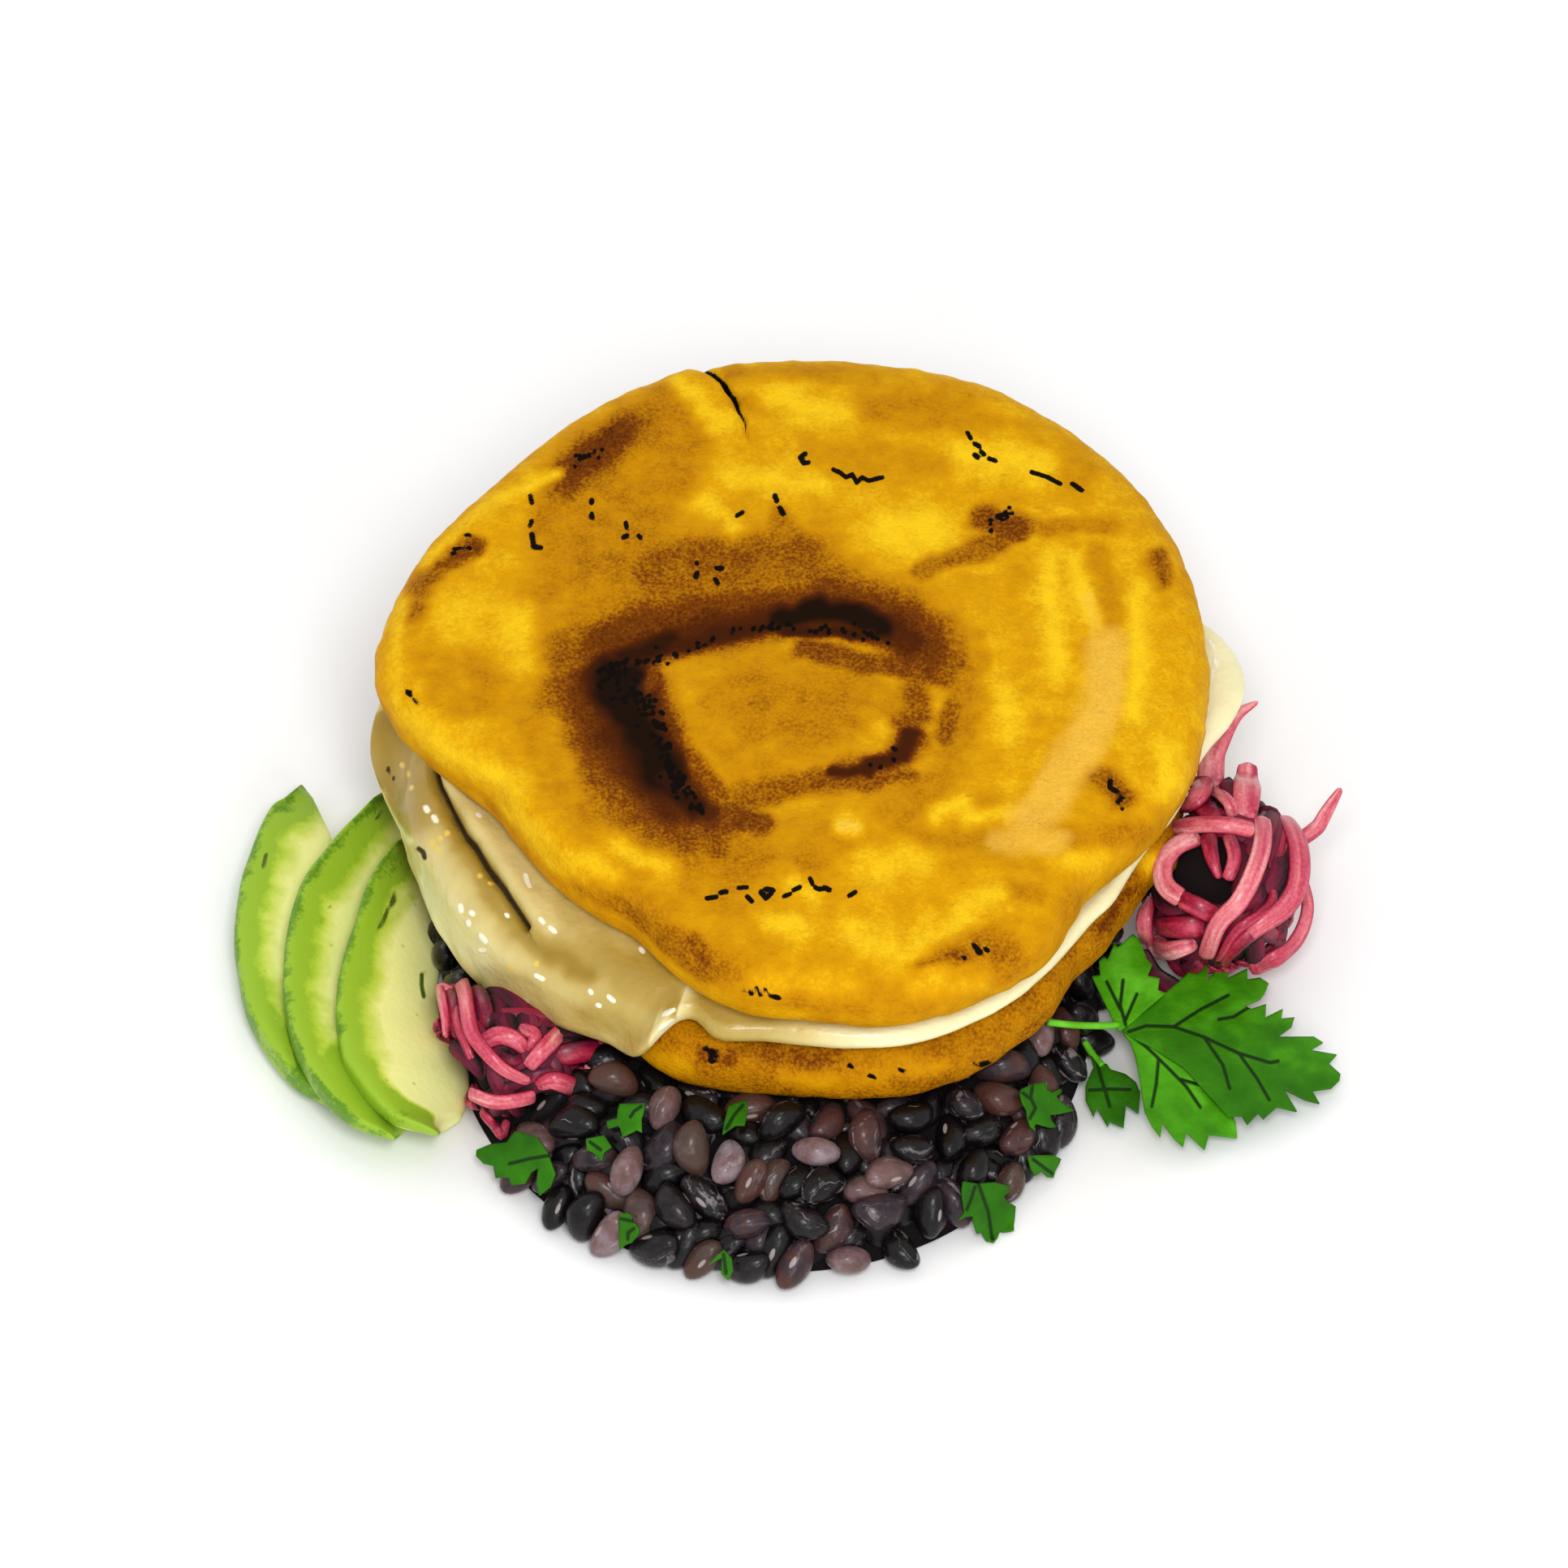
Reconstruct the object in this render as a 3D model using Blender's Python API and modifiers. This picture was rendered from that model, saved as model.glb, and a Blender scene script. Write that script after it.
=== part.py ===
"""Arepa with melted cheese, resting on a mound of black beans among pickled onion, avocado and coriander.

Metres, +Z up, -Y towards the eater, +X to the eater's right. The origin is on the table under the
middle of the arepa. Bearings are degrees round the arepa seen from above, 0 at +X and 90 at +Y.
"""

import math
import random

import bmesh
import bpy
from mathutils import Matrix, Vector, noise
from mathutils.bvhtree import BVHTree

PART = "arepa"
MILLIMETRE = 0.001
GAP = 0.0003
CUT_CLEARANCE = 0.0004
WELD = 0.00002
SHARP_ANGLE = math.radians(40.0)

# Arepa: two corn cakes with cheese between them, on one leaning stack
STACK_HEIGHT = 0.020
STACK_LEAN = math.radians(4.0)
BOTTOM_THICKNESS = 0.0125
CHEESE_ROOM = 0.0065
TOP_THICKNESS = 0.0135
TOP_STEPS = 50
TOP_RINGS = 5
BOTTOM_STEPS = 40
BOTTOM_RINGS = 2
CHEESE_STEPS = 44
RIM_DEPTH = 0.0085
RIM_POINTS = 7
RIM_BULGE = 0.9
RIM_SHOULDER = 0.8
RIM_PULL = 3
BOTTOM_MIDDLE = BOTTOM_THICKNESS / 2
CHEESE_MIDDLE = BOTTOM_THICKNESS + CHEESE_ROOM / 2
TOP_MIDDLE = BOTTOM_THICKNESS + CHEESE_ROOM + TOP_THICKNESS / 2

# Outlines: a mean radius, then swellings as bearing, half width in degrees and height
TOP_RADIUS = 0.0698
TOP_SWELLINGS = ((48, 60, 0.0032), (267, 23, -0.0046), (326, 24, -0.0035), (130, 26, -0.0022), (320, 14, -0.0018), (145, 34, -0.0026))
TOP_DENT = 0.0164
TOP_DENT_BEARINGS = (174, 207, 239, 268)
BOTTOM_RADIUS = 0.0664
BOTTOM_SWELLINGS = ((291, 28, 0.0034), (318, 8, -0.0014), (330, 22, -0.0022), (344, 5, 0.0020), (60, 60, 0.0012))
BOTTOM_DENT = 0.0060
BOTTOM_DENT_BEARINGS = (168, 190, 238, 256)
EDGE_RIPPLE = 0.0005
EDGE_WAVES = 3.0

# Relief on the top cake: a burnt ring pressed in round a raised middle, open towards the right
RING_MIDDLE = (-0.005, -0.0085)
RING_HALF = (0.0260, 0.0180)
RING_WIDTH = 0.30
RING_DEPTH = 0.0014
RING_OPENING = (318, 42)
CROWN = 0.0012
LUMP_HEIGHT = 0.0006
LUMP_SIZE = 0.022
LUMP_SEED = 3.0
CRACK_RIM = (-0.0176, 0.0700)
CRACK_END = (-0.0066, 0.0496)
CRACK_BOW = 0.0022
CRACK_DEPTH = 0.0032
CRACK_WIDTH = 0.0011

# Cheese: a slab that shows all round, a tongue on the right and a flap that falls over the bottom cake
CHEESE_THICKNESS = 0.0055
CHEESE_RADIUS = 0.0680
CHEESE_SWELLINGS = (
    (267, 22, -0.0040), (312, 18, -0.0014), (338, 14, -0.0025), (325, 22, -0.0030), (10, 19, 0.0094),
    (98, 22, 0.0024), (160, 16, -0.0016), (254.5, 6, -0.0049),
)
CHEESE_FLAT = 0.050
CHEESE_STATIONS = (0.0, 0.30, 0.58, 0.90)
CHEESE_TIP_THIN = 0.72
FLAP_BEARINGS = (170, 187, 242, 253)
FLAP_FALL = math.radians(86)
FLAP_SHOULDER = 0.0054
FLAP_BEND = 0.0066
FLAP_LENGTH = 0.0290
FLAP_SHORTER = 0.0080
FLAP_SHORTENING = (215, 245)
FLAP_LOBE = 0.0011
FLAP_LOBE_BEARING = (169, 12)

# Mound of beans: its bare core, and the beans fused on it
MOUND_MIDDLE = (-0.003, -0.022)
MOUND_HALF = (0.0545, 0.0670)
MOUND_SQUARENESS = 2.2
MOUND_RISE = 0.0220
MOUND_STEPS = 26
MOUND_SHARES = (0.0, 0.62, 0.78, 0.90, 0.97, 1.0)
MOUND_LUMPS = 0.0009
MOUND_LUMP_SIZE = 0.013
MOUND_LUMP_SEED = 7.0
MOUND_FLATNESS = 2.6
MOUND_STEEPNESS = 0.62
MOUND_FOOT = 0.12
BEAN_SIZE = (0.0096, 0.0063, 0.0053)
BEAN_SIDES = 6
BEAN_RINGS = 4
BEAN_SPREAD = 0.12
BEAN_TIP = 25.0
BEAN_BAND = (0.42, 1.0)
BEAN_REST = 0.62
BEAN_BEND = 0.0010
BEAN_COUNT = 98
BEAN_TRIES = 3000
BEAN_SPACING = 0.0084
BEAN_PROUD = 0.0014
BEAN_SINKING = (0.0, 0.0009, 0.0018)
BEAN_TOP = 0.0041
BEAN_ROOM = 1.09
BEAN_SEED = 11

# Avocado slices, from the outside in: middle, length, bow of the near and far halves, roll and turn
SLICE_WIDTH = 0.0172
SLICE_THICK = (0.0078, 0.0040)
SLICE_SIDES = 10
SLICE_RINGS = 11
SLICE_FULLNESS = 0.40
SLICE_TAPER = (0.16, 0.10)
SLICE_CORNERS = (0.62, 0.50)
SLICE_END_THICK = 1.25
SLICES = (
    ((-0.0806, -0.0180), 0.0715, (0.0084, 0.0034), 3.0, -1.0),
    ((-0.0712, -0.0220), 0.0745, (0.0098, 0.0090), 17.0, 2.0),
    ((-0.0622, -0.0280), 0.0672, (0.0104, 0.0104), 21.0, 5.0),
)

# Pickled onion: each pile is a small core under strips, given as its middle and half sizes
STRIP_THICK = 0.0014
STRIP_STEPS = 6
STRIP_END = 0.5
STRIP_STEP = 0.02
PILE_SIDES = 9
PILE_RINGS = 6
PILE_CORE = 0.84
RIGHT_PILE = ((0.0724, -0.0158, 0.0158), (0.0145, 0.0178, 0.0155))
RIGHT_STRIP = 0.0042
LEFT_PILE = ((-0.0452, -0.0485, 0.0110), (0.0160, 0.0145, 0.0105))
LEFT_STRIP = 0.0029

# The eater looks down at this angle; strips are laid out in the millimetres that they see, right and
# up from the pile's middle, each as start, middle and end with a lift off the pile as a share of it
LOOK_DOWN = math.radians(48.0)
EATER = Vector((0.0, -math.cos(LOOK_DOWN), math.sin(LOOK_DOWN)))
SEEN_RIGHT = Vector((1.0, 0.0, 0.0))
SEEN_UP = Vector((0.0, math.sin(LOOK_DOWN), math.cos(LOOK_DOWN)))
RIGHT_STRIPS = (
    ((-4.5, 11.5, -0.2), (0.6, 22.0, 0.1), (5.9, 30.2, 0.1)),
    ((2.0, 5.0, -0.2), (4.2, 13.5, 0.1), (4.8, 19.6, 0.1)),
    ((-10.0, 9.0, -0.2), (-1.5, 10.4, 0.24), (7.0, 8.2, -0.2)),
    ((-7.0, 9.5, -0.2), (-9.6, 1.2, 0.16), (0.0, -6.4, -0.2)),
    ((-1.4, 9.8, -0.2), (0.2, 4.4, 0.1), (1.2, -2.4, -0.2)),
    ((6.2, 11.5, -0.2), (5.4, -1.0, 0.16), (-3.4, -13.0, -0.2)),
    ((9.5, 13.0, -0.2), (13.4, -1.0, 0.12), (1.0, -13.6, -0.2)),
    ((8.4, 5.0, -0.2), (7.4, -5.0, 0.24), (-1.0, -12.6, -0.2)),
    ((11.0, -2.5, -0.2), (15.2, 5.0, 0.1), (19.0, 13.1, 0.1)),
    ((13.0, 1.5, -0.2), (12.4, -9.0, 0.1), (3.0, -15.6, -0.2)),
    ((-12.6, 0.0, -0.2), (-12.8, -8.5, 0.1), (-5.0, -13.4, -0.2)),
    ((-12.0, -0.5, -0.2), (-6.0, -5.4, 0.14), (0.5, -8.0, -0.2)),
    ((-12.0, -11.0, -0.2), (-8.6, -14.6, 0.1), (-3.0, -13.2, -0.2)),
    ((-9.8, -4.4, -0.2), (-6.0, -9.6, 0.1), (-1.6, -14.0, -0.2)),
    ((-8.0, 13.0, -0.2), (2.0, 15.2, 0.1), (9.0, 9.0, -0.2)),
)
LEFT_STRIPS = (
    ((-12.0, 12.6, -0.2), (-13.6, 7.0, 0.1), (-10.6, 0.4, -0.2)),
    ((-11.0, 13.0, -0.2), (-7.6, 2.4, 0.2), (4.0, -6.4, -0.2)),
    ((-12.0, 8.0, -0.2), (-10.8, 3.0, 0.1), (-8.4, -3.4, -0.2)),
    ((-8.6, 3.4, -0.2), (-7.6, -2.2, 0.2), (-5.0, -7.6, -0.2)),
    ((-9.5, -7.2, -0.2), (-3.0, -9.9, 0.2), (4.4, -8.0, -0.2)),
    ((-7.5, -7.5, -0.2), (-4.4, -12.8, 0.1), (-1.5, -16.0, 0.1)),
    ((9.0, 5.4, -0.2), (5.4, -0.2, 0.2), (1.2, -5.4, -0.2)),
    ((-5.5, -0.6, -0.2), (-1.0, 3.6, 0.2), (3.0, -1.6, -0.2)),
    ((5.0, 2.4, -0.2), (12.0, 1.4, 0.1), (17.0, -0.6, 0.1)),
    ((8.0, 0.6, -0.2), (14.0, -5.0, 0.1), (16.8, -11.0, 0.1)),
    ((2.6, -3.4, -0.2), (7.0, -8.8, 0.2), (12.0, -2.6, -0.2)),
    ((-4.0, 9.5, -0.2), (4.0, 6.4, 0.1), (11.0, 6.8, -0.2)),
)

# On the side away from the eater the strips lie at random
BACK_STRIPS = 3
BACK_SEED = 5

# Coriander: blades with toothed edges, on stalks, and the chopped scraps on the beans
LEAF_THICK = 0.0006
LEAF_FOLD = 0.10
LEAF_WAVE = 0.0008
LEAF_DROOP = 0.10
TOOTH_DEPTH = 0.26
STALK_RADIUS = 0.0006
BLADE_ROOT = 0.0008
SPRIG_FORK = (0.0552, -0.0435, 0.0105)
SPRIG_STALK_END = (0.0432, -0.0470, 0.0152)
# Blades by bearing, pitch, length, width, broadest share of the length and teeth a side
SPRIG_BLADES = (
    (86, 10, 0.0172, 0.0112, 0.42, 3),
    (-7, -9, 0.0375, 0.0300, 0.40, 5),
    (-52, -16, 0.0255, 0.0165, 0.50, 4),
)
SMALL_LEAF_BASE = (0.0525, -0.0470, 0.0042)
SMALL_LEAF_STALK_END = (0.0495, -0.0425, 0.0052)
SMALL_LEAF_BLADE = (-78, -10, 0.0125, 0.0105, 0.45, 3)
# Scraps by their place on the bare mound, bearing, length and width
SCRAPS = (
    ((-0.0420, -0.0675), -12, 0.0145, 0.0100),
    ((-0.0255, -0.0680), 28, 0.0078, 0.0062),
    ((-0.0300, -0.0705), 6, 0.0066, 0.0044),
    ((-0.0085, -0.0700), 62, 0.0070, 0.0048),
    ((-0.0250, -0.0810), 82, 0.0080, 0.0044),
    ((-0.0100, -0.0850), 75, 0.0060, 0.0036),
    ((0.0405, -0.0580), -30, 0.0092, 0.0074),
    ((0.0392, -0.0655), -10, 0.0056, 0.0040),
    ((0.0302, -0.0755), -50, 0.0118, 0.0086),
)
SCRAP_LIFT = 0.0005


def turn(bearing, other):
    """Signed degrees from one bearing to another, the short way round."""
    return (bearing - other + 180.0) % 360.0 - 180.0


def swell(offset, reach):
    """1 in the middle of a swelling, easing to 0 at its reach."""
    return 0.5 + 0.5 * math.cos(math.pi * min(abs(offset) / reach, 1.0))


def ramp(value, start, end):
    """0 up to the start, 1 past the end, eased between them."""
    share = min(max((value - start) / (end - start), 0.0), 1.0)
    return share * share * (3.0 - 2.0 * share)


def window(bearing, bearings):
    """1 between the middle two bearings, easing to 0 at the outer two."""
    opens, full, fades, closes = bearings
    return ramp(bearing, opens, full) * (1.0 - ramp(bearing, fades, closes))


def outline(bearing, radius, swellings, dent=0.0, dent_bearings=(0, 1, 2, 3)):
    """Radius of a cake or of the cheese at a bearing."""
    total = radius - dent * window(bearing, dent_bearings)
    for middle, reach, height in swellings:
        total += height * swell(turn(bearing, middle), reach)
    angle = math.radians(bearing)
    spot = Vector((math.cos(angle), math.sin(angle), radius / MILLIMETRE)) * EDGE_WAVES
    return total + EDGE_RIPPLE * noise.noise(spot)


def bearing_of(point):
    return math.degrees(math.atan2(point.y, point.x)) % 360.0


def top_radius(bearing):
    return outline(bearing, TOP_RADIUS, TOP_SWELLINGS, TOP_DENT, TOP_DENT_BEARINGS)


def bottom_radius(bearing):
    return outline(bearing, BOTTOM_RADIUS, BOTTOM_SWELLINGS, BOTTOM_DENT, BOTTOM_DENT_BEARINGS)


def finish_material(name, colour, roughness):
    """A food surface: its colour and roughness, and no metal."""
    made = bpy.data.materials.new(name)
    made.use_nodes = True
    shader = made.node_tree.nodes["Principled BSDF"]
    shader.inputs["Base Color"].default_value = (*colour, 1.0)
    shader.inputs["Roughness"].default_value = roughness
    shader.inputs["Metallic"].default_value = 0.0
    return made


def new_object(name, mesh, collection, material=None):
    made = bpy.data.objects.new(name, mesh)
    collection.objects.link(made)
    if material:
        mesh.materials.append(material)
    return made


def applied(obj):
    """Gives the object the mesh that its modifiers make, and removes the modifiers."""
    graph = bpy.context.evaluated_depsgraph_get()
    graph.update()
    mesh = bpy.data.meshes.new_from_object(obj.evaluated_get(graph))
    obj.modifiers.clear()
    obj.data = mesh
    return obj


def turned(name, profile, steps, collection, material):
    """A solid turned from a half outline that runs from the middle of the top to that of the base."""
    mesh = bpy.data.meshes.new(name)
    edges = [(i, i + 1) for i in range(len(profile) - 1)]
    mesh.from_pydata([(radius, 0.0, height) for radius, height in profile], edges, [])
    made = new_object(name, mesh, collection, material)
    screw = made.modifiers.new("turned", "SCREW")
    screw.steps = steps
    screw.render_steps = steps
    screw.use_merge_vertices = True
    screw.merge_threshold = 0.0001
    return applied(made)


def move_points(obj, place):
    for vertex in obj.data.vertices:
        vertex.co = place(vertex.co)
    obj.data.update()


def clean(mesh):
    """Welds stray doubles and keeps only the largest of the loose pieces that cutting leaves."""
    work = bmesh.new()
    work.from_mesh(mesh)
    bmesh.ops.remove_doubles(work, verts=work.verts, dist=WELD)
    bmesh.ops.dissolve_degenerate(work, edges=work.edges, dist=WELD)
    bmesh.ops.triangulate(work, faces=work.faces)
    pieces = []
    left = set(work.verts)
    while left:
        front = [left.pop()]
        piece = set(front)
        while front:
            for edge in front.pop().link_edges:
                for vertex in edge.verts:
                    if vertex not in piece:
                        piece.add(vertex)
                        front.append(vertex)
        left -= piece
        pieces.append(piece)
    largest = max(pieces, key=len)
    scraps = [vertex for piece in pieces if piece is not largest for vertex in piece]
    bmesh.ops.delete(work, geom=scraps, context="VERTS")
    work.to_mesh(mesh)
    work.free()


def grown(obj, distance, collection):
    """A cutter of the object's shape, moved out along its normals."""
    cutter = new_object(obj.name + "_room", obj.data.copy(), collection)
    cutter.matrix_world = obj.matrix_world.copy()
    for vertex in cutter.data.vertices:
        vertex.co = vertex.co + vertex.normal * distance
    cutter.hide_render = True
    cutter.display_type = "WIRE"
    return cutter


def cut(obj, cutters, solver="EXACT"):
    """Cuts room for its neighbours out of an object."""
    for cutter in cutters:
        boolean = obj.modifiers.new(cutter.name, "BOOLEAN")
        boolean.operation = "DIFFERENCE"
        boolean.object = cutter
        boolean.solver = solver
    applied(obj)
    clean(obj.data)
    return obj


def fused(core, pieces, solver="EXACT"):
    """Joins the objects of a collection to the core as one closed body, and removes them."""
    boolean = core.modifiers.new("fused", "BOOLEAN")
    boolean.operation = "UNION"
    boolean.operand_type = "COLLECTION"
    boolean.collection = pieces
    boolean.solver = solver
    applied(core)
    clean(core.data)
    for piece in list(pieces.objects):
        bpy.data.objects.remove(piece, do_unlink=True)
    bpy.data.collections.remove(pieces)
    return core


def loose_collection(name):
    made = bpy.data.collections.new(name)
    bpy.context.scene.collection.children.link(made)
    return made


def cake_profile(radius, thickness, rings):
    """Half outline of a cake: level faces and a rim rounded like a worn pebble."""
    flat = radius - RIM_DEPTH
    half = thickness / 2
    top = [(flat * ring / rings, half) for ring in range(rings + 1)]
    rim = []
    for point in range(1, RIM_POINTS + 1):
        angle = math.pi * point / (RIM_POINTS + 1)
        out = math.sin(angle) ** RIM_BULGE
        up = math.copysign(abs(math.cos(angle)) ** RIM_SHOULDER, math.cos(angle))
        rim.append((flat + RIM_DEPTH * out, half * up))
    return top + rim + [(flat, -half), (0.0, -half)]


def shaped_to(co, radius, wanted):
    """Moves a point of a round cake out or in, so that the rim follows the wanted outline."""
    reach = math.hypot(co.x, co.y)
    if reach < 1e-6:
        return co.copy()
    share = min(reach / radius, 1.0)
    moved = reach + (wanted - radius) * share ** RIM_PULL
    return Vector((co.x * moved / reach, co.y * moved / reach, co.z))


def lumps(x, y, size, seed):
    return noise.noise(Vector((x / size, y / size, seed)))


def top_relief(x, y):
    """Height of the baked face over a level one."""
    across = (x - RING_MIDDLE[0]) / RING_HALF[0]
    along = (y - RING_MIDDLE[1]) / RING_HALF[1]
    ring = math.exp(-((math.hypot(across, along) - 1.0) / RING_WIDTH) ** 2)
    facing = math.degrees(math.atan2(along, across))
    closed = 1.0 - swell(turn(facing, RING_OPENING[0]), RING_OPENING[1])
    crown = CROWN * (1.0 - (math.hypot(x, y) / TOP_RADIUS) ** 2)
    return crown - RING_DEPTH * ring * closed + LUMP_HEIGHT * lumps(x, y, LUMP_SIZE, LUMP_SEED)


def place_top(co):
    placed = shaped_to(co, TOP_RADIUS, top_radius(bearing_of(co)))
    if placed.z > 0.0:
        placed.z += top_relief(placed.x, placed.y) * placed.z / (TOP_THICKNESS / 2)
    return placed


def place_bottom(co):
    placed = shaped_to(co, BOTTOM_RADIUS, bottom_radius(bearing_of(co)))
    return placed


def crack_cutter(collection):
    """An upright wedge along the line where the rim has split and folded over."""
    mesh = bpy.data.meshes.new("crack")
    work = bmesh.new()
    bmesh.ops.create_cube(work, size=1.0)
    bmesh.ops.subdivide_edges(
        work, edges=[e for e in work.edges if abs(e.verts[0].co.y - e.verts[1].co.y) > 0.5],
        cuts=3, use_grid_fill=True)
    rim, end = (Vector((*place, 0.0)) for place in (CRACK_RIM, CRACK_END))
    way = (rim - end).normalized()
    side = Vector((way.y, -way.x, 0.0))
    for vertex in work.verts:
        share = vertex.co.y + 0.5
        wide = CRACK_WIDTH * (0.25 + 0.75 * share) * vertex.co.x
        bow = CRACK_BOW * math.sin(math.pi * share)
        foot = TOP_THICKNESS / 2 - CRACK_DEPTH * (0.4 + 0.6 * share)
        height = foot if vertex.co.z < 0.0 else TOP_THICKNESS
        narrow = 0.3 if vertex.co.z < 0.0 else 2.2
        vertex.co = end.lerp(rim, share) + side * (wide * narrow + bow) + Vector((0.0, 0.0, height))
    work.normal_update()
    bmesh.ops.recalc_face_normals(work, faces=work.faces)
    work.to_mesh(mesh)
    work.free()
    cutter = new_object("crack", mesh, collection)
    cutter.hide_render = True
    cutter.display_type = "WIRE"
    return cutter


def on_stack(obj, stack, height):
    obj.parent = stack
    obj.location = (0.0, 0.0, height)


def make_stack(collection):
    stack = bpy.data.objects.new("stack", None)
    collection.objects.link(stack)
    stack.location = (0.0, 0.0, STACK_HEIGHT)
    stack.rotation_euler = (STACK_LEAN, 0.0, 0.0)
    return stack


def make_top_cake(parts, cutters, stack):
    baked = finish_material("baked_corn_top", (0.78, 0.40, 0.01), 0.55)
    profile = cake_profile(TOP_RADIUS, TOP_THICKNESS, TOP_RINGS)
    cake = turned("top_cake", profile, TOP_STEPS, parts, baked)
    move_points(cake, place_top)
    cut(cake, [crack_cutter(cutters)])
    on_stack(cake, stack, TOP_MIDDLE)
    return cake


def make_bottom_cake(parts, stack):
    baked = finish_material("baked_corn_bottom", (0.72, 0.36, 0.01), 0.6)
    profile = cake_profile(BOTTOM_RADIUS, BOTTOM_THICKNESS, BOTTOM_RINGS)
    cake = turned("bottom_cake", profile, BOTTOM_STEPS, parts, baked)
    move_points(cake, place_bottom)
    on_stack(cake, stack, BOTTOM_MIDDLE)
    return cake


def cheese_profile():
    """Half outline of the cheese laid flat, in shares of its length past the level middle."""
    half = CHEESE_THICKNESS / 2
    top = [(CHEESE_FLAT * (1.0 + share), half) for share in CHEESE_STATIONS]
    base = [(radius, -height) for radius, height in reversed(top)]
    return [(0.0, half)] + top + [(CHEESE_FLAT * 2.0, 0.0)] + base + [(0.0, -half)]


def fallen(along, shoulder, fall):
    """Reach and drop of a sheet that bends past a shoulder, and its lean there."""
    if along < shoulder:
        return along, 0.0, 0.0
    lean = min((along - shoulder) / FLAP_BEND, fall)
    rest = along - shoulder - FLAP_BEND * lean
    reach = shoulder + FLAP_BEND * math.sin(lean) + rest * math.cos(lean)
    drop = FLAP_BEND * (1.0 - math.cos(lean)) + rest * math.sin(lean)
    return reach, drop, lean


def place_cheese(co):
    """Lays a point of the flat cheese on the stack, with the flap fallen over the side."""
    radius = math.hypot(co.x, co.y)
    if radius <= CHEESE_FLAT * 1.001:
        return Vector((co.x, co.y, co.z))
    bearing = bearing_of(co)
    flap = window(bearing, FLAP_BEARINGS)
    level = outline(bearing, CHEESE_RADIUS, CHEESE_SWELLINGS) - CHEESE_FLAT
    hanging = FLAP_LENGTH - FLAP_SHORTER * ramp(bearing, *FLAP_SHORTENING)
    share = radius / CHEESE_FLAT - 1.0
    lobe = FLAP_LOBE * swell(turn(bearing, FLAP_LOBE_BEARING[0]), FLAP_LOBE_BEARING[1])
    length = level + (hanging + lobe - level) * flap
    reach, drop, lean = fallen(length * share, FLAP_SHOULDER + lobe, FLAP_FALL * flap)
    across = co.z * (1.0 - (1.0 - CHEESE_TIP_THIN) * share)
    out = CHEESE_FLAT + reach + across * math.sin(lean)
    up = across * math.cos(lean) - drop
    angle = math.radians(bearing)
    return Vector((out * math.cos(angle), out * math.sin(angle), up))


def make_cheese(parts, stack, rooms):
    melted = finish_material("melted_cheese", (0.80, 0.66, 0.30), 0.3)
    cheese = turned("cheese_filling", cheese_profile(), CHEESE_STEPS, parts, melted)
    move_points(cheese, place_cheese)
    on_stack(cheese, stack, CHEESE_MIDDLE)
    bpy.context.view_layer.update()
    return cut(cheese, rooms)


def mound_share(x, y):
    """0 at the middle of the mound, 1 at its foot."""
    across = abs((x - MOUND_MIDDLE[0]) / MOUND_HALF[0]) ** MOUND_SQUARENESS
    along = abs((y - MOUND_MIDDLE[1]) / MOUND_HALF[1]) ** MOUND_SQUARENESS
    return (across + along) ** (1.0 / MOUND_SQUARENESS)


def mound_height(x, y):
    """Top of the bare core: a steep-sided dome, level where the arepa lies on it."""
    share = min(mound_share(x, y), 1.0)
    dome = MOUND_RISE * (1.0 - share ** MOUND_FLATNESS) ** MOUND_STEEPNESS
    dome += MOUND_LUMPS * lumps(x, y, MOUND_LUMP_SIZE, MOUND_LUMP_SEED) * ramp(1.0 - share, 0.0, MOUND_FOOT)
    under_arepa = STACK_HEIGHT + y * math.tan(STACK_LEAN) - CUT_CLEARANCE
    return max(min(dome, under_arepa), 0.0)


def mound_normal(x, y):
    step = 0.001
    slope_x = (mound_height(x + step, y) - mound_height(x - step, y)) / (2 * step)
    slope_y = (mound_height(x, y + step) - mound_height(x, y - step)) / (2 * step)
    return Vector((-slope_x, -slope_y, 1.0)).normalized()


def place_mound(co):
    """Takes a point of a disc of radius 1 to the mound, its top face up and its base level."""
    radius = math.hypot(co.x, co.y)
    if radius < 1e-6:
        x, y = MOUND_MIDDLE
    else:
        ways = (abs(co.x) ** MOUND_SQUARENESS + abs(co.y) ** MOUND_SQUARENESS) ** (1 / MOUND_SQUARENESS)
        x = MOUND_MIDDLE[0] + MOUND_HALF[0] * co.x * radius / ways
        y = MOUND_MIDDLE[1] + MOUND_HALF[1] * co.y * radius / ways
    return Vector((x, y, mound_height(x, y) if co.z > 0.0 else 0.0))


def make_mound_core(parts):
    cooked = finish_material("black_beans", (0.020, 0.012, 0.014), 0.3)
    profile = [(share, 1.0) for share in MOUND_SHARES[:-1]] + [(1.0, 0.0), (0.0, 0.0)]
    core = turned("black_beans", profile, MOUND_STEPS, parts, cooked)
    move_points(core, place_mound)
    return core


def bean_mesh(name):
    """A kidney of few sides, lying along X."""
    mesh = bpy.data.meshes.new(name)
    work = bmesh.new()
    bmesh.ops.create_uvsphere(work, u_segments=BEAN_SIDES, v_segments=BEAN_RINGS, radius=0.5)
    work.transform(Matrix.Rotation(math.radians(90), 4, "Y"))
    for vertex in work.verts:
        bend = BEAN_BEND * (4.0 * vertex.co.x ** 2 - 0.5)
        vertex.co = Vector([size * along for size, along in zip(BEAN_SIZE, vertex.co)])
        vertex.co.y += bend
    work.to_mesh(mesh)
    work.free()
    return mesh


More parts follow.
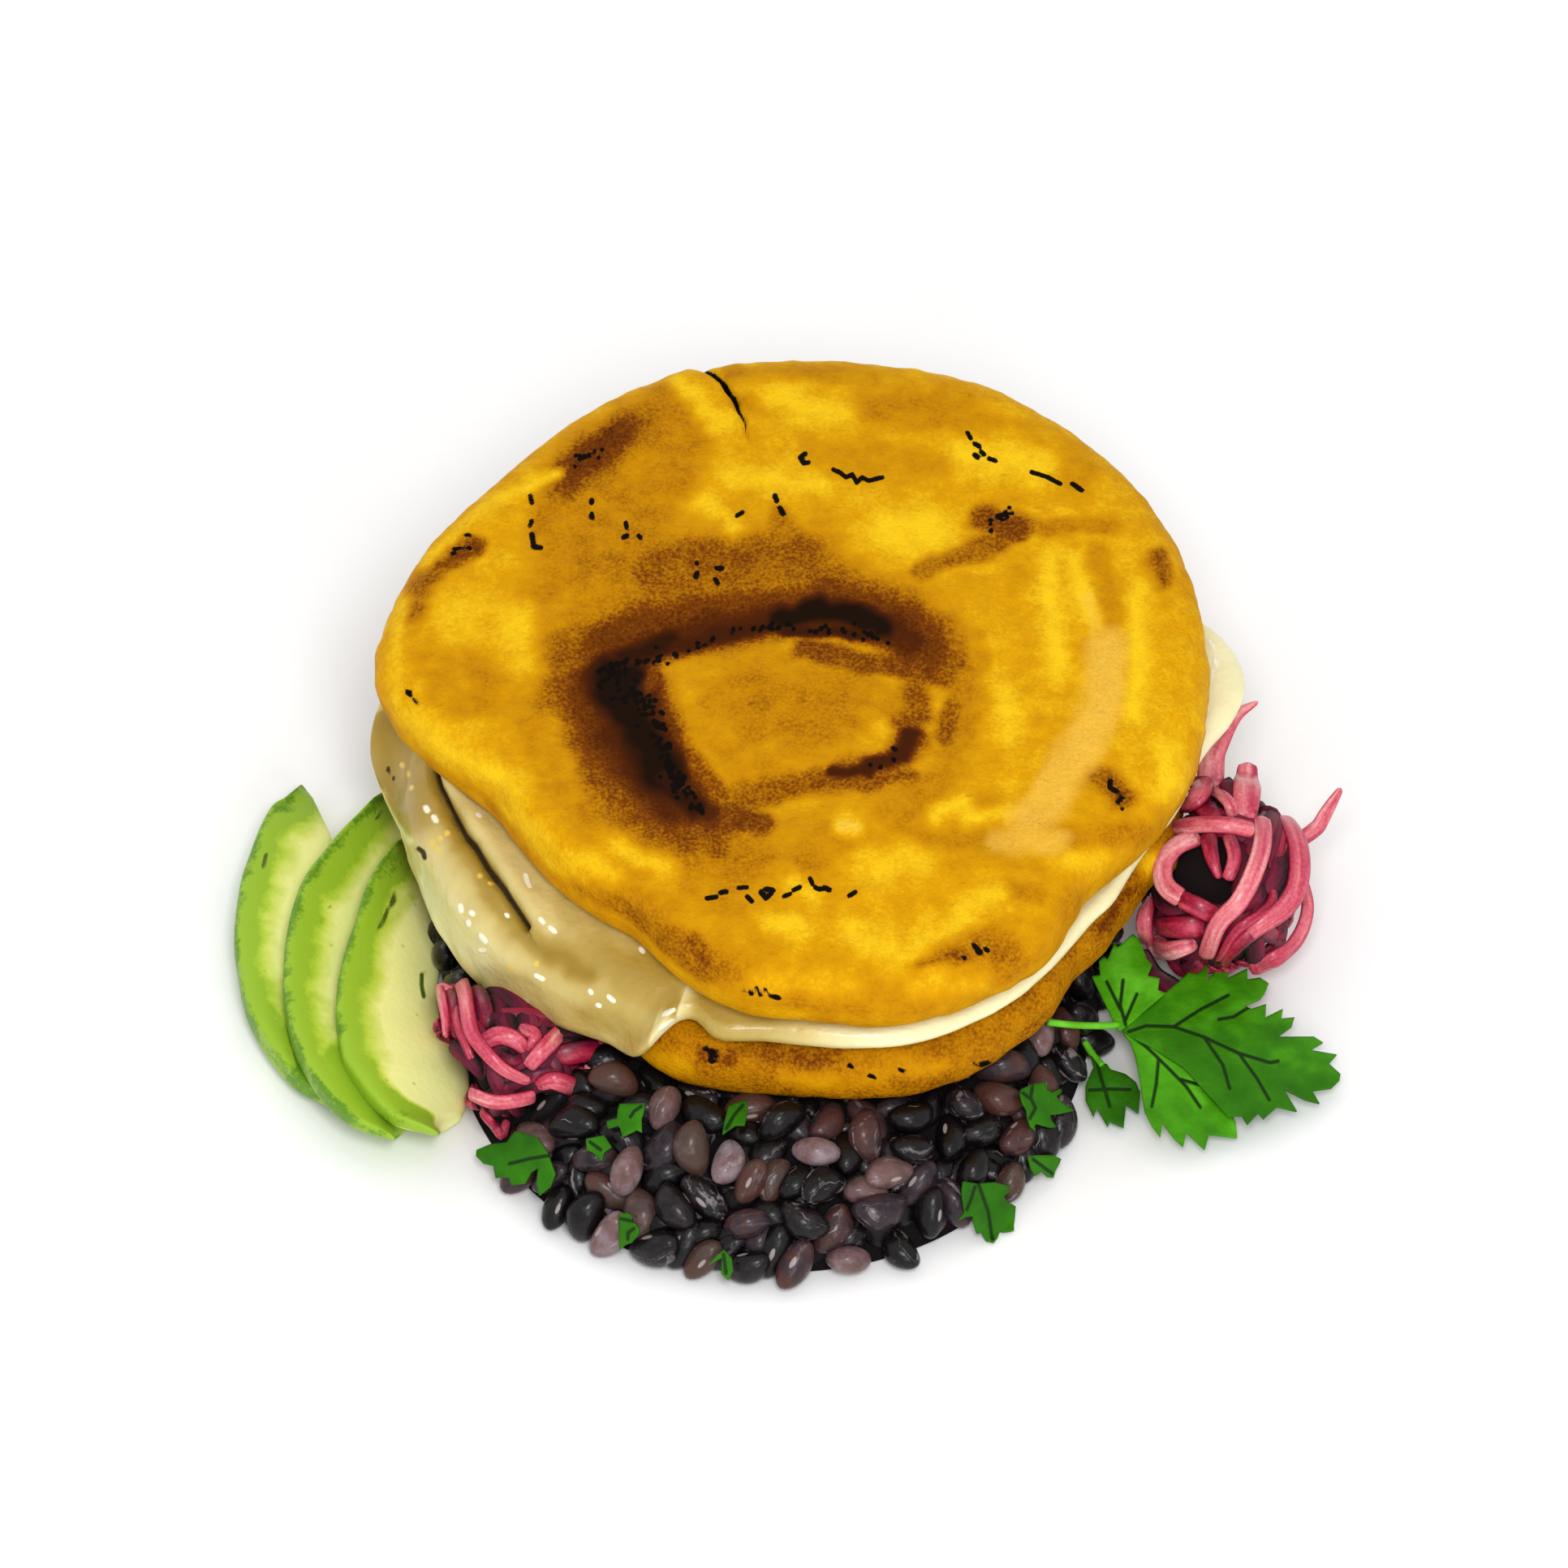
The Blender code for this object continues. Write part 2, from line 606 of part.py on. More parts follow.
def resting_matrix(spot, normal, yaw, tip, scale):
    """Stands a piece on a slope, turned about the slope's normal and tipped a little."""
    side = normal.orthogonal().normalized()
    along = normal.cross(side)
    frame = Matrix((side, along, normal)).transposed().to_4x4()
    turned_round = Matrix.Rotation(yaw, 4, "Z") @ Matrix.Rotation(tip, 4, "X")
    return Matrix.Translation(spot) @ frame @ turned_round @ Matrix.Scale(scale, 4)


def tree_of(mesh, matrix):
    points = [matrix @ vertex.co for vertex in mesh.vertices]
    return BVHTree.FromPolygons(points, [tuple(face.vertices) for face in mesh.polygons])


def clear_bean(mesh, spot, normal, yaw, tip, scale, trees):
    """The highest place on the mound where a bean touches nothing else, or None."""
    for sinking in BEAN_SINKING:
        lowered = spot - normal * sinking
        matrix = resting_matrix(lowered, normal, yaw, tip, scale)
        room = tree_of(mesh, matrix @ Matrix.Scale(BEAN_ROOM, 4))
        above = min((matrix @ vertex.co).z for vertex in mesh.vertices) > GAP
        if above and not any(room.overlap(tree) for tree in trees):
            return matrix
    return None


def fuse_beans(core, neighbours):
    """Spreads beans over the mound, largest first, and fuses those that clear its neighbours."""
    draw = random.Random(BEAN_SEED)
    trees = [tree_of(other.data, other.matrix_world) for other in neighbours]
    mesh = bean_mesh("bean")
    pieces = loose_collection("beans_to_fuse")
    sizes = sorted((1.0 + BEAN_SPREAD * draw.uniform(-1, 1) for _ in range(BEAN_TRIES)), reverse=True)
    placed = []
    for scale in sizes:
        share = math.sqrt(draw.uniform(*BEAN_BAND))
        angle = draw.uniform(0.0, 2 * math.pi)
        yaw = draw.uniform(0.0, math.pi)
        tip = math.radians(draw.uniform(-BEAN_TIP, BEAN_TIP))
        x = MOUND_MIDDLE[0] + MOUND_HALF[0] * share * math.cos(angle)
        y = MOUND_MIDDLE[1] + MOUND_HALF[1] * share * math.sin(angle)
        normal = mound_normal(x, y)
        spot = Vector((x, y, mound_height(x, y))) + normal * BEAN_PROUD
        spot.z = max(spot.z, BEAN_SIZE[1] * BEAN_REST)
        if len(placed) == BEAN_COUNT or any((spot - other).length < BEAN_SPACING for other in placed):
            continue
        matrix = clear_bean(mesh, spot, normal, yaw, tip, scale, trees)
        if matrix is None:
            continue
        bean = new_object("bean", mesh, pieces)
        bean.matrix_world = matrix
        placed.append(spot)
    bpy.context.view_layer.update()
    return fused(core, pieces)


def make_slice(number, parts):
    """One wedge of avocado on its side: the rind edge outward and thick, the stone side thin."""
    middle, length, bows, roll, yaw = SLICES[number]
    flesh = finish_material(f"avocado_{number + 1}", (0.58, 0.66, 0.16), 0.45)
    mesh = bpy.data.meshes.new(f"avocado_slice_{number + 1}")
    outer, inner = SLICE_THICK
    work = bmesh.new()
    bmesh.ops.create_uvsphere(work, u_segments=SLICE_SIDES, v_segments=SLICE_RINGS, radius=1.0)
    for vertex in work.verts:
        round_x, round_z, end = vertex.co
        girth = max(1.0 - end * end, 0.0) ** SLICE_FULLNESS
        girth *= 1.0 - SLICE_TAPER[0] * end - SLICE_TAPER[1] * end * end
        angle = math.atan2(round_z, round_x)
        side = math.copysign(abs(math.cos(angle)) ** SLICE_CORNERS[0], math.cos(angle))
        face = math.copysign(abs(math.sin(angle)) ** SLICE_CORNERS[1], math.sin(angle))
        thick = (inner + (outer - inner) * (0.5 - 0.5 * side)) / 2
        bow = bows[0] * 0.5 - bows[1 if end > 0.0 else 0] * end * end
        x = SLICE_WIDTH / 2 * side * girth - bow
        vertex.co = Vector((x, length / 2 * end, thick * face * min(girth * SLICE_END_THICK, 1.0)))
    work.normal_update()
    bmesh.ops.recalc_face_normals(work, faces=work.faces)
    work.transform(Matrix.Rotation(math.radians(roll), 4, "Y"))
    work.transform(Matrix.Rotation(math.radians(yaw), 4, "Z"))
    lowest = min(vertex.co.z for vertex in work.verts)
    work.transform(Matrix.Translation((0.0, 0.0, -lowest)))
    work.to_mesh(mesh)
    work.free()
    made = new_object(mesh.name, mesh, parts, flesh)
    made.location = (*middle, 0.0)
    return made


def on_pile(pile, seen_right, seen_up, lift, side):
    """The point of a pile, or of its outline, that the eater sees at a place, or the point behind it."""
    middle, half = (Vector(part) for part in pile)
    across = (SEEN_RIGHT * seen_right + SEEN_UP * seen_up) * MILLIMETRE
    flat = Vector([a / h for a, h in zip(across, half)])
    towards = Vector([a / h for a, h in zip(EATER, half)])
    size = towards.dot(towards)
    nearest = -flat.dot(towards) / size
    beside = flat + towards * nearest
    level = 1.0 + lift
    if lift < 0.0 and beside.length > level:
        beside *= level / beside.length
    depth = math.sqrt(max(level ** 2 - beside.dot(beside), 0.0) / size)
    placed = beside + towards * depth * side
    return middle + Vector([p * h for p, h in zip(placed, half)])


def along_strip(pile, row, share, side):
    """A point on the even curve through a strip's start, middle and end."""
    weights = ((1 - share) * (1 - 2 * share), 4 * share * (1 - share), share * (2 * share - 1))
    right, up, lift = (sum(w * p for w, p in zip(weights, column)) for column in zip(*row))
    return on_pile(pile, right, up, lift, side)


def make_strip(pile, row, strip_width, side, pieces):
    """A strip of onion curled over the pile: a flat ribbon with a thickness."""
    mesh = bpy.data.meshes.new("strip")
    work = bmesh.new()
    bmesh.ops.create_grid(work, x_segments=STRIP_STEPS, y_segments=1, size=0.5)
    middle = Vector(pile[0])
    for vertex in work.verts:
        share = vertex.co.x + 0.5
        here = along_strip(pile, row, share, side)
        ahead, behind = (along_strip(pile, row, share + step, side) for step in (STRIP_STEP, -STRIP_STEP))
        along = ahead - behind
        across = along.cross(here - middle).normalized()
        width = strip_width * (STRIP_END + (1.0 - STRIP_END) * math.sin(math.pi * share) ** 0.5)
        vertex.co = here + across * width * vertex.co.y
    work.to_mesh(mesh)
    work.free()
    made = new_object("strip", mesh, pieces)
    skin = made.modifiers.new("thickness", "SOLIDIFY")
    skin.thickness = STRIP_THICK
    skin.offset = 0.0
    return applied(made)


def back_rows(draw, pile):
    """Strips laid at random over the side of a pile away from the eater."""
    wide, tall = pile[1][0] / MILLIMETRE, pile[1][2] / MILLIMETRE
    for strip in range(BACK_STRIPS):
        start = (wide * draw.uniform(-0.8, 0.8), tall * draw.uniform(0.5, 0.9), -0.2)
        end = (wide * draw.uniform(-0.8, 0.8), tall * draw.uniform(-0.5, 0.1), -0.2)
        middle = ((start[0] + end[0]) / 2, (start[1] + end[1]) / 2, 0.16)
        yield start, middle, end


def make_pile(name, pile, rows, strip_width, parts, rooms, draw):
    """A small rounded core with strips of pickled onion fused on it, cut clear of its neighbours."""
    pickled = finish_material(name, (0.62, 0.07, 0.14), 0.3)
    mesh = bpy.data.meshes.new(name)
    work = bmesh.new()
    bmesh.ops.create_uvsphere(work, u_segments=PILE_SIDES, v_segments=PILE_RINGS, radius=PILE_CORE)
    middle, half = pile
    for vertex in work.verts:
        foot = (middle[2] - GAP) / PILE_CORE
        deep = half[2] if vertex.co.z > 0.0 else foot
        vertex.co = Vector(middle) + Vector([h * c for h, c in zip((half[0], half[1], deep), vertex.co)])
    work.to_mesh(mesh)
    work.free()
    made = new_object(name, mesh, parts, pickled)
    pieces = loose_collection(name + "_strips")
    for row in rows:
        make_strip(pile, row, strip_width, 1.0, pieces)
    for row in back_rows(draw, pile):
        make_strip(pile, row, strip_width, -1.0, pieces)
    bpy.context.view_layer.update()
    fused(made, pieces, "MANIFOLD")
    return cut(made, rooms, "MANIFOLD")


def blade_sheet(bearing, pitch, length, width, broadest, teeth):
    """A leaf blade as a sheet of triangles, from its base at the origin to its tip."""
    work = bmesh.new()
    steps = 2 * teeth + 1
    bmesh.ops.create_grid(work, x_segments=steps, y_segments=2, size=0.5)
    power = math.log(0.5) / math.log(broadest)
    for vertex in work.verts:
        station = round((vertex.co.x + 0.5) * steps)
        share = station / steps
        notch = 1.0 - TOOTH_DEPTH * ((station + 1) % 2)
        swelling = math.sin(math.pi * share ** power) ** 0.8 if 0 < station < steps else 0.0
        half = width * max(swelling * notch, 0.05)
        ahead = (0.9 / steps) * (station % 2) * abs(vertex.co.y) * min(swelling, 1.0)
        x = length * (share + ahead * (1.0 if station < steps else 0.0))
        y = half * vertex.co.y
        wave = LEAF_WAVE * math.sin(5.0 * share + 9.0 * vertex.co.y) * swelling
        vertex.co = Vector((x, y, LEAF_FOLD * abs(y) + wave - LEAF_DROOP * length * share * share))
    bmesh.ops.triangulate(work, faces=work.faces)
    work.transform(Matrix.Rotation(math.radians(-pitch), 4, "Y"))
    work.transform(Matrix.Rotation(math.radians(bearing), 4, "Z"))
    return work


def make_blade(name, row, matrix, collection):
    """A blade with its thickness, placed by a matrix."""
    mesh = bpy.data.meshes.new(name)
    work = blade_sheet(*row)
    work.transform(matrix)
    work.to_mesh(mesh)
    work.free()
    made = new_object(name, mesh, collection)
    skin = made.modifiers.new("thickness", "SOLIDIFY")
    skin.thickness = LEAF_THICK
    skin.offset = 0.0
    return applied(made)


def make_stalk(name, start, end, collection):
    """A thin stalk with a slight sag, as a closed mesh."""
    curve = bpy.data.curves.new(name, "CURVE")
    curve.dimensions = "3D"
    curve.bevel_depth = STALK_RADIUS
    curve.bevel_resolution = 0
    curve.use_fill_caps = True
    spline = curve.splines.new("POLY")
    spline.points.add(2)
    middle = (Vector(start) + Vector(end)) / 2 - Vector((0.0, 0.0, STALK_RADIUS))
    for point, place in zip(spline.points, (Vector(start), middle, Vector(end))):
        point.co = (*place, 1.0)
    bent = new_object(name, curve, collection)
    graph = bpy.context.evaluated_depsgraph_get()
    graph.update()
    mesh = bpy.data.meshes.new_from_object(bent.evaluated_get(graph))
    bpy.data.objects.remove(bent, do_unlink=True)
    work = bmesh.new()
    work.from_mesh(mesh)
    bmesh.ops.remove_doubles(work, verts=work.verts, dist=WELD)
    bmesh.ops.recalc_face_normals(work, faces=work.faces)
    work.to_mesh(mesh)
    work.free()
    return new_object(name, mesh, collection)


def make_leaf(name, blades, base, stalk_end, parts):
    """Blades that meet at the end of a stalk, joined as one thin solid."""
    green = finish_material(name, (0.07, 0.30, 0.01), 0.45)
    leaf = make_stalk(name, base, stalk_end, parts)
    leaf.data.materials.append(green)
    pieces = loose_collection(name + "_blades")
    for number, blade in enumerate(blades):
        back = math.radians(blade[0])
        root = Vector((-BLADE_ROOT * math.cos(back), -BLADE_ROOT * math.sin(back), number * LEAF_THICK * 0.3))
        make_blade("blade", blade, Matrix.Translation(Vector(base) + root), pieces)
    bpy.context.view_layer.update()
    return fused(leaf, pieces)


def make_scrap(number, parts):
    """A chopped scrap of leaf, lying on the beans square to the mound's slope."""
    (x, y), bearing, length, width = SCRAPS[number]
    green = finish_material(f"coriander_scrap_{number + 1}", (0.05, 0.24, 0.01), 0.45)
    normal = mound_normal(x, y)
    spot = Vector((x, y, mound_height(x, y))) + normal * (BEAN_TOP + SCRAP_LIFT)
    lean = Vector((0.0, 0.0, 1.0)).rotation_difference(normal).to_matrix().to_4x4()
    back = Matrix.Translation((-length / 2 * math.cos(math.radians(bearing)),
                               -length / 2 * math.sin(math.radians(bearing)), 0.0))
    row = (bearing, 0, length, width, 0.5, 2)
    scrap = make_blade(f"coriander_scrap_{number + 1}", row, Matrix.Translation(spot) @ lean @ back, parts)
    lowest = min(vertex.co.z for vertex in scrap.data.vertices)
    scrap.location.z = max(GAP - lowest, 0.0)
    scrap.data.materials.append(green)
    return scrap


def table_cutter(cutters):
    """Everything below the table's level."""
    mesh = bpy.data.meshes.new("table")
    work = bmesh.new()
    bmesh.ops.create_cube(work, size=0.4)
    work.transform(Matrix.Translation((0.0, 0.0, -0.2)))
    work.to_mesh(mesh)
    work.free()
    made = new_object("table", mesh, cutters)
    made.hide_render = True
    made.display_type = "WIRE"
    return made


def main():
    for obj in list(bpy.data.objects):
        bpy.data.objects.remove(obj, do_unlink=True)
    parts = loose_collection(PART)
    cutters = loose_collection("cutters")
    stack = make_stack(parts)
    top = make_top_cake(parts, cutters, stack)
    bottom = make_bottom_cake(parts, stack)
    bpy.context.view_layer.update()
    cheese = make_cheese(parts, stack, [grown(bottom, CUT_CLEARANCE, cutters)])
    slices = []
    for number in range(len(SLICES)):
        made = make_slice(number, parts)
        bpy.context.view_layer.update()
        if slices:
            cut(made, [grown(slices[-1], CUT_CLEARANCE, cutters)])
        slices.append(made)
    core = make_mound_core(parts)
    bpy.context.view_layer.update()
    cut(core, [grown(slices[-1], CUT_CLEARANCE, cutters)])
    arepa_rooms = [grown(obj, CUT_CLEARANCE, cutters) for obj in (top, bottom, cheese)]
    around = [table_cutter(cutters), *arepa_rooms, grown(core, CUT_CLEARANCE, cutters),
              grown(slices[-1], CUT_CLEARANCE, cutters)]
    draw = random.Random(BACK_SEED)
    piles = [
        make_pile("pickled_onion_right", RIGHT_PILE, RIGHT_STRIPS, RIGHT_STRIP, parts, around, draw),
        make_pile("pickled_onion_left", LEFT_PILE, LEFT_STRIPS, LEFT_STRIP, parts, around, draw),
    ]
    leaves = [
        make_leaf("coriander_sprig", SPRIG_BLADES, SPRIG_FORK, SPRIG_STALK_END, parts),
        make_leaf("coriander_leaf", [SMALL_LEAF_BLADE], SMALL_LEAF_BASE, SMALL_LEAF_STALK_END, parts),
        *(make_scrap(number, parts) for number in range(len(SCRAPS))),
    ]
    bpy.context.view_layer.update()
    fuse_beans(core, [top, bottom, cheese, *slices, *piles, *leaves])
    for obj in parts.objects:
        if obj.type == "MESH":
            obj.data.shade_smooth()
            obj.data.set_sharp_from_angle(angle=SHARP_ANGLE)


main()
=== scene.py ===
import math
import random

import bmesh
import bpy
import numpy as np
from mathutils import Matrix, Vector, noise
from mathutils.bvhtree import BVHTree
from mathutils.geometry import delaunay_2d_cdt


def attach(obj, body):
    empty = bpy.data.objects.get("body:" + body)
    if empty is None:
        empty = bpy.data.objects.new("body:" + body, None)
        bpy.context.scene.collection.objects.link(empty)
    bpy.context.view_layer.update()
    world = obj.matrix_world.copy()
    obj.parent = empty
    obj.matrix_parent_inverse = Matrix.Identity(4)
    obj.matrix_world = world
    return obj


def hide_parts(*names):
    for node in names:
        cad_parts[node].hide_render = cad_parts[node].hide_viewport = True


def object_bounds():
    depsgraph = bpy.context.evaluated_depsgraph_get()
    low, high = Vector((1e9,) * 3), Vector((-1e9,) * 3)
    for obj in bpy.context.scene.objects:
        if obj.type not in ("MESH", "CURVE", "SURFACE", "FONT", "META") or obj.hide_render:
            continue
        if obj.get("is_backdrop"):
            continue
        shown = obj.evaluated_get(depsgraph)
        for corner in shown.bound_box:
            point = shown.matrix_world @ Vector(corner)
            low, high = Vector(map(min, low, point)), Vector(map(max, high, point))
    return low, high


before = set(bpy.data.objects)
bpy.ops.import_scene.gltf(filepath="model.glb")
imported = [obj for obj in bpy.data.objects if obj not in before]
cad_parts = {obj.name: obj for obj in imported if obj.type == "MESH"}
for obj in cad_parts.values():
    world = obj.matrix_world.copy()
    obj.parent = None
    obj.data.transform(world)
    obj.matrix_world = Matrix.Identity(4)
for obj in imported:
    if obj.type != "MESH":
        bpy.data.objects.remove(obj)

CAD_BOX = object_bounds()

bl_info = {
    "name": "Arepa with black beans",
    "version": (1, 0, 0),
    "blender": (4, 5, 0),
    "location": "3D View > Sidebar > Arepa",
    "description": "Two corn cakes with melted cheese on black beans, with onion, avocado and coriander",
    "category": "Object",
}

# Metres, +Z up, -Y towards the eater, +X to the eater's right. Bearings are degrees, 0 at +X.
MILLIMETRE = 0.001
ABOVE_TABLE = 0.0003

# Noise layers hold the size of their bumps, a seed and their height. Steps count the points that a form
# is made of.

# The arepa, as in the solids: two cakes and the cheese on one leaning stack. Swellings hold a bearing,
# their reach to both sides and a height. An edge holds how wide it is rough, and its noise.
STACK_HEIGHT = 0.020
STACK_LEAN = math.radians(4.0)
BOTTOM_THICKNESS = 0.0125
CHEESE_ROOM = 0.0065
TOP_THICKNESS = 0.0135
BOTTOM_MIDDLE = BOTTOM_THICKNESS / 2
CHEESE_MIDDLE = BOTTOM_THICKNESS + CHEESE_ROOM / 2
TOP_MIDDLE = BOTTOM_THICKNESS + CHEESE_ROOM + TOP_THICKNESS / 2
RIM_DEPTH = 0.0085
RIM_BULGE = 0.9
RIM_SHOULDER = 0.8
RIM_PULL = 3
TOP_RADIUS = 0.0698
TOP_SWELLINGS = (
    (48, 60, 0.0032), (267, 23, -0.0046), (326, 24, -0.0035), (130, 26, -0.0022), (320, 14, -0.0018),
    (145, 34, -0.0026),
)
TOP_DENT = 0.0164
TOP_DENT_BEARINGS = (174, 207, 239, 268)
BOTTOM_RADIUS = 0.0664
BOTTOM_SWELLINGS = (
    (291, 28, 0.0034), (318, 8, -0.0014), (330, 22, -0.0022), (344, 5, 0.0020), (60, 60, 0.0012),
)
BOTTOM_DENT = 0.0060
BOTTOM_DENT_BEARINGS = (168, 190, 238, 256)
TOP_STEPS = (256, 16, 4)
BOTTOM_STEPS = (120, 20, 5)
EDGE_RIPPLE = 0.0005
EDGE_WAVES = 3.0
RING_MIDDLE = (-0.005, -0.0085)
RING_HALF = (0.0260, 0.0180)
RING_WIDTH = 0.30
RING_DEPTH = 0.0014
RING_OPENING = (318, 42)
CROWN = 0.0012
LUMP_HEIGHT = 0.0006
LUMP_SIZE = 0.022
CRACK_RIM = (-0.0176, 0.0700)
CRACK_END = (-0.0066, 0.0496)
CRACK_BOW = 0.0022
CRACK_DEPTH = 0.0030
CRACK_WIDTH = 0.0007
CRACK_WAVES = ((0.003, 9.0, 0.0004),)
CRACK_FOLD = 0.0011
CRACK_CHAR = 0.0016
TOP_BUMPS = ((0.0075, 5.0, 0.00032), (0.0030, 6.0, 0.00022), (0.0014, 7.0, 0.00010))
TOP_EDGE = (0.014, ((0.0042, 8.0, 0.00038), (0.0020, 8.5, 0.00015)))
BOTTOM_EDGE = (0.012, ((0.0055, 21.0, 0.00045), (0.0024, 22.0, 0.00022)))
EDGE_SOUND = 0.002

# How far the crust is baked: a level and its noise. The rim adds to it all round as browning, in front as
# painted shade that darkens the near rim, and behind as painted light that makes the far rim paler.
TOP_BAKE = (0.175, ((0.012, 11.0, 0.05), (0.005, 11.5, 0.035)))
UNDER_BAKE = (0.26, ((0.007, 13.0, 0.10),))
BOTTOM_BAKE = (0.40, ((0.009, 23.0, 0.10), (0.004, 24.0, 0.05)))
FRONT_BAKE = 0.05
RIM_BAKE = (0.01, 0.08, -0.10)
RIM_BAKE_NOISE = ((0.006, 12.0, 0.05),)
RIM_BAND = (0.0045, 0.0005)
FRONT_REACH = (0.015, 0.060)
BACK_REACH = (0.040, 0.062)
BOTTOM_FRONT = 0.016
SPECK_SIZES = (0.76, 0.96)
BOTTOM_SPECK_SIZE = 0.75
CRUST_STIPPLE = ((0.0040, 0.13, 0.30, 0.5), (0.0007, 0.10, 0.11, 0.12), (0.0006, 0.26, 0.52, 0.24))

# Marks wander a little from their drawn lines, and fade between two shares of their half width
MARK_SPREAD = ((0.0065, 1.0, 1.1), (0.0022, 2.0, 0.5))
MARK_RISE = ((0.0065, 3.0, 1.1), (0.0022, 4.0, 0.5))
MARK_EDGE = (0.35, 1.40)

# The cheese. The tip holds the share of the length where it starts and its own share, and the turns the
# degrees between points on the flap and elsewhere. The crease has a groove, a lip on one side and a slump
# on the other, with sizes as seen and heights in metres. The sizes are those of the painted shade along the
# crease, the painted shade in the nicks, the painted highlights and the spots of fat, and the tones those
# of the flap and of the level edge.
CHEESE_THICKNESS = 0.0055
CHEESE_RADIUS = 0.0680
CHEESE_SWELLINGS = (
    (267, 22, -0.0040), (312, 18, -0.0014), (338, 14, -0.0025), (325, 22, -0.0030), (10, 19, 0.0094),
    (98, 22, 0.0024), (160, 16, -0.0016), (254.5, 6, -0.0049),
)
CHEESE_FLAT = 0.050
CHEESE_TIP = (0.86, 0.14)
CHEESE_TIP_THIN = 0.72
CHEESE_TURNS = (0.42, 1.6)
CHEESE_ROWS = (72, 12)
FLAP_BEARINGS = (170, 187, 242, 253)
FLAP_FALL = math.radians(86)
FLAP_SHOULDER = 0.0054
FLAP_BEND = 0.0066
FLAP_LENGTH = 0.0290
FLAP_SHORTER = 0.0080
FLAP_SHORTENING = (215, 245)
FLAP_LOBE = 0.0011
FLAP_LOBE_BEARING = (169, 12)
GROOVE = (0.85, 0.0024)
LIP = (2.2, 2.0, 0.0010)
SLUMP = (3.0, 0.0004)
CHEESE_PUFF = ((0.0125, 31.0, 0.0005), (0.0055, 32.0, 0.00025))
CHEESE_SIZES = (1.4, 0.85, 0.75, 0.80)
CHEESE_TONES = (0.45, 0.90)
CHEESE_TONE_NOISE = ((0.008, 33.0, 0.08),)
SHADED_BEARINGS = (252, 256, 264, 282)
SHADED_TONE = 0.32

# The mound: its core is lower than the arepa by a gap, and sunk under the beans. A bean has a lowest
# middle, a share of its thickness that it keeps clear, and painted shade that darkens it deeper in the heap.
MOUND_MIDDLE = (-0.003, -0.022)
MOUND_HALF = (0.0545, 0.0670)
MOUND_SQUARENESS = 2.2
MOUND_RISE = 0.0220
MOUND_LUMPS = 0.0009
MOUND_LUMP_SIZE = 0.013
MOUND_FLATNESS = 2.6
MOUND_STEEPNESS = 0.62
MOUND_FOOT = 0.12
MOUND_STEPS = 100
CORE_GAP = 0.0004
CORE_SUNK = 0.0006
BEAN_SIZE = (0.0091, 0.0054, 0.0049)
BEAN_BEND = 0.0009
BEAN_SPREAD = 0.12
# Layers: how far a bean's middle stands off the core, how close beans may lie against their thickness,
# how many places are tried, and whether only the foot behind is filled
BEAN_LAYERS = (
    (0.0018, 0.92, 5000, False), (0.0010, 0.80, 5000, False), (0.0, 0.66, 5000, False),
    (-0.0012, 0.56, 5000, False), (-0.0022, 0.46, 4000, False), (0.0, 0.70, 4000, True),
)
BEAN_TIP = 25.0
BEAN_TOP = 0.0041
BEAN_PLUMP = 0.08
BEAN_LOWEST = 0.0031
BEAN_ROOM = 0.92
BEAN_TONES = (0.03, 0.93)
BEAN_SHADE = (-0.003, 0.001)

# Avocado slices: the thickness at the outer and inner edges, the roundness of a slice's ends and corners,
# how broad its face is and a wave of its surface
SLICE_THICK = (0.0078, 0.0040)
SLICE_FULLNESS = 0.40
SLICE_CORNERS = (0.62, 0.50)
SLICE_END_THICK = 1.25
SLICE_BROAD = 15.0
SLICE_STEPS = (88, 130)
SLICE_WAVES = (0.006, 41.0, 0.00012)
TICK_SIZE = 0.7

# The eater looks down at the arepa, and sees places as millimetres right and up from the origin
LOOK_DOWN = math.radians(48.0)
EATER = Vector((0.0, -math.cos(LOOK_DOWN), math.sin(LOOK_DOWN)))
SEEN_RIGHT = Vector((1.0, 0.0, 0.0))
SEEN_UP = Vector((0.0, math.sin(LOOK_DOWN), math.cos(LOOK_DOWN)))

# Pickled onion: the middle and half size of each pile, and two places that its strips keep clear, the dark
# opening in the right one, where the core shows as painted shade, and the end of a slice beside the left
# one. Fillings hold how many strips there are, the range of their tones and their lift at the start, middle
# and end; the front filling is dark, as painted shade in the gaps between the laid strips.
PILE_CORE = 0.74
RIGHT_PILE = ((0.0724, -0.0158, 0.0158), (0.0145, 0.0178, 0.0155))
LEFT_PILE = ((-0.0452, -0.0485, 0.0110), (0.0160, 0.0145, 0.0105))
RIGHT_OPENING = (69.6, 0.8)
LEFT_SIDE = (-58.6, -33.8)
LEFT_CORE_SIDE = 0.66
OPENING_HALF = 6.5
STRIP_CUP = 0.06
STRIP_STEPS = (36, 10)
STRIP_END = 0.05
FRONT_FILLING = (34, (0.05, 0.26), (-0.22, -0.08, -0.22))
BACK_FILLING = (64, (0.20, 0.75), (-0.20, -0.02, -0.20))

# Coriander. A bend holds how far a leaf folds down from its main vein, how far it droops towards its tip
# and how much the light changes across it.
LEAF_THICK = 0.0004
LEAF_PUFF = 0.30
LEAF_WAVE = 0.35
LEAF_DROOP = 0.0008
LEAF_STEP = 0.30
LEAF_EDGE_STEP = 0.5
LEAF_SHADE = 0.012
SCRAP_BEND = (0.13, 0.0, 0.01)
SCRAP_LIGHT = 0.24
STALK_RADIUS = 0.0006
STALK_SAG = 0.0010
STALK_STEPS = (16, 10)
STALK_LIGHT = 0.85
SPRIG_FORK = (0.0552, -0.0435, 0.0105)
SPRIG_STALK_END = (0.0432, -0.0470, 0.0152)
SMALL_LEAF_BASE = (0.0525, -0.0470, 0.0042)
SMALL_LEAF_STALK_END = (0.0495, -0.0425, 0.0052)
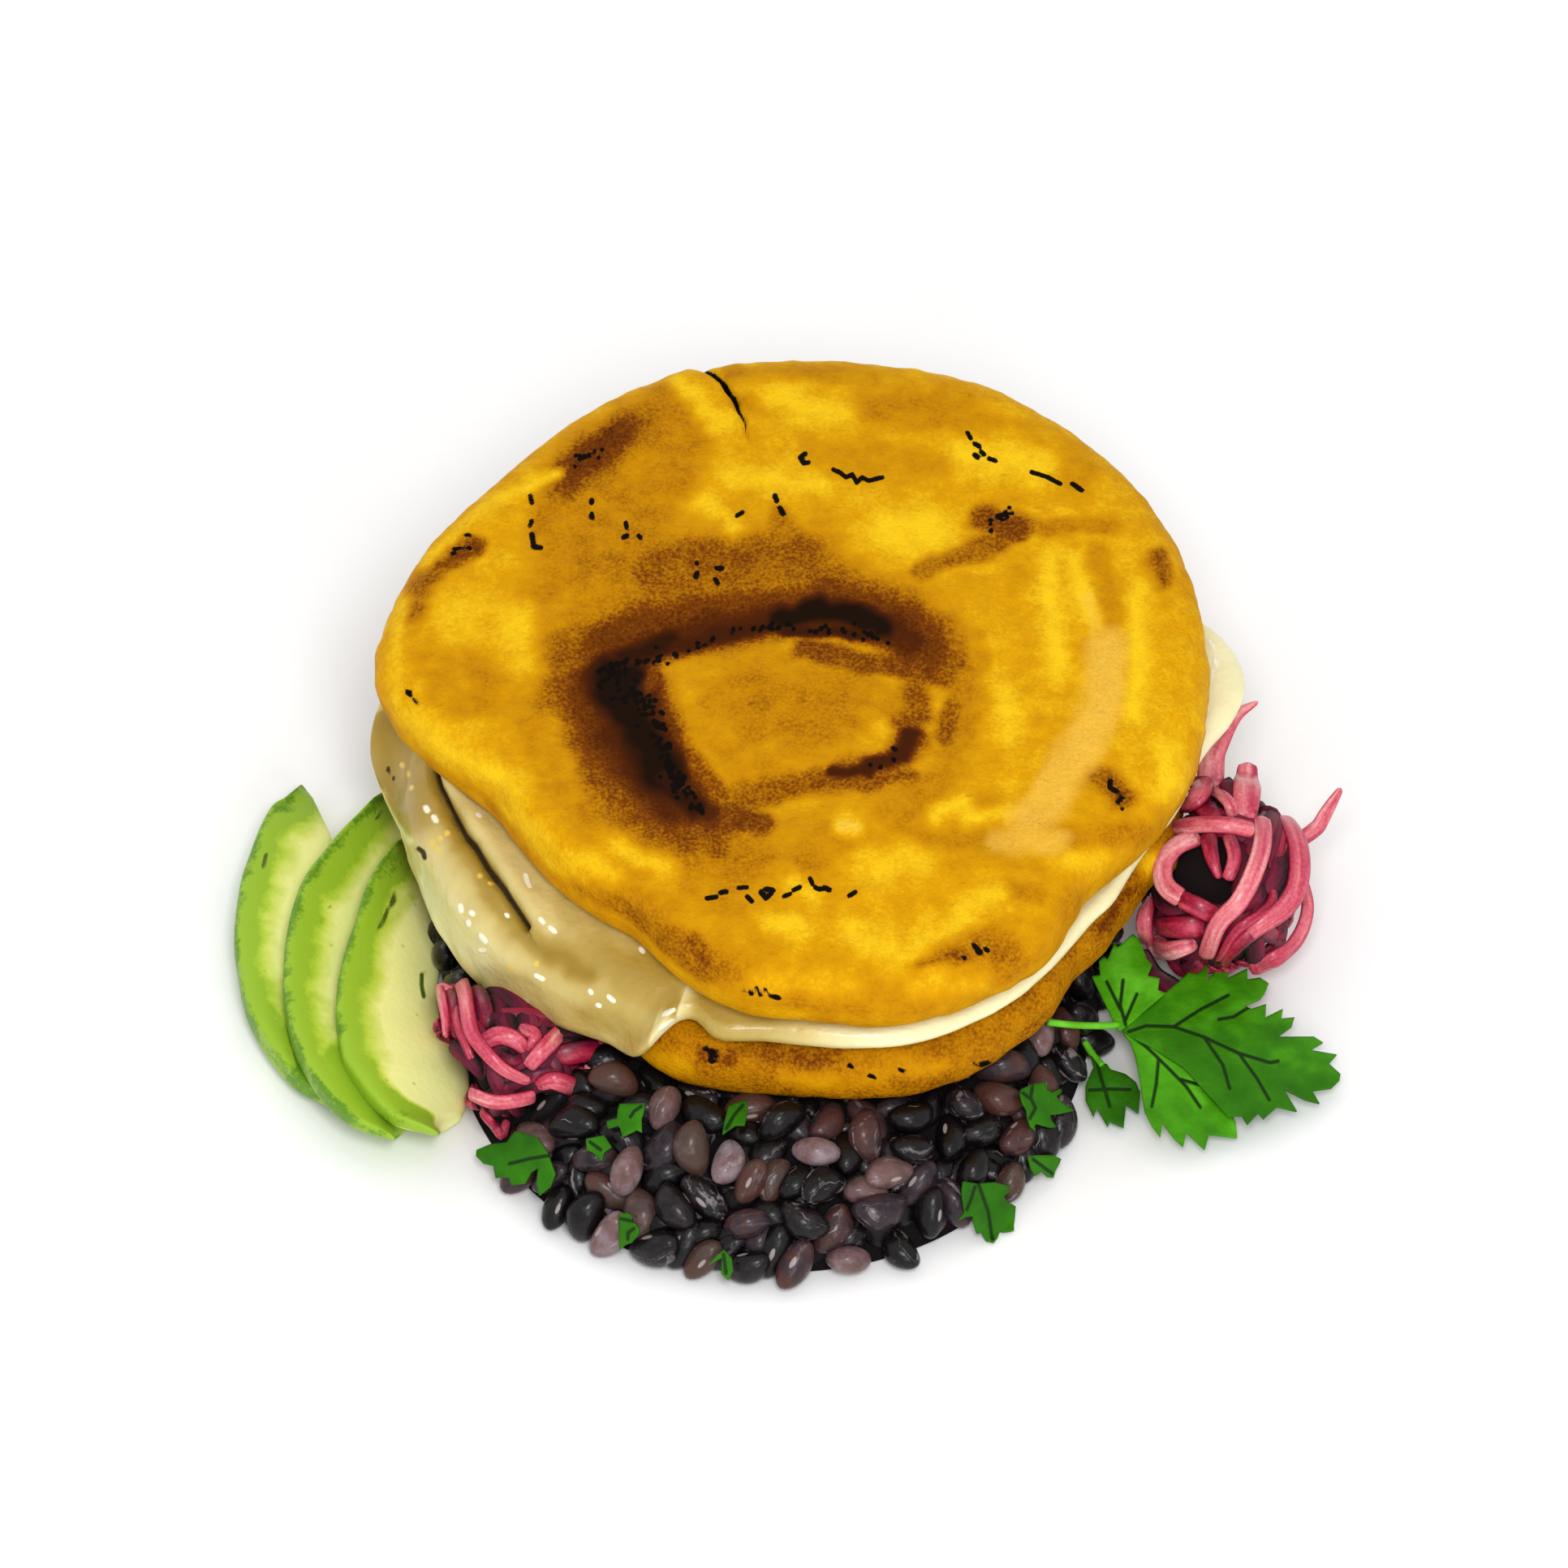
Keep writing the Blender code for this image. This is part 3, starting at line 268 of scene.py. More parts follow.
SCRAP_PLACES = (
    (-0.0420, -0.0675), (-0.0255, -0.0680), (-0.0300, -0.0705), (-0.0085, -0.0700), (-0.0250, -0.0810),
    (-0.0100, -0.0850), (0.0405, -0.0580), (0.0392, -0.0655), (0.0302, -0.0755),
)
SCRAP_LIFT = 0.0007

# The stage: the lights with their places and sizes, what they shine at and what the camera looks at
LIGHTS = (
    ("key", (0.05, -0.65, 0.85), 0.28), ("fill", (0.20, -0.85, 0.45), 0.30),
    ("back", (-0.55, 0.75, 0.35), 0.35),
)
BACK_SHARE = 0.6
LIT_SPOT = Vector((0.0, -0.01, 0.02))
VIEW_MIDDLE = Vector((-0.000683, 0.01106, 0.00996))
SENSOR_WIDTH = 36.0
FLOOR_RADIUS = 6.0
FLOOR_LEVEL = -0.0004

# Marks as the eater sees them, in millimetres right and up from the origin: a level, the half width
# of the stroke and the points that it passes through. Bake level: 0 pale gold, 0.2 gold, 0.35 ochre,
# 0.55 brown, 0.75 dark brown, 0.95 charred. The soft marks fade out to all sides.
SOFT_MARKS = (
    (0.34, 5.5, -39.5, 29.1, -34.9, 16.5, -24.8, 6.4, -9.6, 3.8, 8.0, 4.8),
    (0.4, 4.6, -34.9, 51.3, -22.3, 52.3, -7.1, 53.4, 4.5, 53.9),
    (0.3, 4.6, -42.5, 46.8, -39.5, 36.7, -40.5, 24.1),
    (0.32, 3.6, 29.3, 36.7, 30.3, 26.6, 25.7, 16.5, 18.2, 10.9),
    (0.33, 3.6, 20.7, 10.9, 28.3, 6.4, 32.3, 9.9),
    (0.56, 6.0, -34.9, 34.0, -34.4, 26.6, -30.4, 19.0, -23.3, 12.0, -16.2, 8.9),
    (0.6, 4.6, -30.9, 35.2, -22.0, 40.0, -10.2, 42.5, 2.0, 44.5, 14.6, 43.0, 22.0, 38.5),
    (0.74, 4.0, -25.0, 31.0, -21.0, 25.0, -18.0, 17.5, -15.5, 13.0),
    (0.52, 4.1, -34.9, 37.2, -25.8, 43.3, -14.2, 44.8, -4.1, 46.3, 5.5, 47.8, 15.6, 45.3, 24.2, 39.7, 25.7,
     35.7),
)
BAKED_MARKS = (
    (0.34, 5.5, -20.6, 77.9, -18.2, 72.4, -20.9, 64.9, -24.7, 58.1),
    (0.34, 4.9, -31.6, 69.0, -28.1, 61.5, -37.0, 58.1), (0.33, 4.6, -39.8, 59.4, -38.4, 51.2),
    (0.3, 3.6, 12.2, 78.0, 28.5, 77.9), (0.28, 3.6, 31.3, 75.8, 40.2, 72.4, 49.0, 66.3),
    (0.26, 3.6, 5.3, 70.3, 23.1, 68.3), (0.33, 1.9, 40.8, 58.1, 54.5, 58.1),
    (0.3, 4.9, -52.7, 32.8, -50.7, 30.7), (0.27, 4.1, -39.8, 23.9, -37.0, 13.0),
    (0.28, 1.9, 32.0, 38.9, 32.0, 34.8), (0.3, 3.0, 21.7, 8.9, 33.3, 6.8),
    (0.27, 3.3, -1.5, 6.1, 14.2, 4.8), (0.3, 2.5, 47.7, 6.1, 57.9, 6.8),
    (0.34, 3.3, 26.5, -10.2, 36.1, -12.3), (0.3, 1.9, 32.6, -2.7, 41.5, -2.7),
    (0.3, 3.0, -23.4, -8.9, -12.4, -15.0), (0.3, 1.4, -9.7, 84.3, 14.9, 83.7),
    (0.3, 1.6, -9.0, 79.2, -4.9, 78.5), (0.28, 2.2, 51.8, 52.6, 54.5, 42.3),
    (0.3, 1.6, -34.3, -2.0, -24.7, -7.5), (0.26, 4.1, -61.6, 38.9, -56.1, 29.4),
    (0.5, 3.3, -22.8, 51.8, -7.1, 53.4, 3.0, 53.9), (0.46, 1.9, -22.8, 48.6, -2.1, 49.3, 8.0, 50.3),
    (0.28, 3.3, -14.2, 23.0, -12.2, 31.1, -2.1, 33.9, 10.6, 32.6, 17.1, 28.1),
    (0.28, 3.6, -11.2, 19.0, -6.1, 16.5, 3.0, 18.5), (0.35, 7.6, -4.1, 27.1, 6.5, 27.1),
    (0.52, 3.6, -34.9, 33.1, -35.4, 26.6, -30.9, 19.0, -24.3, 12.4, -14.2, 7.9),
    (0.62, 2.7, -33.9, 32.6, -34.4, 27.1, -30.4, 20.5, -24.8, 15.0, -19.2, 10.4),
    (0.62, 2.7, -32.4, 38.2, -21.3, 42.0, -7.1, 44.3, 8.0, 46.3, 20.7, 42.2, 24.7, 37.7, 23.7, 34.2),
    (0.54, 1.9, 2.0, 37.2, 12.1, 35.2, 20.7, 34.2), (0.5, 2.2, 20.7, 30.6, 22.2, 26.6),
    (0.5, 1.8, 25.7, 32.6, 27.2, 35.2), (0.5, 1.8, 27.0, 28.1, 25.5, 22.5),
    (0.48, 2.7, -7.1, 12.9, 0.5, 14.5, 7.0, 15.5), (0.54, 2.2, -14.2, 8.9, -9.1, 9.6, -4.1, 8.1),
    (0.46, 1.8, -14.2, 5.1, -11.2, 3.8), (0.52, 2.5, -15.2, 18.0, -11.2, 12.9),
    (0.48, 1.9, 39.5, 56.7, 30.6, 54.0, 21.7, 50.4), (0.58, 2.5, 32.0, 59.4, 38.8, 58.1),
    (0.48, 4.6, -37.7, 66.0, -32.9, 70.3, -26.8, 74.4), (0.64, 3.0, -37.0, 66.9, -32.9, 70.1, -27.7, 73.9),
    (0.46, 2.2, -52.0, 55.0, -56.8, 52.6, -61.1, 48.5, -62.7, 43.7), (0.6, 2.0, -57.8, 52.9, -52.3, 54.8),
    (0.4, 2.2, -1.8, 59.4, -0.8, 57.4), (0.52, 1.6, 61.6, 52.6, 62.4, 48.2),
    (0.5, 2.5, 52.5, 15.7, 55.6, 12.3), (0.46, 1.4, 19.7, -15.0, 28.5, -13.0),
    (0.42, 1.4, -15.8, -11.6, -13.1, -14.1),
    (0.74, 4.4, -30.9, 31.1, -29.1, 24.1, -23.8, 18.0, -18.7, 12.4), (0.72, 2.0, -18.7, 12.4, -13.2, 9.6),
    (0.74, 3.0, -28.3, 35.2, -19.7, 38.5, -11.2, 40.7, -2.1, 42.0, 8.0, 42.2, 16.6, 40.7, 20.2, 38.2),
    (0.94, 4.2, -29.4, 32.2, -26.3, 31.4), (0.94, 3.5, -29.3, 29.6, -25.8, 25.1, -22.3, 20.0, -20.2, 16.5),
    (0.88, 1.5, -20.2, 16.5, -18.2, 12.9, -15.2, 10.9), (0.88, 1.8, -26.3, 36.4, -19.7, 38.5),
    (0.8, 1.2, -18.7, 37.7, -11.2, 40.0, -2.1, 41.7),
    (0.94, 2.1, -1.5, 42.8, 5.5, 44.5, 10.6, 43.8, 15.2, 40.6),
    (0.84, 1.2, -0.5, 40.2, 8.0, 40.2, 13.6, 39.5), (0.6, 1.5, -22.5, 32.6, -23.5, 30.9),
    (0.52, 2.7, 10.1, 17.0, 16.1, 18.0, 20.7, 22.0, 19.7, 24.6),
    (0.5, 1.6, 9.6, 15.5, 14.6, 15.2, 20.2, 16.5), (0.8, 1.2, 8.0, 16.9, 13.6, 17.6),
    (0.8, 1.6, 13.6, 17.7, 17.6, 19.5, 20.4, 22.3),
)
# Pale patches of little-baked crust; many of them, on the right and low on the top, are painted highlights on
# the crust's ripples.
BRIGHT_MARKS = (
    (0.0, 4.3, 16.9, 57.0, 23.8, 57.0), (0.02, 3.6, 29.9, 70.3, 42.2, 69.0),
    (0.0, 1.8, 47.9, 51.9, 50.4, 43.0), (0.0, 1.9, 58.3, 46.4, 58.6, 37.6, 57.5, 25.3),
    (0.01, 1.9, 43.6, 52.6, 43.8, 45.8), (0.02, 2.3, 44.9, 43.0, 44.9, 33.5),
    (0.02, 3.0, 12.2, 0.7, 20.4, 1.8), (0.02, 1.9, 25.1, 10.2, 28.8, 11.6),
    (0.02, 1.9, 47.4, 1.8, 52.0, 2.3), (0.0, 2.3, 62.7, 19.8, 62.7, 13.7),
    (0.01, 2.3, 30.2, -5.9, 34.0, -3.4), (0.0, 2.3, 19.0, -13.3, 28.5, -7.2),
    (0.0, 3.0, 10.8, -10.2, 15.6, -11.6), (0.0, 2.3, -2.9, -8.2, 1.9, -9.6),
    (0.02, 2.3, 20.4, -19.1, 31.3, -18.4), (0.01, 2.3, -61.6, 25.3, -56.1, 19.8, -46.6, 15.0),
    (0.01, 2.3, -45.2, 10.2, -38.4, 3.4, -29.5, -0.7), (0.04, 1.3, -65.0, 45.8, -65.7, 29.4),
    (0.03, 1.4, -60.2, 52.6, -50.7, 62.2, -38.4, 66.9), (0.02, 1.9, -18.6, 82.6, -15.8, 80.6),
    (0.03, 2.2, -14.1, 77.5, -10.4, 75.1), (0.03, 2.6, -2.2, 80.2, 9.4, 77.2),
    (0.0, 1.7, 8.6, 8.7, 11.1, 7.8), (0.05, 3.2, -45.2, 43.0, -43.8, 34.8),
    (0.06, 3.6, -56.1, 43.0, -50.7, 45.1), (0.04, 2.3, -9.7, 66.3, 5.3, 64.9),
    (0.04, 2.6, 35.4, 30.7, 36.7, 23.9), (0.04, 1.9, 29.9, 8.9, 36.7, 10.2),
    (0.03, 2.3, -28.8, 4.8, -20.6, 0.7), (0.03, 1.9, -5.6, -17.1, 9.4, -19.1),
    (0.03, 1.7, 1.2, -1.4, 4.0, -3.4), (0.04, 1.9, -13.8, 62.2, -9.7, 58.1),
    (0.01, 1.7, -42.5, 6.4, -37.4, 1.8, -33.4, -0.2),
)
# Floury streaks: a level from 0 to 1 instead
PALE_MARKS = (
    (0.95, 3.5, 53.4, 37.6, 52.5, 29.4, 49.0, 21.2, 43.6, 11.6, 39.8, 8.9),
    (0.85, 2.4, 44.9, 18.4, 40.8, 10.2), (0.75, 2.0, 34.7, 5.1, 44.9, 5.5),
    (0.5, 1.1, 50.4, 45.8, 51.8, 40.3), (0.6, 1.0, 8.6, 8.7, 11.1, 7.8),
)
BOTTOM_MARKS = (
    (0.4, 4.1, -23.4, -32.1, -9.7, -33.5), (0.28, 1.6, -0.1, -33.5, 12.2, -34.1, 25.8, -31.4),
    (0.55, 1.4, 1.9, -30.1, 10.1, -30.7), (0.62, 1.4, -13.8, -29.4, -9.7, -30.7),
    (0.5, 1.6, -7.0, -28.7, -2.2, -29.4), (0.34, 1.4, 10.1, -30.7, 18.3, -30.7),
    (0.24, 1.6, -23.4, -30.7, -16.5, -32.4), (0.38, 2.2, 31.3, -29.4, 44.9, -21.9, 54.5, -10.2),
    (0.62, 1.0, 52.0, -9.2, 54.2, -6.1, 56.4, -3.1), (0.02, 2.2, 60.7, 1.4, 62.4, 0.0),
    (0.05, 1.6, 31.3, -33.7, 32.1, -34.8), (0.44, 1.6, 8.2, -37.4, 24.5, -35.6, 38.0, -29.5, 50.0, -18.0),
    (0.36, 1.4, -15.2, -26.6, -11.1, -28.7),
)
# Small burnt specks: the points of each, and trails of them, with a count and a spread
CHAR_DASHES = (
    (-43.2, 63.2, -42.9, 61.9), (-42.9, 59.0, -43.2, 58.1), (-42.9, 56.7, -42.5, 54.5, -41.4, 54.4),
    (-32.9, 62.4, -32.9, 62.0), (-32.9, 60.0, -32.8, 59.4), (-27.2, 58.6, -27.0, 57.8),
    (-26.9, 56.4, -27.5, 56.1), (-25.0, 56.4, -24.7, 56.1), (-8.6, 59.8, -7.6, 60.4),
    (-2.2, 63.2, -1.9, 62.3), (-1.4, 61.1, -0.8, 60.1), (-15.3, 51.9, -15.2, 51.7),
    (-15.2, 50.1, -15.4, 49.5), (-12.0, 51.0, -11.0, 50.9), (-12.2, 49.1, -11.7, 48.4),
    (2.9, 70.3, 2.0, 69.7, 2.6, 68.7, 3.4, 68.8),
    (7.6, 67.6, 8.7, 67.1, 9.7, 66.3, 10.8, 66.8, 11.5, 65.4, 12.4, 66.3, 13.5, 65.7, 15.8, 66.3),
    (30.1, 73.9, 30.7, 72.9), (31.3, 72.0, 32.1, 71.6), (31.3, 70.1, 31.8, 69.7), (33.7, 69.5, 34.8, 69.1),
    (32.4, 70.6, 32.9, 70.2), (40.8, 67.2, 43.6, 66.3, 45.6, 65.2), (47.7, 65.2, 49.2, 64.1),
    (53.5, 15.4, 53.4, 14.3, 54.4, 13.7), (55.6, 12.4, 54.9, 11.6, 55.3, 10.9), (-13.4, -4.0, -11.9, -3.8),
    (-11.2, -3.1, -10.2, -2.9), (-8.2, -2.3, -6.8, -2.2), (-6.8, -3.7, -6.0, -4.5),
    (-4.5, -3.0, -3.7, -4.0, -2.9, -3.3), (-3.7, -2.5, -2.5, -2.7), (-0.7, -3.7, 0.3, -3.3),
    (1.0, -2.6, 1.9, -2.2), (3.6, -0.7, 4.0, -1.6), (4.5, -2.2, 5.3, -2.6), (5.9, -2.3, 6.8, -2.6),
    (10.1, -3.6, 11.1, -3.0), (-7.6, -18.7, -6.8, -19.1), (-6.1, -19.5, -5.3, -19.0),
    (-4.6, -19.7, -3.8, -19.3), (-3.0, -19.9, -1.5, -20.5), (-63.6, 32.7, -63.2, 31.6),
    (-63.4, 30.2, -62.8, 29.8), (-62.0, 29.1, -61.5, 28.5), (28.7, -13.5, 29.1, -13.8),
    (29.9, -12.7, 30.3, -13.0), (31.4, -13.3, 31.8, -13.0), (32.5, -12.3, 32.9, -12.6),
    (30.7, -11.9, 31.1, -12.0), (13.6, 18.0, 13.7, 18.0), (15.3, 17.7, 15.4, 17.7),
    (17.5, 20.8, 17.8, 20.6), (17.5, 19.0, 17.6, 18.9),
)
SPECK_TRAILS = (
    (12, 0.8, -36.2, 68.7, -31.6, 70.8), (4, 0.7, -30.5, 74.4, -29.9, 75.0),
    (7, 1.2, -57.0, 53.1, -52.0, 55.0), (30, 1.2, -31.6, 33.1, -27.8, 34.7, -23.3, 35.4, -18.7, 35.9),
    (26, 0.7, -18.7, 35.9, -12.2, 39.0, -4.1, 41.0, 1.0, 41.5),
    (62, 2.0, -30.9, 32.1, -26.8, 30.6, -23.3, 27.1, -20.8, 22.5),
    (34, 1.1, -20.8, 22.5, -19.7, 17.5, -18.2, 14.5), (26, 1.4, -19.2, 15.5, -16.7, 12.9, -14.2, 10.9),
    (18, 1.0, 3.0, 40.5, 8.6, 40.5, 13.6, 40.0, 17.1, 39.0), (14, 1.2, 33.2, 58.1, 37.6, 60.5),
)
BOTTOM_DASHES = (
    (-14.2, -28.4, -12.8, -30.0), (-12.4, -28.8, -11.4, -30.2), (-13.5, -31.4, -12.2, -30.9),
    (9.8, -31.6, 10.6, -32.0), (13.0, -33.2, 14.2, -33.6), (18.6, -32.6, 19.6, -32.8),
    (31.0, -31.4, 32.0, -31.8, 33.4, -31.3),
)
# Cheese tone: 0 olive, 0.3 tan, 0.6 butter, 1 cream. Hollows: a depth in millimetres instead.
# The tone marks paint the flap's light and shade: darker olive and tan under the crease, in its hollows and
# low on the flap, lighter butter and cream beside them.
CHEESE_MARKS = (
    (0.02, 4.2, -67.6, 23.6, -66.8, 15.3, -65.7, 11.8), (0.16, 2.7, -64.9, 21.6, -63.7, 16.1, -62.1, 9.8),
    (0.62, 3.0, -55.5, 14.5, -51.6, 8.2, -46.5, 1.9, -42.5, -3.5, -40.2, -8.6),
    (0.68, 3.6, -60.6, 1.9, -57.4, -4.3, -53.5, -10.6, -46.5, -16.1),
    (0.8, 2.2, -59.4, -3.5, -57.0, -8.2, -53.5, -12.6, -48.8, -16.5),
    (0.5, 3.3, -46.5, -17.7, -38.6, -20.4, -30.8, -23.1),
    (0.2, 4.6, -32.3, -11.4, -26.9, -15.3, -22.1, -18.4),
    (0.3, 2.6, -44.5, -9.5, -41.0, -11.5, -37.0, -12.5), (0.42, 2.5, -33.1, -8.2, -27.6, -9.8),
    (0.28, 3.2, -32.7, -23.1, -25.7, -25.9), (0.22, 2.2, -21.8, -17.3, -19.4, -20.4, -19.0, -22.4),
    (0.4, 1.4, -36.8, -5.1, -36.3, -9.8),
    (0.1, 2.0, -60.2, 15.3, -57.4, 10.6, -54.3, 5.1, -51.2, 0.4, -48.8, -4.3, -44.1, -9.8, -39.4, -13.7,
     -34.3, -16.5), (0.12, 1.1, -52.7, 1.9, -49.6, -3.5, -46.5, -7.5),
    (0.04, 1.2, -40.2, -13.3, -36.3, -15.7, -33.1, -16.5), (0.86, 0.7, -68.0, 12.9, -66.1, 9.4, -62.5, 5.5),
    (0.92, 0.5, -61.0, 1.2, -59.0, -7.1, -55.5, -14.9, -50.4, -20.0, -44.1, -22.4),
)
# The crease as seen: a groove in the cheese, darkened with painted shade along its line
CREASE = (-59.4, 18.0, -58.6, 14.9, -56.6, 11.0, -54.3, 7.0, -52.5, 5.3, -50.4, 1.6, -47.6, -2.0, -45.5,
          -5.5, -43.9, -8.4)
# Painted shade in small nicks of the flap, as short dark lines at these points as seen
CHEESE_NICKS = (
    (-61.1, 4.2, -60.4, 3.6, -60.2, 2.6), (-67.2, 17.4, -67.2, 16.9), (-66.3, 15.8, -66.3, 15.7),
)
# Painted highlights on the cheese: small near-white spots at these points as seen
CHEESE_BEADS = (
    (-60.4, 11.0, -60.1, 10.4), (-59.2, 9.5, -58.8, 8.8), (-51.6, 9.6, -51.3, 9.4),
    (-43.6, -0.4, -43.3, -1.6, -42.9, -2.3), (-54.0, -5.3, -53.8, -6.1), (-52.3, -6.4, -52.0, -6.7),
    (-52.7, -7.9, -52.6, -8.3), (-50.8, -10.2, -50.0, -11.2), (-50.8, -12.5, -50.2, -12.6),
    (-41.0, -7.7, -40.6, -8.1), (-39.5, -8.9, -38.8, -9.4), (-41.8, -16.9, -40.7, -17.5),
    (-33.0, -19.5, -32.8, -19.8), (-29.8, -20.4, -29.0, -21.1), (-31.7, -21.9, -31.4, -22.0),
    (-24.4, -12.4, -24.1, -12.8), (-29.6, -7.6, -29.4, -7.8), (-20.6, -23.3, -19.0, -22.5),
    (-21.2, -25.6, -19.1, -24.3), (-47.3, -6.7, -47.2, -6.8), (70.8, 38.6, 71.4, 37.4),
    (71.9, 36.2, 71.5, 34.9), (71.0, 33.4, 70.8, 32.4),
)
FAT_SPOTS = (
    (-64.9, 18.1, -64.7, 17.9), (-63.7, 16.7, -63.6, 16.4), (-62.8, 14.3, -62.8, 14.2),
    (-57.1, 7.0, -57.0, 6.7), (-59.1, 5.2, -58.9, 4.8), (-58.0, 5.9, -57.9, 5.7), (-58.3, 4.1, -58.2, 3.9),
    (-51.6, -0.1, -51.5, -0.3), (-49.8, -1.3, -49.7, -1.4), (-45.8, -15.4, -45.7, -15.5),
    (-41.8, -14.9, -41.8, -15.1),
)
CHEESE_HOLLOWS = (
    (1.3, 3.6, -47.3, -8.2, -41.1, -11.6, -34.3, -15.0), (0.8, 2.6, -57.5, 12.0, -50.5, 1.5),
    (-0.8, 4.5, -55.0, -5.0, -46.0, -14.0), (-0.6, 3.5, -63.5, 9.0, -61.0, 4.0),
)
# Onion strips: a tone, the lift off the pile at the start, middle and end as a share of it, the
# width there in millimetres, and the points of the middle line as seen. Tone: 0 shade, 0.15 wine,
# 0.35 magenta, 0.55 rose, 0.75 pink, 1 blush.
RIGHT_STRIPS = (
    (0.12, (-0.2, -0.08, -0.2), (3.0, 3.6, 2.0), 75.7, 6.2, 76.7, 1.6, 74.7, -4.0),
    (0.12, (-0.2, -0.02, -0.2), (2.3, 4.0, 2.3), 82.0, 5.6, 82.0, -0.1, 78.3, -6.3),
    (0.12, (-0.2, -0.04, -0.2), (2.6, 3.0, 2.0), 61.1, -3.7, 64.1, -6.0, 68.4, -7.3),
    (0.2, (-0.2, -0.02, -0.1), (3.0, 3.3, 2.6), 60.5, -15.6, 64.4, -17.3, 69.1, -14.6),
    (0.14, (0.0, 0.04, 0.0), (2.8, 4.2, 2.8), 58.8, -13.0, 61.0, -17.4, 65.8, -19.8),
    (0.3, (-0.15, -0.04, -0.1), (2.3, 3.6, 2.0), 68.7, 12.2, 70.4, 10.2, 73.0, 9.5),
    (0.1, (-0.1, 0.0, -0.1), (2.0, 3.3, 2.6), 73.0, 16.8, 74.0, 14.2, 74.4, 10.9),
    (0.34, (-0.1, 0.02, -0.02), (2.6, 2.6, 1.3), 70.1, 6.6, 70.7, 2.6, 71.9, -0.9),
    (0.52, (-0.1, 0.04, 0.02), (2.3, 2.4, 2.1), 73.5, 6.6, 74.4, 2.6, 73.2, -1.2),
    (0.34, (-0.12, 0.02, -0.1), (2.3, 3.6, 4.0), 60.8, -9.0, 64.8, -9.0, 69.7, -8.7),
    (0.8, (-0.1, 0.05, -0.1), (3.6, 3.6, 2.3), 59.5, -12.3, 63.4, -13.0, 68.4, -11.6),
    (0.66, (-0.1, 0.06, 0.04), (2.3, 3.0, 2.6), 60.1, -4.4, 59.5, -8.3, 60.0, -12.0),
    (0.6, (-0.1, 0.06, -0.12), (3.0, 3.6, 2.6), 67.7, 16.8, 69.4, 14.8, 67.7, 12.2, 65.1, 11.2),
    (0.72, (0.02, 0.06, -0.1), (3.0, 4.6, 4.0), 77.0, 18.5, 76.7, 14.2, 76.0, 8.6),
    (0.78, (-0.1, 0.06, -0.1), (2.0, 2.2, 2.0), 71.4, 13.9, 73.5, 11.9, 74.4, 9.2),
    (0.8, (0.02, 0.08, -0.12), (0.6, 3.7, 4.3), 78.8, 28.7, 74.4, 25.8, 70.7, 19.1, 70.4, 15.5),
    (0.8, (-0.1, 0.1, 0.06), (3.0, 3.3, 3.3), 68.7, 6.2, 64.8, 4.6, 62.6, 1.6, 62.8, -2.0, 65.8, -4.4),
    (0.38, (0.06, 0.1, -0.1), (3.3, 3.2, 3.0), 65.4, -4.2, 69.1, -6.0, 73.0, -8.0),
    (0.7, (-0.1, 0.16, 0.12), (2.8, 2.8, 2.8), 63.4, 7.6, 69.4, 8.2, 74.4, 7.9, 77.8, 7.1),
    (0.44, (-0.1, 0.08, -0.1), (1.3, 1.7, 1.3), 80.8, -1.0, 80.8, -4.4, 78.7, -6.8, 75.0, -9.3, 71.7,
     -14.6),
    (0.36, (-0.12, 0.06, -0.1), (2.0, 2.4, 1.3), 82.6, -7.0, 77.3, -10.0, 74.4, -12.6, 72.7, -15.3),
    (0.64, (-0.06, 0.06, -0.08), (2.0, 2.8, 3.3), 86.8, -1.0, 86.8, -7.3, 84.0, -12.6, 77.3, -16.6),
    (0.62, (-0.04, 0.14, -0.06), (3.0, 3.7, 1.5), 83.1, 9.9, 85.1, 5.6, 85.5, 0.9, 84.6, -3.4, 82.3, -6.3,
     78.7, -8.8, 75.4, -11.6, 73.5, -14.3),
    (0.76, (-0.04, 0.2, -0.04), (3.0, 3.2, 2.8), 79.2, 9.5, 79.2, 5.2, 77.7, 0.3, 75.0, -5.0, 71.7, -8.3,
     69.6, -14.3), (0.7, (0.02, 0.04, -0.1), (1.0, 2.5, 2.0), 92.6, 14.2, 89.6, 9.2, 87.1, 4.2),
)
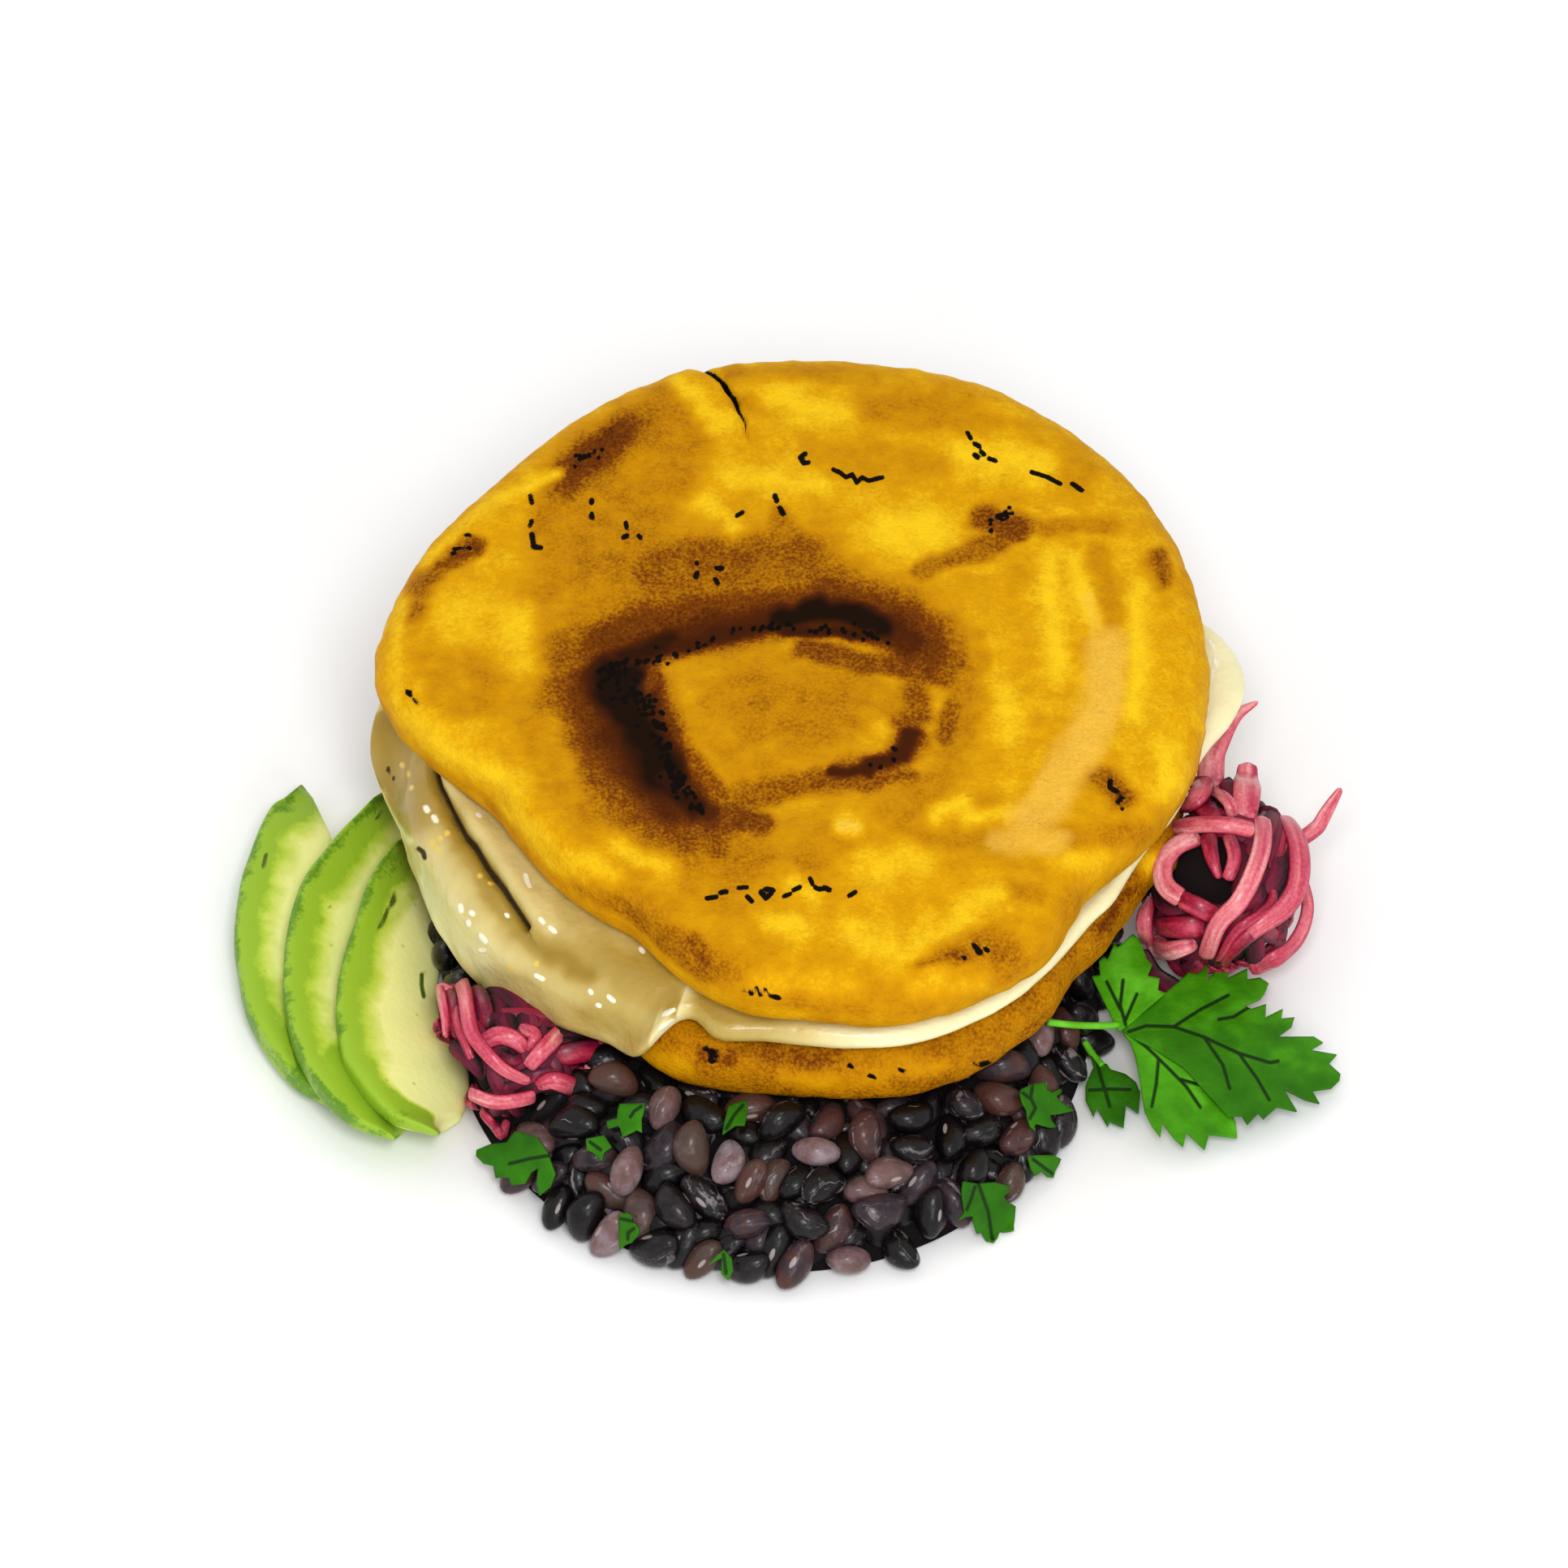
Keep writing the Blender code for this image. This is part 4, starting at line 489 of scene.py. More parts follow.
LEFT_STRIPS = (
    (0.1, (-0.2, -0.02, -0.2), (2.0, 2.8, 1.7), -56.1, -28.6, -53.0, -30.8, -51.0, -33.6),
    (0.3, (-0.15, 0.0, -0.15), (2.5, 2.8, 1.7), -58.0, -15.5, -56.1, -21.3, -54.9, -27.5),
    (0.26, (-0.15, 0.0, -0.15), (2.5, 3.3, 1.7), -52.7, -19.1, -50.5, -22.2, -50.2, -26.1),
    (0.3, (-0.12, 0.04, -0.02), (3.3, 3.6, 0.7), -39.1, -30.8, -35.2, -29.7, -28.2, -28.7),
    (0.62, (-0.1, 0.05, -0.1), (1.7, 2.0, 0.7), -34.3, -28.6, -31.5, -28.6, -28.3, -28.8),
    (0.56, (-0.1, 0.03, -0.1), (1.7, 2.5, 1.7), -44.6, -25.5, -42.1, -26.9, -43.0, -29.7),
    (0.18, (-0.12, 0.03, -0.12), (1.7, 2.0, 1.4), -48.0, -30.3, -45.7, -31.1, -44.1, -30.3),
    (0.6, (-0.1, 0.08, -0.1), (2.2, 3.3, 2.0), -41.8, -35.3, -38.8, -34.4, -34.3, -36.1),
    (0.62, (-0.1, 0.1, -0.08), (2.5, 3.1, 2.2), -51.3, -28.6, -48.3, -26.9, -45.5, -27.5, -43.5, -29.4),
    (0.42, (-0.12, 0.05, -0.12), (1.7, 1.8, 1.4), -55.8, -19.9, -54.9, -24.7, -53.5, -28.6, -51.6, -33.0),
    (0.72, (-0.1, 0.1, -0.1), (1.4, 1.7, 1.1), -58.8, -16.6, -57.9, -19.9, -57.1, -23.8, -56.9, -27.3),
    (0.64, (-0.1, 0.18, -0.06), (2.5, 2.6, 1.7), -56.9, -15.5, -54.2, -18.8, -53.4, -22.5, -52.6, -26.4,
     -49.9, -30.0, -46.9, -32.8, -42.7, -34.7),
    (0.68, (-0.1, 0.14, -0.04), (2.8, 2.9, 2.3), -37.9, -26.4, -40.7, -29.4, -43.2, -32.2),
    (0.34, (-0.08, 0.08, 0.0), (1.4, 1.4, 0.4), -34.9, -32.2, -32.9, -35.3, -29.9, -39.5),
    (0.72, (-0.04, 0.12, 0.02), (2.5, 2.7, 0.8), -33.5, -31.4, -30.7, -34.2, -28.9, -37.2, -28.7, -39.9),
    (0.48, (-0.06, 0.06, -0.04), (1.7, 1.8, 1.4), -51.0, -39.5, -49.1, -41.7, -47.1, -44.6),
    (0.68, (-0.04, 0.14, -0.02), (2.3, 2.5, 2.3), -53.0, -36.5, -49.1, -37.9, -45.7, -37.8, -42.0, -37.0),
)
# Avocado slices, from the outside in: how far the outer edge is lifted, how many rows before the last the
# green band ends, then rows of up, left and right
SLICES = (
    (0.9, 1, (14.4, -82.4, -81.6), (13.0, -83.5, -80.6), (11.2, -85.0, -79.7), (9.9, -87.1, -79.0), (6.6,
     -88.9, -77.4), (2.4, -90.4, -76.0), (-2.5, -91.9, -75.4), (-10.1, -92.8, -75.6), (-15.7, -92.3, -76.2),
     (-23.4, -90.5, -76.6), (-29.7, -86.8, -76.2), (-34.6, -82.6, -75.4), (-37.4, -78.6, -75.4), (-38.4,
     -77.0, -76.3)),
    (5.0, 1, (14.2, -67.2, -65.4), (12.9, -68.6, -63.5), (8.4, -72.7, -62.6), (3.8, -76.9, -62.5), (-3.2,
     -81.8, -65.8), (-10.8, -83.9, -67.8), (-18.5, -84.4, -68.2), (-25.5, -83.5, -67.5), (-31.8, -81.1,
     -66.0), (-37.7, -76.9, -63.8), (-41.6, -72.0, -62.6), (-43.4, -68.0, -63.4), (-44.0, -66.0, -64.8)),
    (6.2, 4, (6.4, -63.8, -62.2), (5.2, -65.0, -60.5), (-0.4, -69.2, -58.5), (-5.2, -71.3, -58.2), (-10.1,
     -72.8, -57.8), (-14.3, -74.2, -58.0), (-19.2, -75.2, -58.6), (-24.1, -75.5, -58.2), (-27.6, -74.9,
     -56.4), (-30.4, -74.4, -54.0), (-32.5, -73.7, -53.3), (-37.4, -69.9, -53.3), (-40.9, -65.8, -54.6),
     (-42.4, -61.6, -56.0), (-43.2, -58.8, -57.4)),
)
# Marks on them: a share of the way in from the outer edge, a half width and the points
AVOCADO_MARKS = (
    (0.14, 3.2, -74.0, -30.8, -70.0, -36.0, -67.0, -37.9),
    (0.14, 2.3, -67.0, -38.2, -63.0, -39.9, -60.4, -41.0),
    (0.1, 1.4, -73.9, -32.5, -69.9, -37.7, -66.3, -40.3, -61.6, -41.9, -58.8, -43.2),
    (0.0, 1.1, -83.1, -26.2, -81.1, -31.8, -77.5, -36.6, -72.6, -40.7),
    (0.04, 0.8, -85.9, -29.7, -79.6, -36.3), (0.05, 1.9, -64.9, 3.5, -66.5, 0.0),
    (0.36, 1.1, -65.3, -6.7, -63.5, -4.2),
)
AVOCADO_TICKS = (
    (-87.7, 3.0, -88.1, 1.0), (-77.2, -5.5, -76.9, -5.5), (-69.1, 9.0, -68.0, 10.5),
    (-64.7, -1.1, -66.5, -5.1, -68.4, -9.3), (-61.3, -16.8, -61.3, -18.9, -60.9, -20.8),
)
# Coriander as outlines and veins, as seen. Sprig and leaf blades: bearing and pitch of the blade, how
# light it is and how far it folds down at the sides.
SPRIG_BLADES = (
    (86, 10, 0.72, 0.1, (55.9, -26.1, 55.1, -26.3, 54.6, -25.5, 52.8, -21.7, 51.5, -19.0, 50.7, -17.3, 52.1,
     -17.1, 51.9, -14.8, 52.7, -14.0, 53.4, -14.5, 54.5, -11.8, 55.1, -12.5, 57.6, -10.3, 58.6, -11.0, 59.9,
     -14.4, 60.8, -15.4, 60.0, -17.2, 62.0, -17.6, 61.7, -19.6, 63.0, -20.1, 59.7, -22.8, 57.1, -25.1),
     ((55.9, -17.9, 55.4, -22.1, 56.3, -25.5), (58.2, -20.2, 56.3, -24.4), (53.2, -18.2, 55.4, -22.8),)),
    (-7, -9, 0.4, 0.12, (55.7, -26.3, 59.7, -22.8, 62.8, -20.2, 65.3, -18.2, 67.4, -16.3, 70.1, -14.2, 70.7,
     -14.4, 69.9, -18.2, 71.2, -16.7, 74.1, -14.8, 73.5, -17.7, 76.8, -16.1, 76.8, -17.9, 78.9, -17.6, 80.4,
     -18.6, 79.7, -20.2, 78.9, -21.1, 76.2, -22.3, 77.4, -22.8, 79.9, -22.0, 79.7, -24.2, 82.7, -22.8, 82.4,
     -24.4, 84.6, -24.2, 84.1, -25.7, 81.6, -27.4, 87.7, -27.4, 89.3, -28.4, 87.1, -29.6, 91.6, -30.4, 90.2,
     -31.9, 92.1, -33.6, 91.9, -34.7, 90.6, -35.9, 87.3, -36.3, 88.5, -38.4, 86.2, -37.8, 82.5, -35.9, 84.7,
     -39.7, 81.4, -38.9, 79.1, -40.9, 78.3, -39.9, 76.4, -41.8, 75.5, -40.3, 73.2, -40.5, 69.7, -36.6, 65.9,
     -32.4, 60.5, -29.0, 56.7, -27.1), ((56.7, -26.5, 59.7, -25.5, 64.3, -25.7, 69.3, -27.4, 75.1, -30.1,
     80.4, -31.7, 81.7, -31.4), (77.0, -22.5, 74.3, -24.1, 71.8, -24.5), (64.3, -25.7, 68.9, -22.8, 73.5,
     -20.5), (75.1, -30.1, 78.1, -34.3, 80.1, -37.8), (69.3, -27.4, 72.4, -32.0, 73.5, -35.9),)),
    (-52, -16, 0.6, 0.1, (55.9, -26.7, 57.1, -28.2, 57.6, -29.7, 58.2, -32.4, 58.9, -36.6, 59.4, -39.7,
     60.5, -42.0, 61.9, -43.9, 62.3, -41.6, 64.3, -44.3, 65.7, -45.5, 66.3, -43.2, 69.3, -46.0, 70.0, -43.5,
     74.7, -44.1, 74.5, -41.6, 73.0, -38.2, 72.0, -38.0, 73.3, -37.0, 72.2, -35.9, 69.3, -34.3, 72.2, -34.0,
     70.1, -32.0, 68.2, -31.0, 70.3, -30.5, 68.6, -30.1, 65.9, -28.8, 63.2, -27.6, 59.7, -26.9), ((56.5,
     -26.6, 59.7, -29.0, 63.2, -32.4, 66.4, -35.7, 68.6, -39.0), (61.7, -30.9, 61.3, -35.1, 60.5, -38.9),
     (65.1, -34.3, 69.3, -35.5, 71.2, -36.6),)),
)
SMALL_LEAF_BLADE = (
    (-78, -10, 0.18, 0.08, (50.5, -30.5, 51.5, -31.7, 53.2, -31.9, 53.8, -32.8, 56.3, -33.6, 58.0, -34.9,
     58.7, -36.6, 58.4, -40.1, 56.3, -38.6, 55.9, -42.4, 53.6, -41.4, 53.2, -42.2, 51.5, -39.1, 50.9, -40.6,
     49.6, -37.8, 49.6, -35.5, 50.2, -34.0, 51.0, -32.2), ((50.2, -36.2, 53.6, -36.0, 57.0, -36.1), (52.8,
     -36.1, 53.6, -38.9), (51.5, -31.3, 52.1, -34.0, 52.8, -36.1),)),
)
# Chopped scraps: the outline and veins of each, as seen
SCRAP_SHAPES = (
    ((-45.2, -42.7, -41.6, -43.8, -39.9, -46.3, -38.6, -49.8, -39.4, -52.0, -41.2, -53.4, -41.7, -51.3,
     -41.4, -48.8, -42.6, -49.6, -43.7, -51.5, -46.0, -51.8, -46.2, -50.5, -48.5, -50.6, -48.9, -48.6,
     -50.5, -48.3, -51.8, -47.0, -51.7, -46.0, -49.4, -45.0, -46.7, -44.7, -46.0, -43.7), ((-46.2, -48.2,
     -42.7, -47.3, -39.4, -46.7),)),
    ((-27.9, -38.2, -23.8, -38.1, -23.8, -39.0, -24.3, -40.8, -24.2, -42.9, -25.1, -42.5, -27.4, -43.7,
     -27.8, -42.2, -28.2, -41.8, -29.8, -42.3, -30.1, -41.2, -29.3, -40.8, -28.3, -40.6, -28.2, -39.2),
     ((-24.2, -38.5, -25.5, -39.4, -26.1, -40.3),)),
    ((-33.5, -44.0, -30.5, -43.4, -29.2, -45.3, -30.5, -46.2, -30.8, -47.7, -32.3, -46.3, -33.3, -45.8),
     ((-32.8, -44.5, -31.0, -45.8),)),
    ((-7.0, -37.6, -6.7, -38.2, -6.8, -40.0, -7.2, -41.7, -8.7, -41.7, -10.9, -43.2, -10.6, -41.4, -10.1,
     -39.4, -9.9, -38.6, -8.5, -38.0), ((-7.5, -38.4, -8.9, -40.0, -10.3, -42.4),)),
    ((-28.1, -56.5, -26.7, -56.1, -26.0, -56.5, -25.7, -57.5, -24.7, -58.7, -24.6, -59.5, -25.9, -61.1,
     -27.0, -61.5, -27.9, -62.3, -28.0, -60.7, -27.9, -57.9), ((-27.7, -57.1, -25.7, -57.5), (-25.5, -58.7,
     -26.5, -59.5, -26.5, -60.5),)),
    ((-10.6, -62.2, -9.3, -63.7, -9.1, -65.7, -9.9, -67.3, -11.1, -66.1, -10.9, -63.5, -13.2, -64.8, -11.8,
     -63.1), ((-10.7, -62.9, -10.3, -66.1),)),
    ((38.8, -35.8, 40.5, -35.0, 42.8, -34.7, 43.0, -36.0, 43.8, -36.4, 45.4, -35.8, 45.4, -36.5, 44.5,
     -37.1, 45.5, -38.1, 47.6, -39.5, 45.4, -40.0, 43.4, -40.2, 43.6, -40.9, 44.5, -42.2, 43.5, -42.3, 41.2,
     -41.6, 40.8, -42.1, 41.0, -42.8, 40.2, -42.0, 39.7, -40.7, 39.6, -39.4, 38.8, -38.0, 38.4, -36.4),
     ((40.5, -35.2, 40.2, -37.3, 41.0, -39.0, 39.9, -40.9), (38.7, -36.3, 40.0, -37.3),)),
    ((39.8, -47.1, 40.9, -46.8, 44.0, -46.8, 45.3, -47.5, 44.9, -48.4, 44.3, -49.5, 44.0, -50.6, 43.2,
     -50.5, 42.1, -49.5, 41.5, -49.9, 41.0, -50.2, 40.3, -49.0), ((40.5, -47.4, 43.8, -49.9),)),
    ((29.0, -51.0, 31.5, -51.4, 34.2, -51.2, 36.9, -51.9, 36.7, -52.8, 35.7, -53.5, 36.3, -54.4, 37.7,
     -55.2, 37.5, -57.8, 37.5, -60.7, 36.3, -60.3, 35.1, -59.5, 34.8, -61.2, 34.1, -62.6, 32.9, -61.0, 32.1,
     -59.5, 31.3, -59.7, 30.8, -58.0, 30.6, -56.8, 29.3, -56.9, 28.1, -57.5, 29.2, -56.1, 28.8, -53.8, 28.8,
     -52.2), ((30.9, -51.8, 30.3, -53.8, 29.5, -55.7), (31.5, -51.5, 33.1, -56.1, 34.0, -62.0),)),
)


# Shape helpers, the same forms as the solids' but finer

def turn(bearing, other):
    """Signed degrees from one bearing to another, the short way round."""
    return (bearing - other + 180.0) % 360.0 - 180.0


def swell(offset, reach):
    """1 in the middle of a swelling, easing to 0 at its reach."""
    return 0.5 + 0.5 * math.cos(math.pi * min(abs(offset) / reach, 1.0))


def ramp(value, start, end):
    """0 up to the start, 1 past the end, eased between them."""
    share = np.clip((value - start) / (end - start), 0.0, 1.0)
    return share * share * (3.0 - 2.0 * share)


def window(bearing, bearings):
    """1 between the middle two bearings, easing to 0 at the outer two."""
    opens, full, fades, closes = bearings
    return ramp(bearing, opens, full) * (1.0 - ramp(bearing, fades, closes))


def outline(bearing, radius, swellings, dent=0.0, dent_bearings=(0, 1, 2, 3)):
    """Radius of a cake or of the cheese at a bearing."""
    total = radius - dent * window(bearing, dent_bearings)
    for middle, reach, height in swellings:
        total += height * swell(turn(bearing, middle), reach)
    angle = math.radians(bearing)
    spot = Vector((math.cos(angle), math.sin(angle), radius / MILLIMETRE)) * EDGE_WAVES
    return total + EDGE_RIPPLE * noise.noise(spot)


def outline_table(radius, swellings, dent=0.0, dent_bearings=(0, 1, 2, 3)):
    """A function that gives the radius for an array of bearings."""
    bearings = np.arange(0.0, 361.0, 0.5)
    radii = np.array([outline(b % 360.0, radius, swellings, dent, dent_bearings) for b in bearings])
    return lambda wanted: np.interp(wanted, bearings, radii)


def bearings_of(points):
    """The bearing of each point."""
    return np.degrees(np.arctan2(points[:, 1], points[:, 0])) % 360.0


def roughened(points, size, seed):
    """Smooth noise between -1 and 1 at each point, with bumps of the given size."""
    scaled = points / size + seed * 7.3
    return np.array([noise.noise(Vector(p)) for p in scaled])


def waves(points, layers):
    """Smooth noise in layers, each with the size of its bumps, a seed and its height."""
    return sum(height * roughened(points, size, seed) for size, seed, height in layers)


def leaned(points, height):
    """Takes points of a level cake to their place on the leaning stack."""
    sine, cosine = math.sin(STACK_LEAN), math.cos(STACK_LEAN)
    level = points[:, 2] + height
    return np.column_stack((
        points[:, 0], points[:, 1] * cosine - level * sine,
        points[:, 1] * sine + level * cosine + STACK_HEIGHT))


def disc_grid(steps):
    """A unit disc as an even grid of squares: its points, faces and edge loop."""
    line = np.linspace(-1.0, 1.0, steps + 1)
    a, b = np.meshgrid(line, line, indexing="ij")
    wide = np.abs(a) > np.abs(b)
    reach = np.where(wide, a, b)
    over = np.where(wide, b, a) / np.where(reach == 0.0, 1.0, reach)
    angle = np.where(wide, math.pi / 4 * over, math.pi / 2 - math.pi / 4 * over)
    points = np.column_stack(((reach * np.cos(angle)).ravel(), (reach * np.sin(angle)).ravel()))
    row = steps + 1
    faces = [(i * row + j, (i + 1) * row + j, (i + 1) * row + j + 1, i * row + j + 1)
             for i in range(steps) for j in range(steps)]
    loop = [i * row for i in range(steps)] + [steps * row + j for j in range(steps)]
    loop += [i * row + steps for i in range(steps, 0, -1)] + [j for j in range(steps, 0, -1)]
    return points, faces, loop


def cake_points(radius, thickness, steps, rim_rings, under_rings):
    """A round cake with a level face and a rim rounded like a worn pebble, and its faces."""
    disc, faces, loop = disc_grid(steps)
    flat = radius - RIM_DEPTH
    half = thickness / 2
    points = [np.column_stack((disc * flat, np.full(len(disc), half)))]
    way = disc[loop]
    last = list(loop)
    count = len(disc)
    rings = []
    for ring in range(1, rim_rings + 1):
        angle = math.pi * ring / (rim_rings + 1)
        out = flat + RIM_DEPTH * math.sin(angle) ** RIM_BULGE
        up = half * math.copysign(abs(math.cos(angle)) ** RIM_SHOULDER, math.cos(angle))
        rings.append((out, up))
    rings += [(flat * (1.0 - ring / (under_rings + 1)), -half) for ring in range(under_rings + 1)]
    for out, up in rings:
        points.append(np.column_stack((way * out, np.full(len(way), up))))
        here = list(range(count, count + len(way)))
        faces += [(last[i - 1], here[i - 1], here[i], last[i]) for i in range(len(way))]
        last = here
        count += len(way)
    points.append(np.array([[0.0, 0.0, -half]]))
    faces += [(last[i - 1], count, last[i]) for i in range(len(way))]
    return np.vstack(points), faces


def shaped_to(points, radius, wanted):
    """Moves points of a round cake out or in, so that the rim follows the wanted outline."""
    reach = np.hypot(points[:, 0], points[:, 1])
    share = np.minimum(reach / radius, 1.0)
    moved = reach + (wanted(bearings_of(points)) - radius) * share ** RIM_PULL
    points[:, :2] *= (moved / np.maximum(reach, 1e-6))[:, None]
    return points


def roughen_rim(points, radius, edge):
    """Roughens the rim of a cake in and out, and gives how far out each point was."""
    width, layers = edge
    reach = np.hypot(points[:, 0], points[:, 1])
    out = waves(points, layers) * ramp(reach, radius - width, radius - EDGE_SOUND)
    points[:, :2] *= (1.0 + out / np.maximum(reach, 1e-4))[:, None]
    return reach


def baked(points, level):
    """The bake of each point before any marks."""
    return level[0] + waves(points, level[1])


def seen(points):
    """Millimetres right and up of each point, as the eater sees them."""
    up = points[:, 1] * SEEN_UP.y + points[:, 2] * SEEN_UP.z
    return points[:, 0] / MILLIMETRE, up / MILLIMETRE


def stroke_reach(right, up, way):
    """Distance of each seen place from the line through a way's points, and its side."""
    nearest = np.full(right.shape, np.inf)
    side = np.zeros(right.shape)
    spots = [(way[i], way[i + 1]) for i in range(0, len(way), 2)]
    for (x0, y0), (x1, y1) in zip(spots, spots[1:] or spots):
        dx, dy = x1 - x0, y1 - y0
        along = np.clip(((right - x0) * dx + (up - y0) * dy) / max(dx * dx + dy * dy, 1e-9), 0.0, 1.0)
        off_x, off_y = right - x0 - along * dx, up - y0 - along * dy
        reach = np.hypot(off_x, off_y)
        side = np.where(reach < nearest, np.sign(dx * off_y - dy * off_x), side)
        nearest = np.minimum(nearest, reach)
    return nearest, side


def painted(level, marks, right, up, soft=False):
    """Lays each mark over a level in turn: soft marks fade out evenly, the others near their edges."""
    for target, half, *way in marks:
        reach = stroke_reach(right, up, way)[0] / half
        weight = np.exp(-reach ** 2) if soft else 1.0 - ramp(reach, *MARK_EDGE)
        level = level + (target - level) * weight
    return level


def wandering(points, right, up):
    """Shifts seen places a little, so that marks get uneven edges."""
    return right + waves(points, MARK_SPREAD), up + waves(points, MARK_RISE)


def dashed(right, up, ways, reach, where):
    """1 on each of the ways, falling to 0 at a reach from it and outside the given places."""
    near = np.max([1.0 - stroke_reach(right, up, way)[0] / reach for way in ways], axis=0)
    return np.where(where, np.maximum(near, 0.0), 0.0)


def top_relief(points):
    """Height of the baked face over a level one."""
    x, y = points[:, 0], points[:, 1]
    across = (x - RING_MIDDLE[0]) / RING_HALF[0]
    along = (y - RING_MIDDLE[1]) / RING_HALF[1]
    ring = np.exp(-((np.hypot(across, along) - 1.0) / RING_WIDTH) ** 2)
    facing = np.degrees(np.arctan2(along, across))
    offset = np.minimum(np.abs(turn(facing, RING_OPENING[0])) / RING_OPENING[1], 1.0)
    closed = 0.5 - 0.5 * np.cos(math.pi * offset)
    crown = CROWN * (1.0 - (np.hypot(x, y) / TOP_RADIUS) ** 2)
    flat = np.column_stack((x, y, np.full(len(x), 3.0 * LUMP_SIZE)))
    lumps = LUMP_HEIGHT * roughened(flat, LUMP_SIZE, 0.0)
    return crown - RING_DEPTH * ring * closed + lumps


def crack_profile(points):
    """How deep the split in the rim is at each point, and which side of it the point is on."""
    rim, end = np.array(CRACK_RIM), np.array(CRACK_END)
    way = (rim - end) / np.linalg.norm(rim - end)
    offset = points[:, :2] - end
    along = offset @ way
    share = np.clip(along / np.linalg.norm(rim - end), 0.0, 1.0)
    side = offset @ np.array((way[1], -way[0])) - CRACK_BOW * np.sin(math.pi * share)
    side += waves(points, CRACK_WAVES)
    within = ramp(along, -0.0015, 0.0010)
    depth = CRACK_DEPTH * (0.25 + 0.75 * share) * within
    depth *= np.exp(-(side / (CRACK_WIDTH * (0.5 + share))) ** 2)
    fold = within * share * np.exp(-(side / 0.006) ** 2) * np.where(side < 0.0, 1.0, -0.35)
    return depth, fold


def even_curve(way, count):
    """Evenly spaced points on a smooth curve through the given ones."""
    ends = np.vstack((2 * way[0] - way[1], way, 2 * way[-1] - way[-2]))
    part = np.linspace(0.0, 1.0, 13)[:-1, None]
    runs = []
    for a, b, c, d in zip(ends, ends[1:], ends[2:], ends[3:]):
        runs.append((2 * b + (c - a) * part + (2 * a - 5 * b + 4 * c - d) * part ** 2
                     + (3 * b - a - 3 * c + d) * part ** 3) / 2)
    fine = np.vstack(runs + [way[-1:]])
    gone = np.concatenate(([0.0], np.cumsum(np.linalg.norm(np.diff(fine, axis=0), axis=1))))
    wanted = np.linspace(0.0, gone[-1], count)
    return np.column_stack([np.interp(wanted, gone, column) for column in fine.T])


# Mesh and material helpers

def mesh_object(name, points, faces, material=None):
    """A smooth shaded object in the scene from points and faces."""
    mesh = bpy.data.meshes.new(name)
    mesh.from_pydata([tuple(p) for p in points], [], faces)
    mesh.validate()
    made = bpy.data.objects.new(name, mesh)
    bpy.context.scene.collection.objects.link(made)
    if material:
        mesh.materials.append(material)
    mesh.shade_smooth()
    return made


def give(obj, **layers):
    """Stores named numbers for the points of a mesh, for its material to read."""
    for name, values in layers.items():
        layer = obj.data.attributes.new(name, "FLOAT", "POINT")
        layer.data.foreach_set("value", np.asarray(values, dtype=np.float32))


def settle(obj, node):
    """Makes a piece part of the model, in place of the node that it stands for."""
    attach(obj, "root")
    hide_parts(node)


def joined(name, pieces, material):
    """One object from several lists of points, faces and named values."""
    points, faces, layers = [], [], {}
    count = 0
    for piece_points, piece_faces, values in pieces:
        points.append(piece_points)
        faces += [tuple(index + count for index in face) for face in piece_faces]
        for key, row in values.items():
            layers.setdefault(key, []).append(np.broadcast_to(row, (len(piece_points),)))
        count += len(piece_points)
    made = mesh_object(name, np.vstack(points), faces, material)
    give(made, **{key: np.concatenate(rows) for key, rows in layers.items()})
    return made


def points_and_faces(work):
    """Points and faces of a working mesh, which is then done with."""
    points = np.array([vertex.co for vertex in work.verts])
    faces = [tuple(vertex.index for vertex in face.verts) for face in work.faces]
    work.free()
    return points, faces


def ball(subdivisions, radius):
    """Points and faces of a ball of triangles."""
    work = bmesh.new()
    bmesh.ops.create_icosphere(work, subdivisions=subdivisions, radius=radius)
    return points_and_faces(work)


def tube_faces(steps, spokes):
    """Faces of a tube with a ring of points at each step, closed at both ends."""
    faces = []
    for start in range(0, steps * spokes, spokes):
        for spoke in range(spokes):
            after = (spoke + 1) % spokes
            faces.append((start + spoke, start + after, start + spokes + after, start + spokes + spoke))
    faces.append(tuple(reversed(range(spokes))))
    faces.append(tuple(range(steps * spokes, (steps + 1) * spokes)))
    return faces


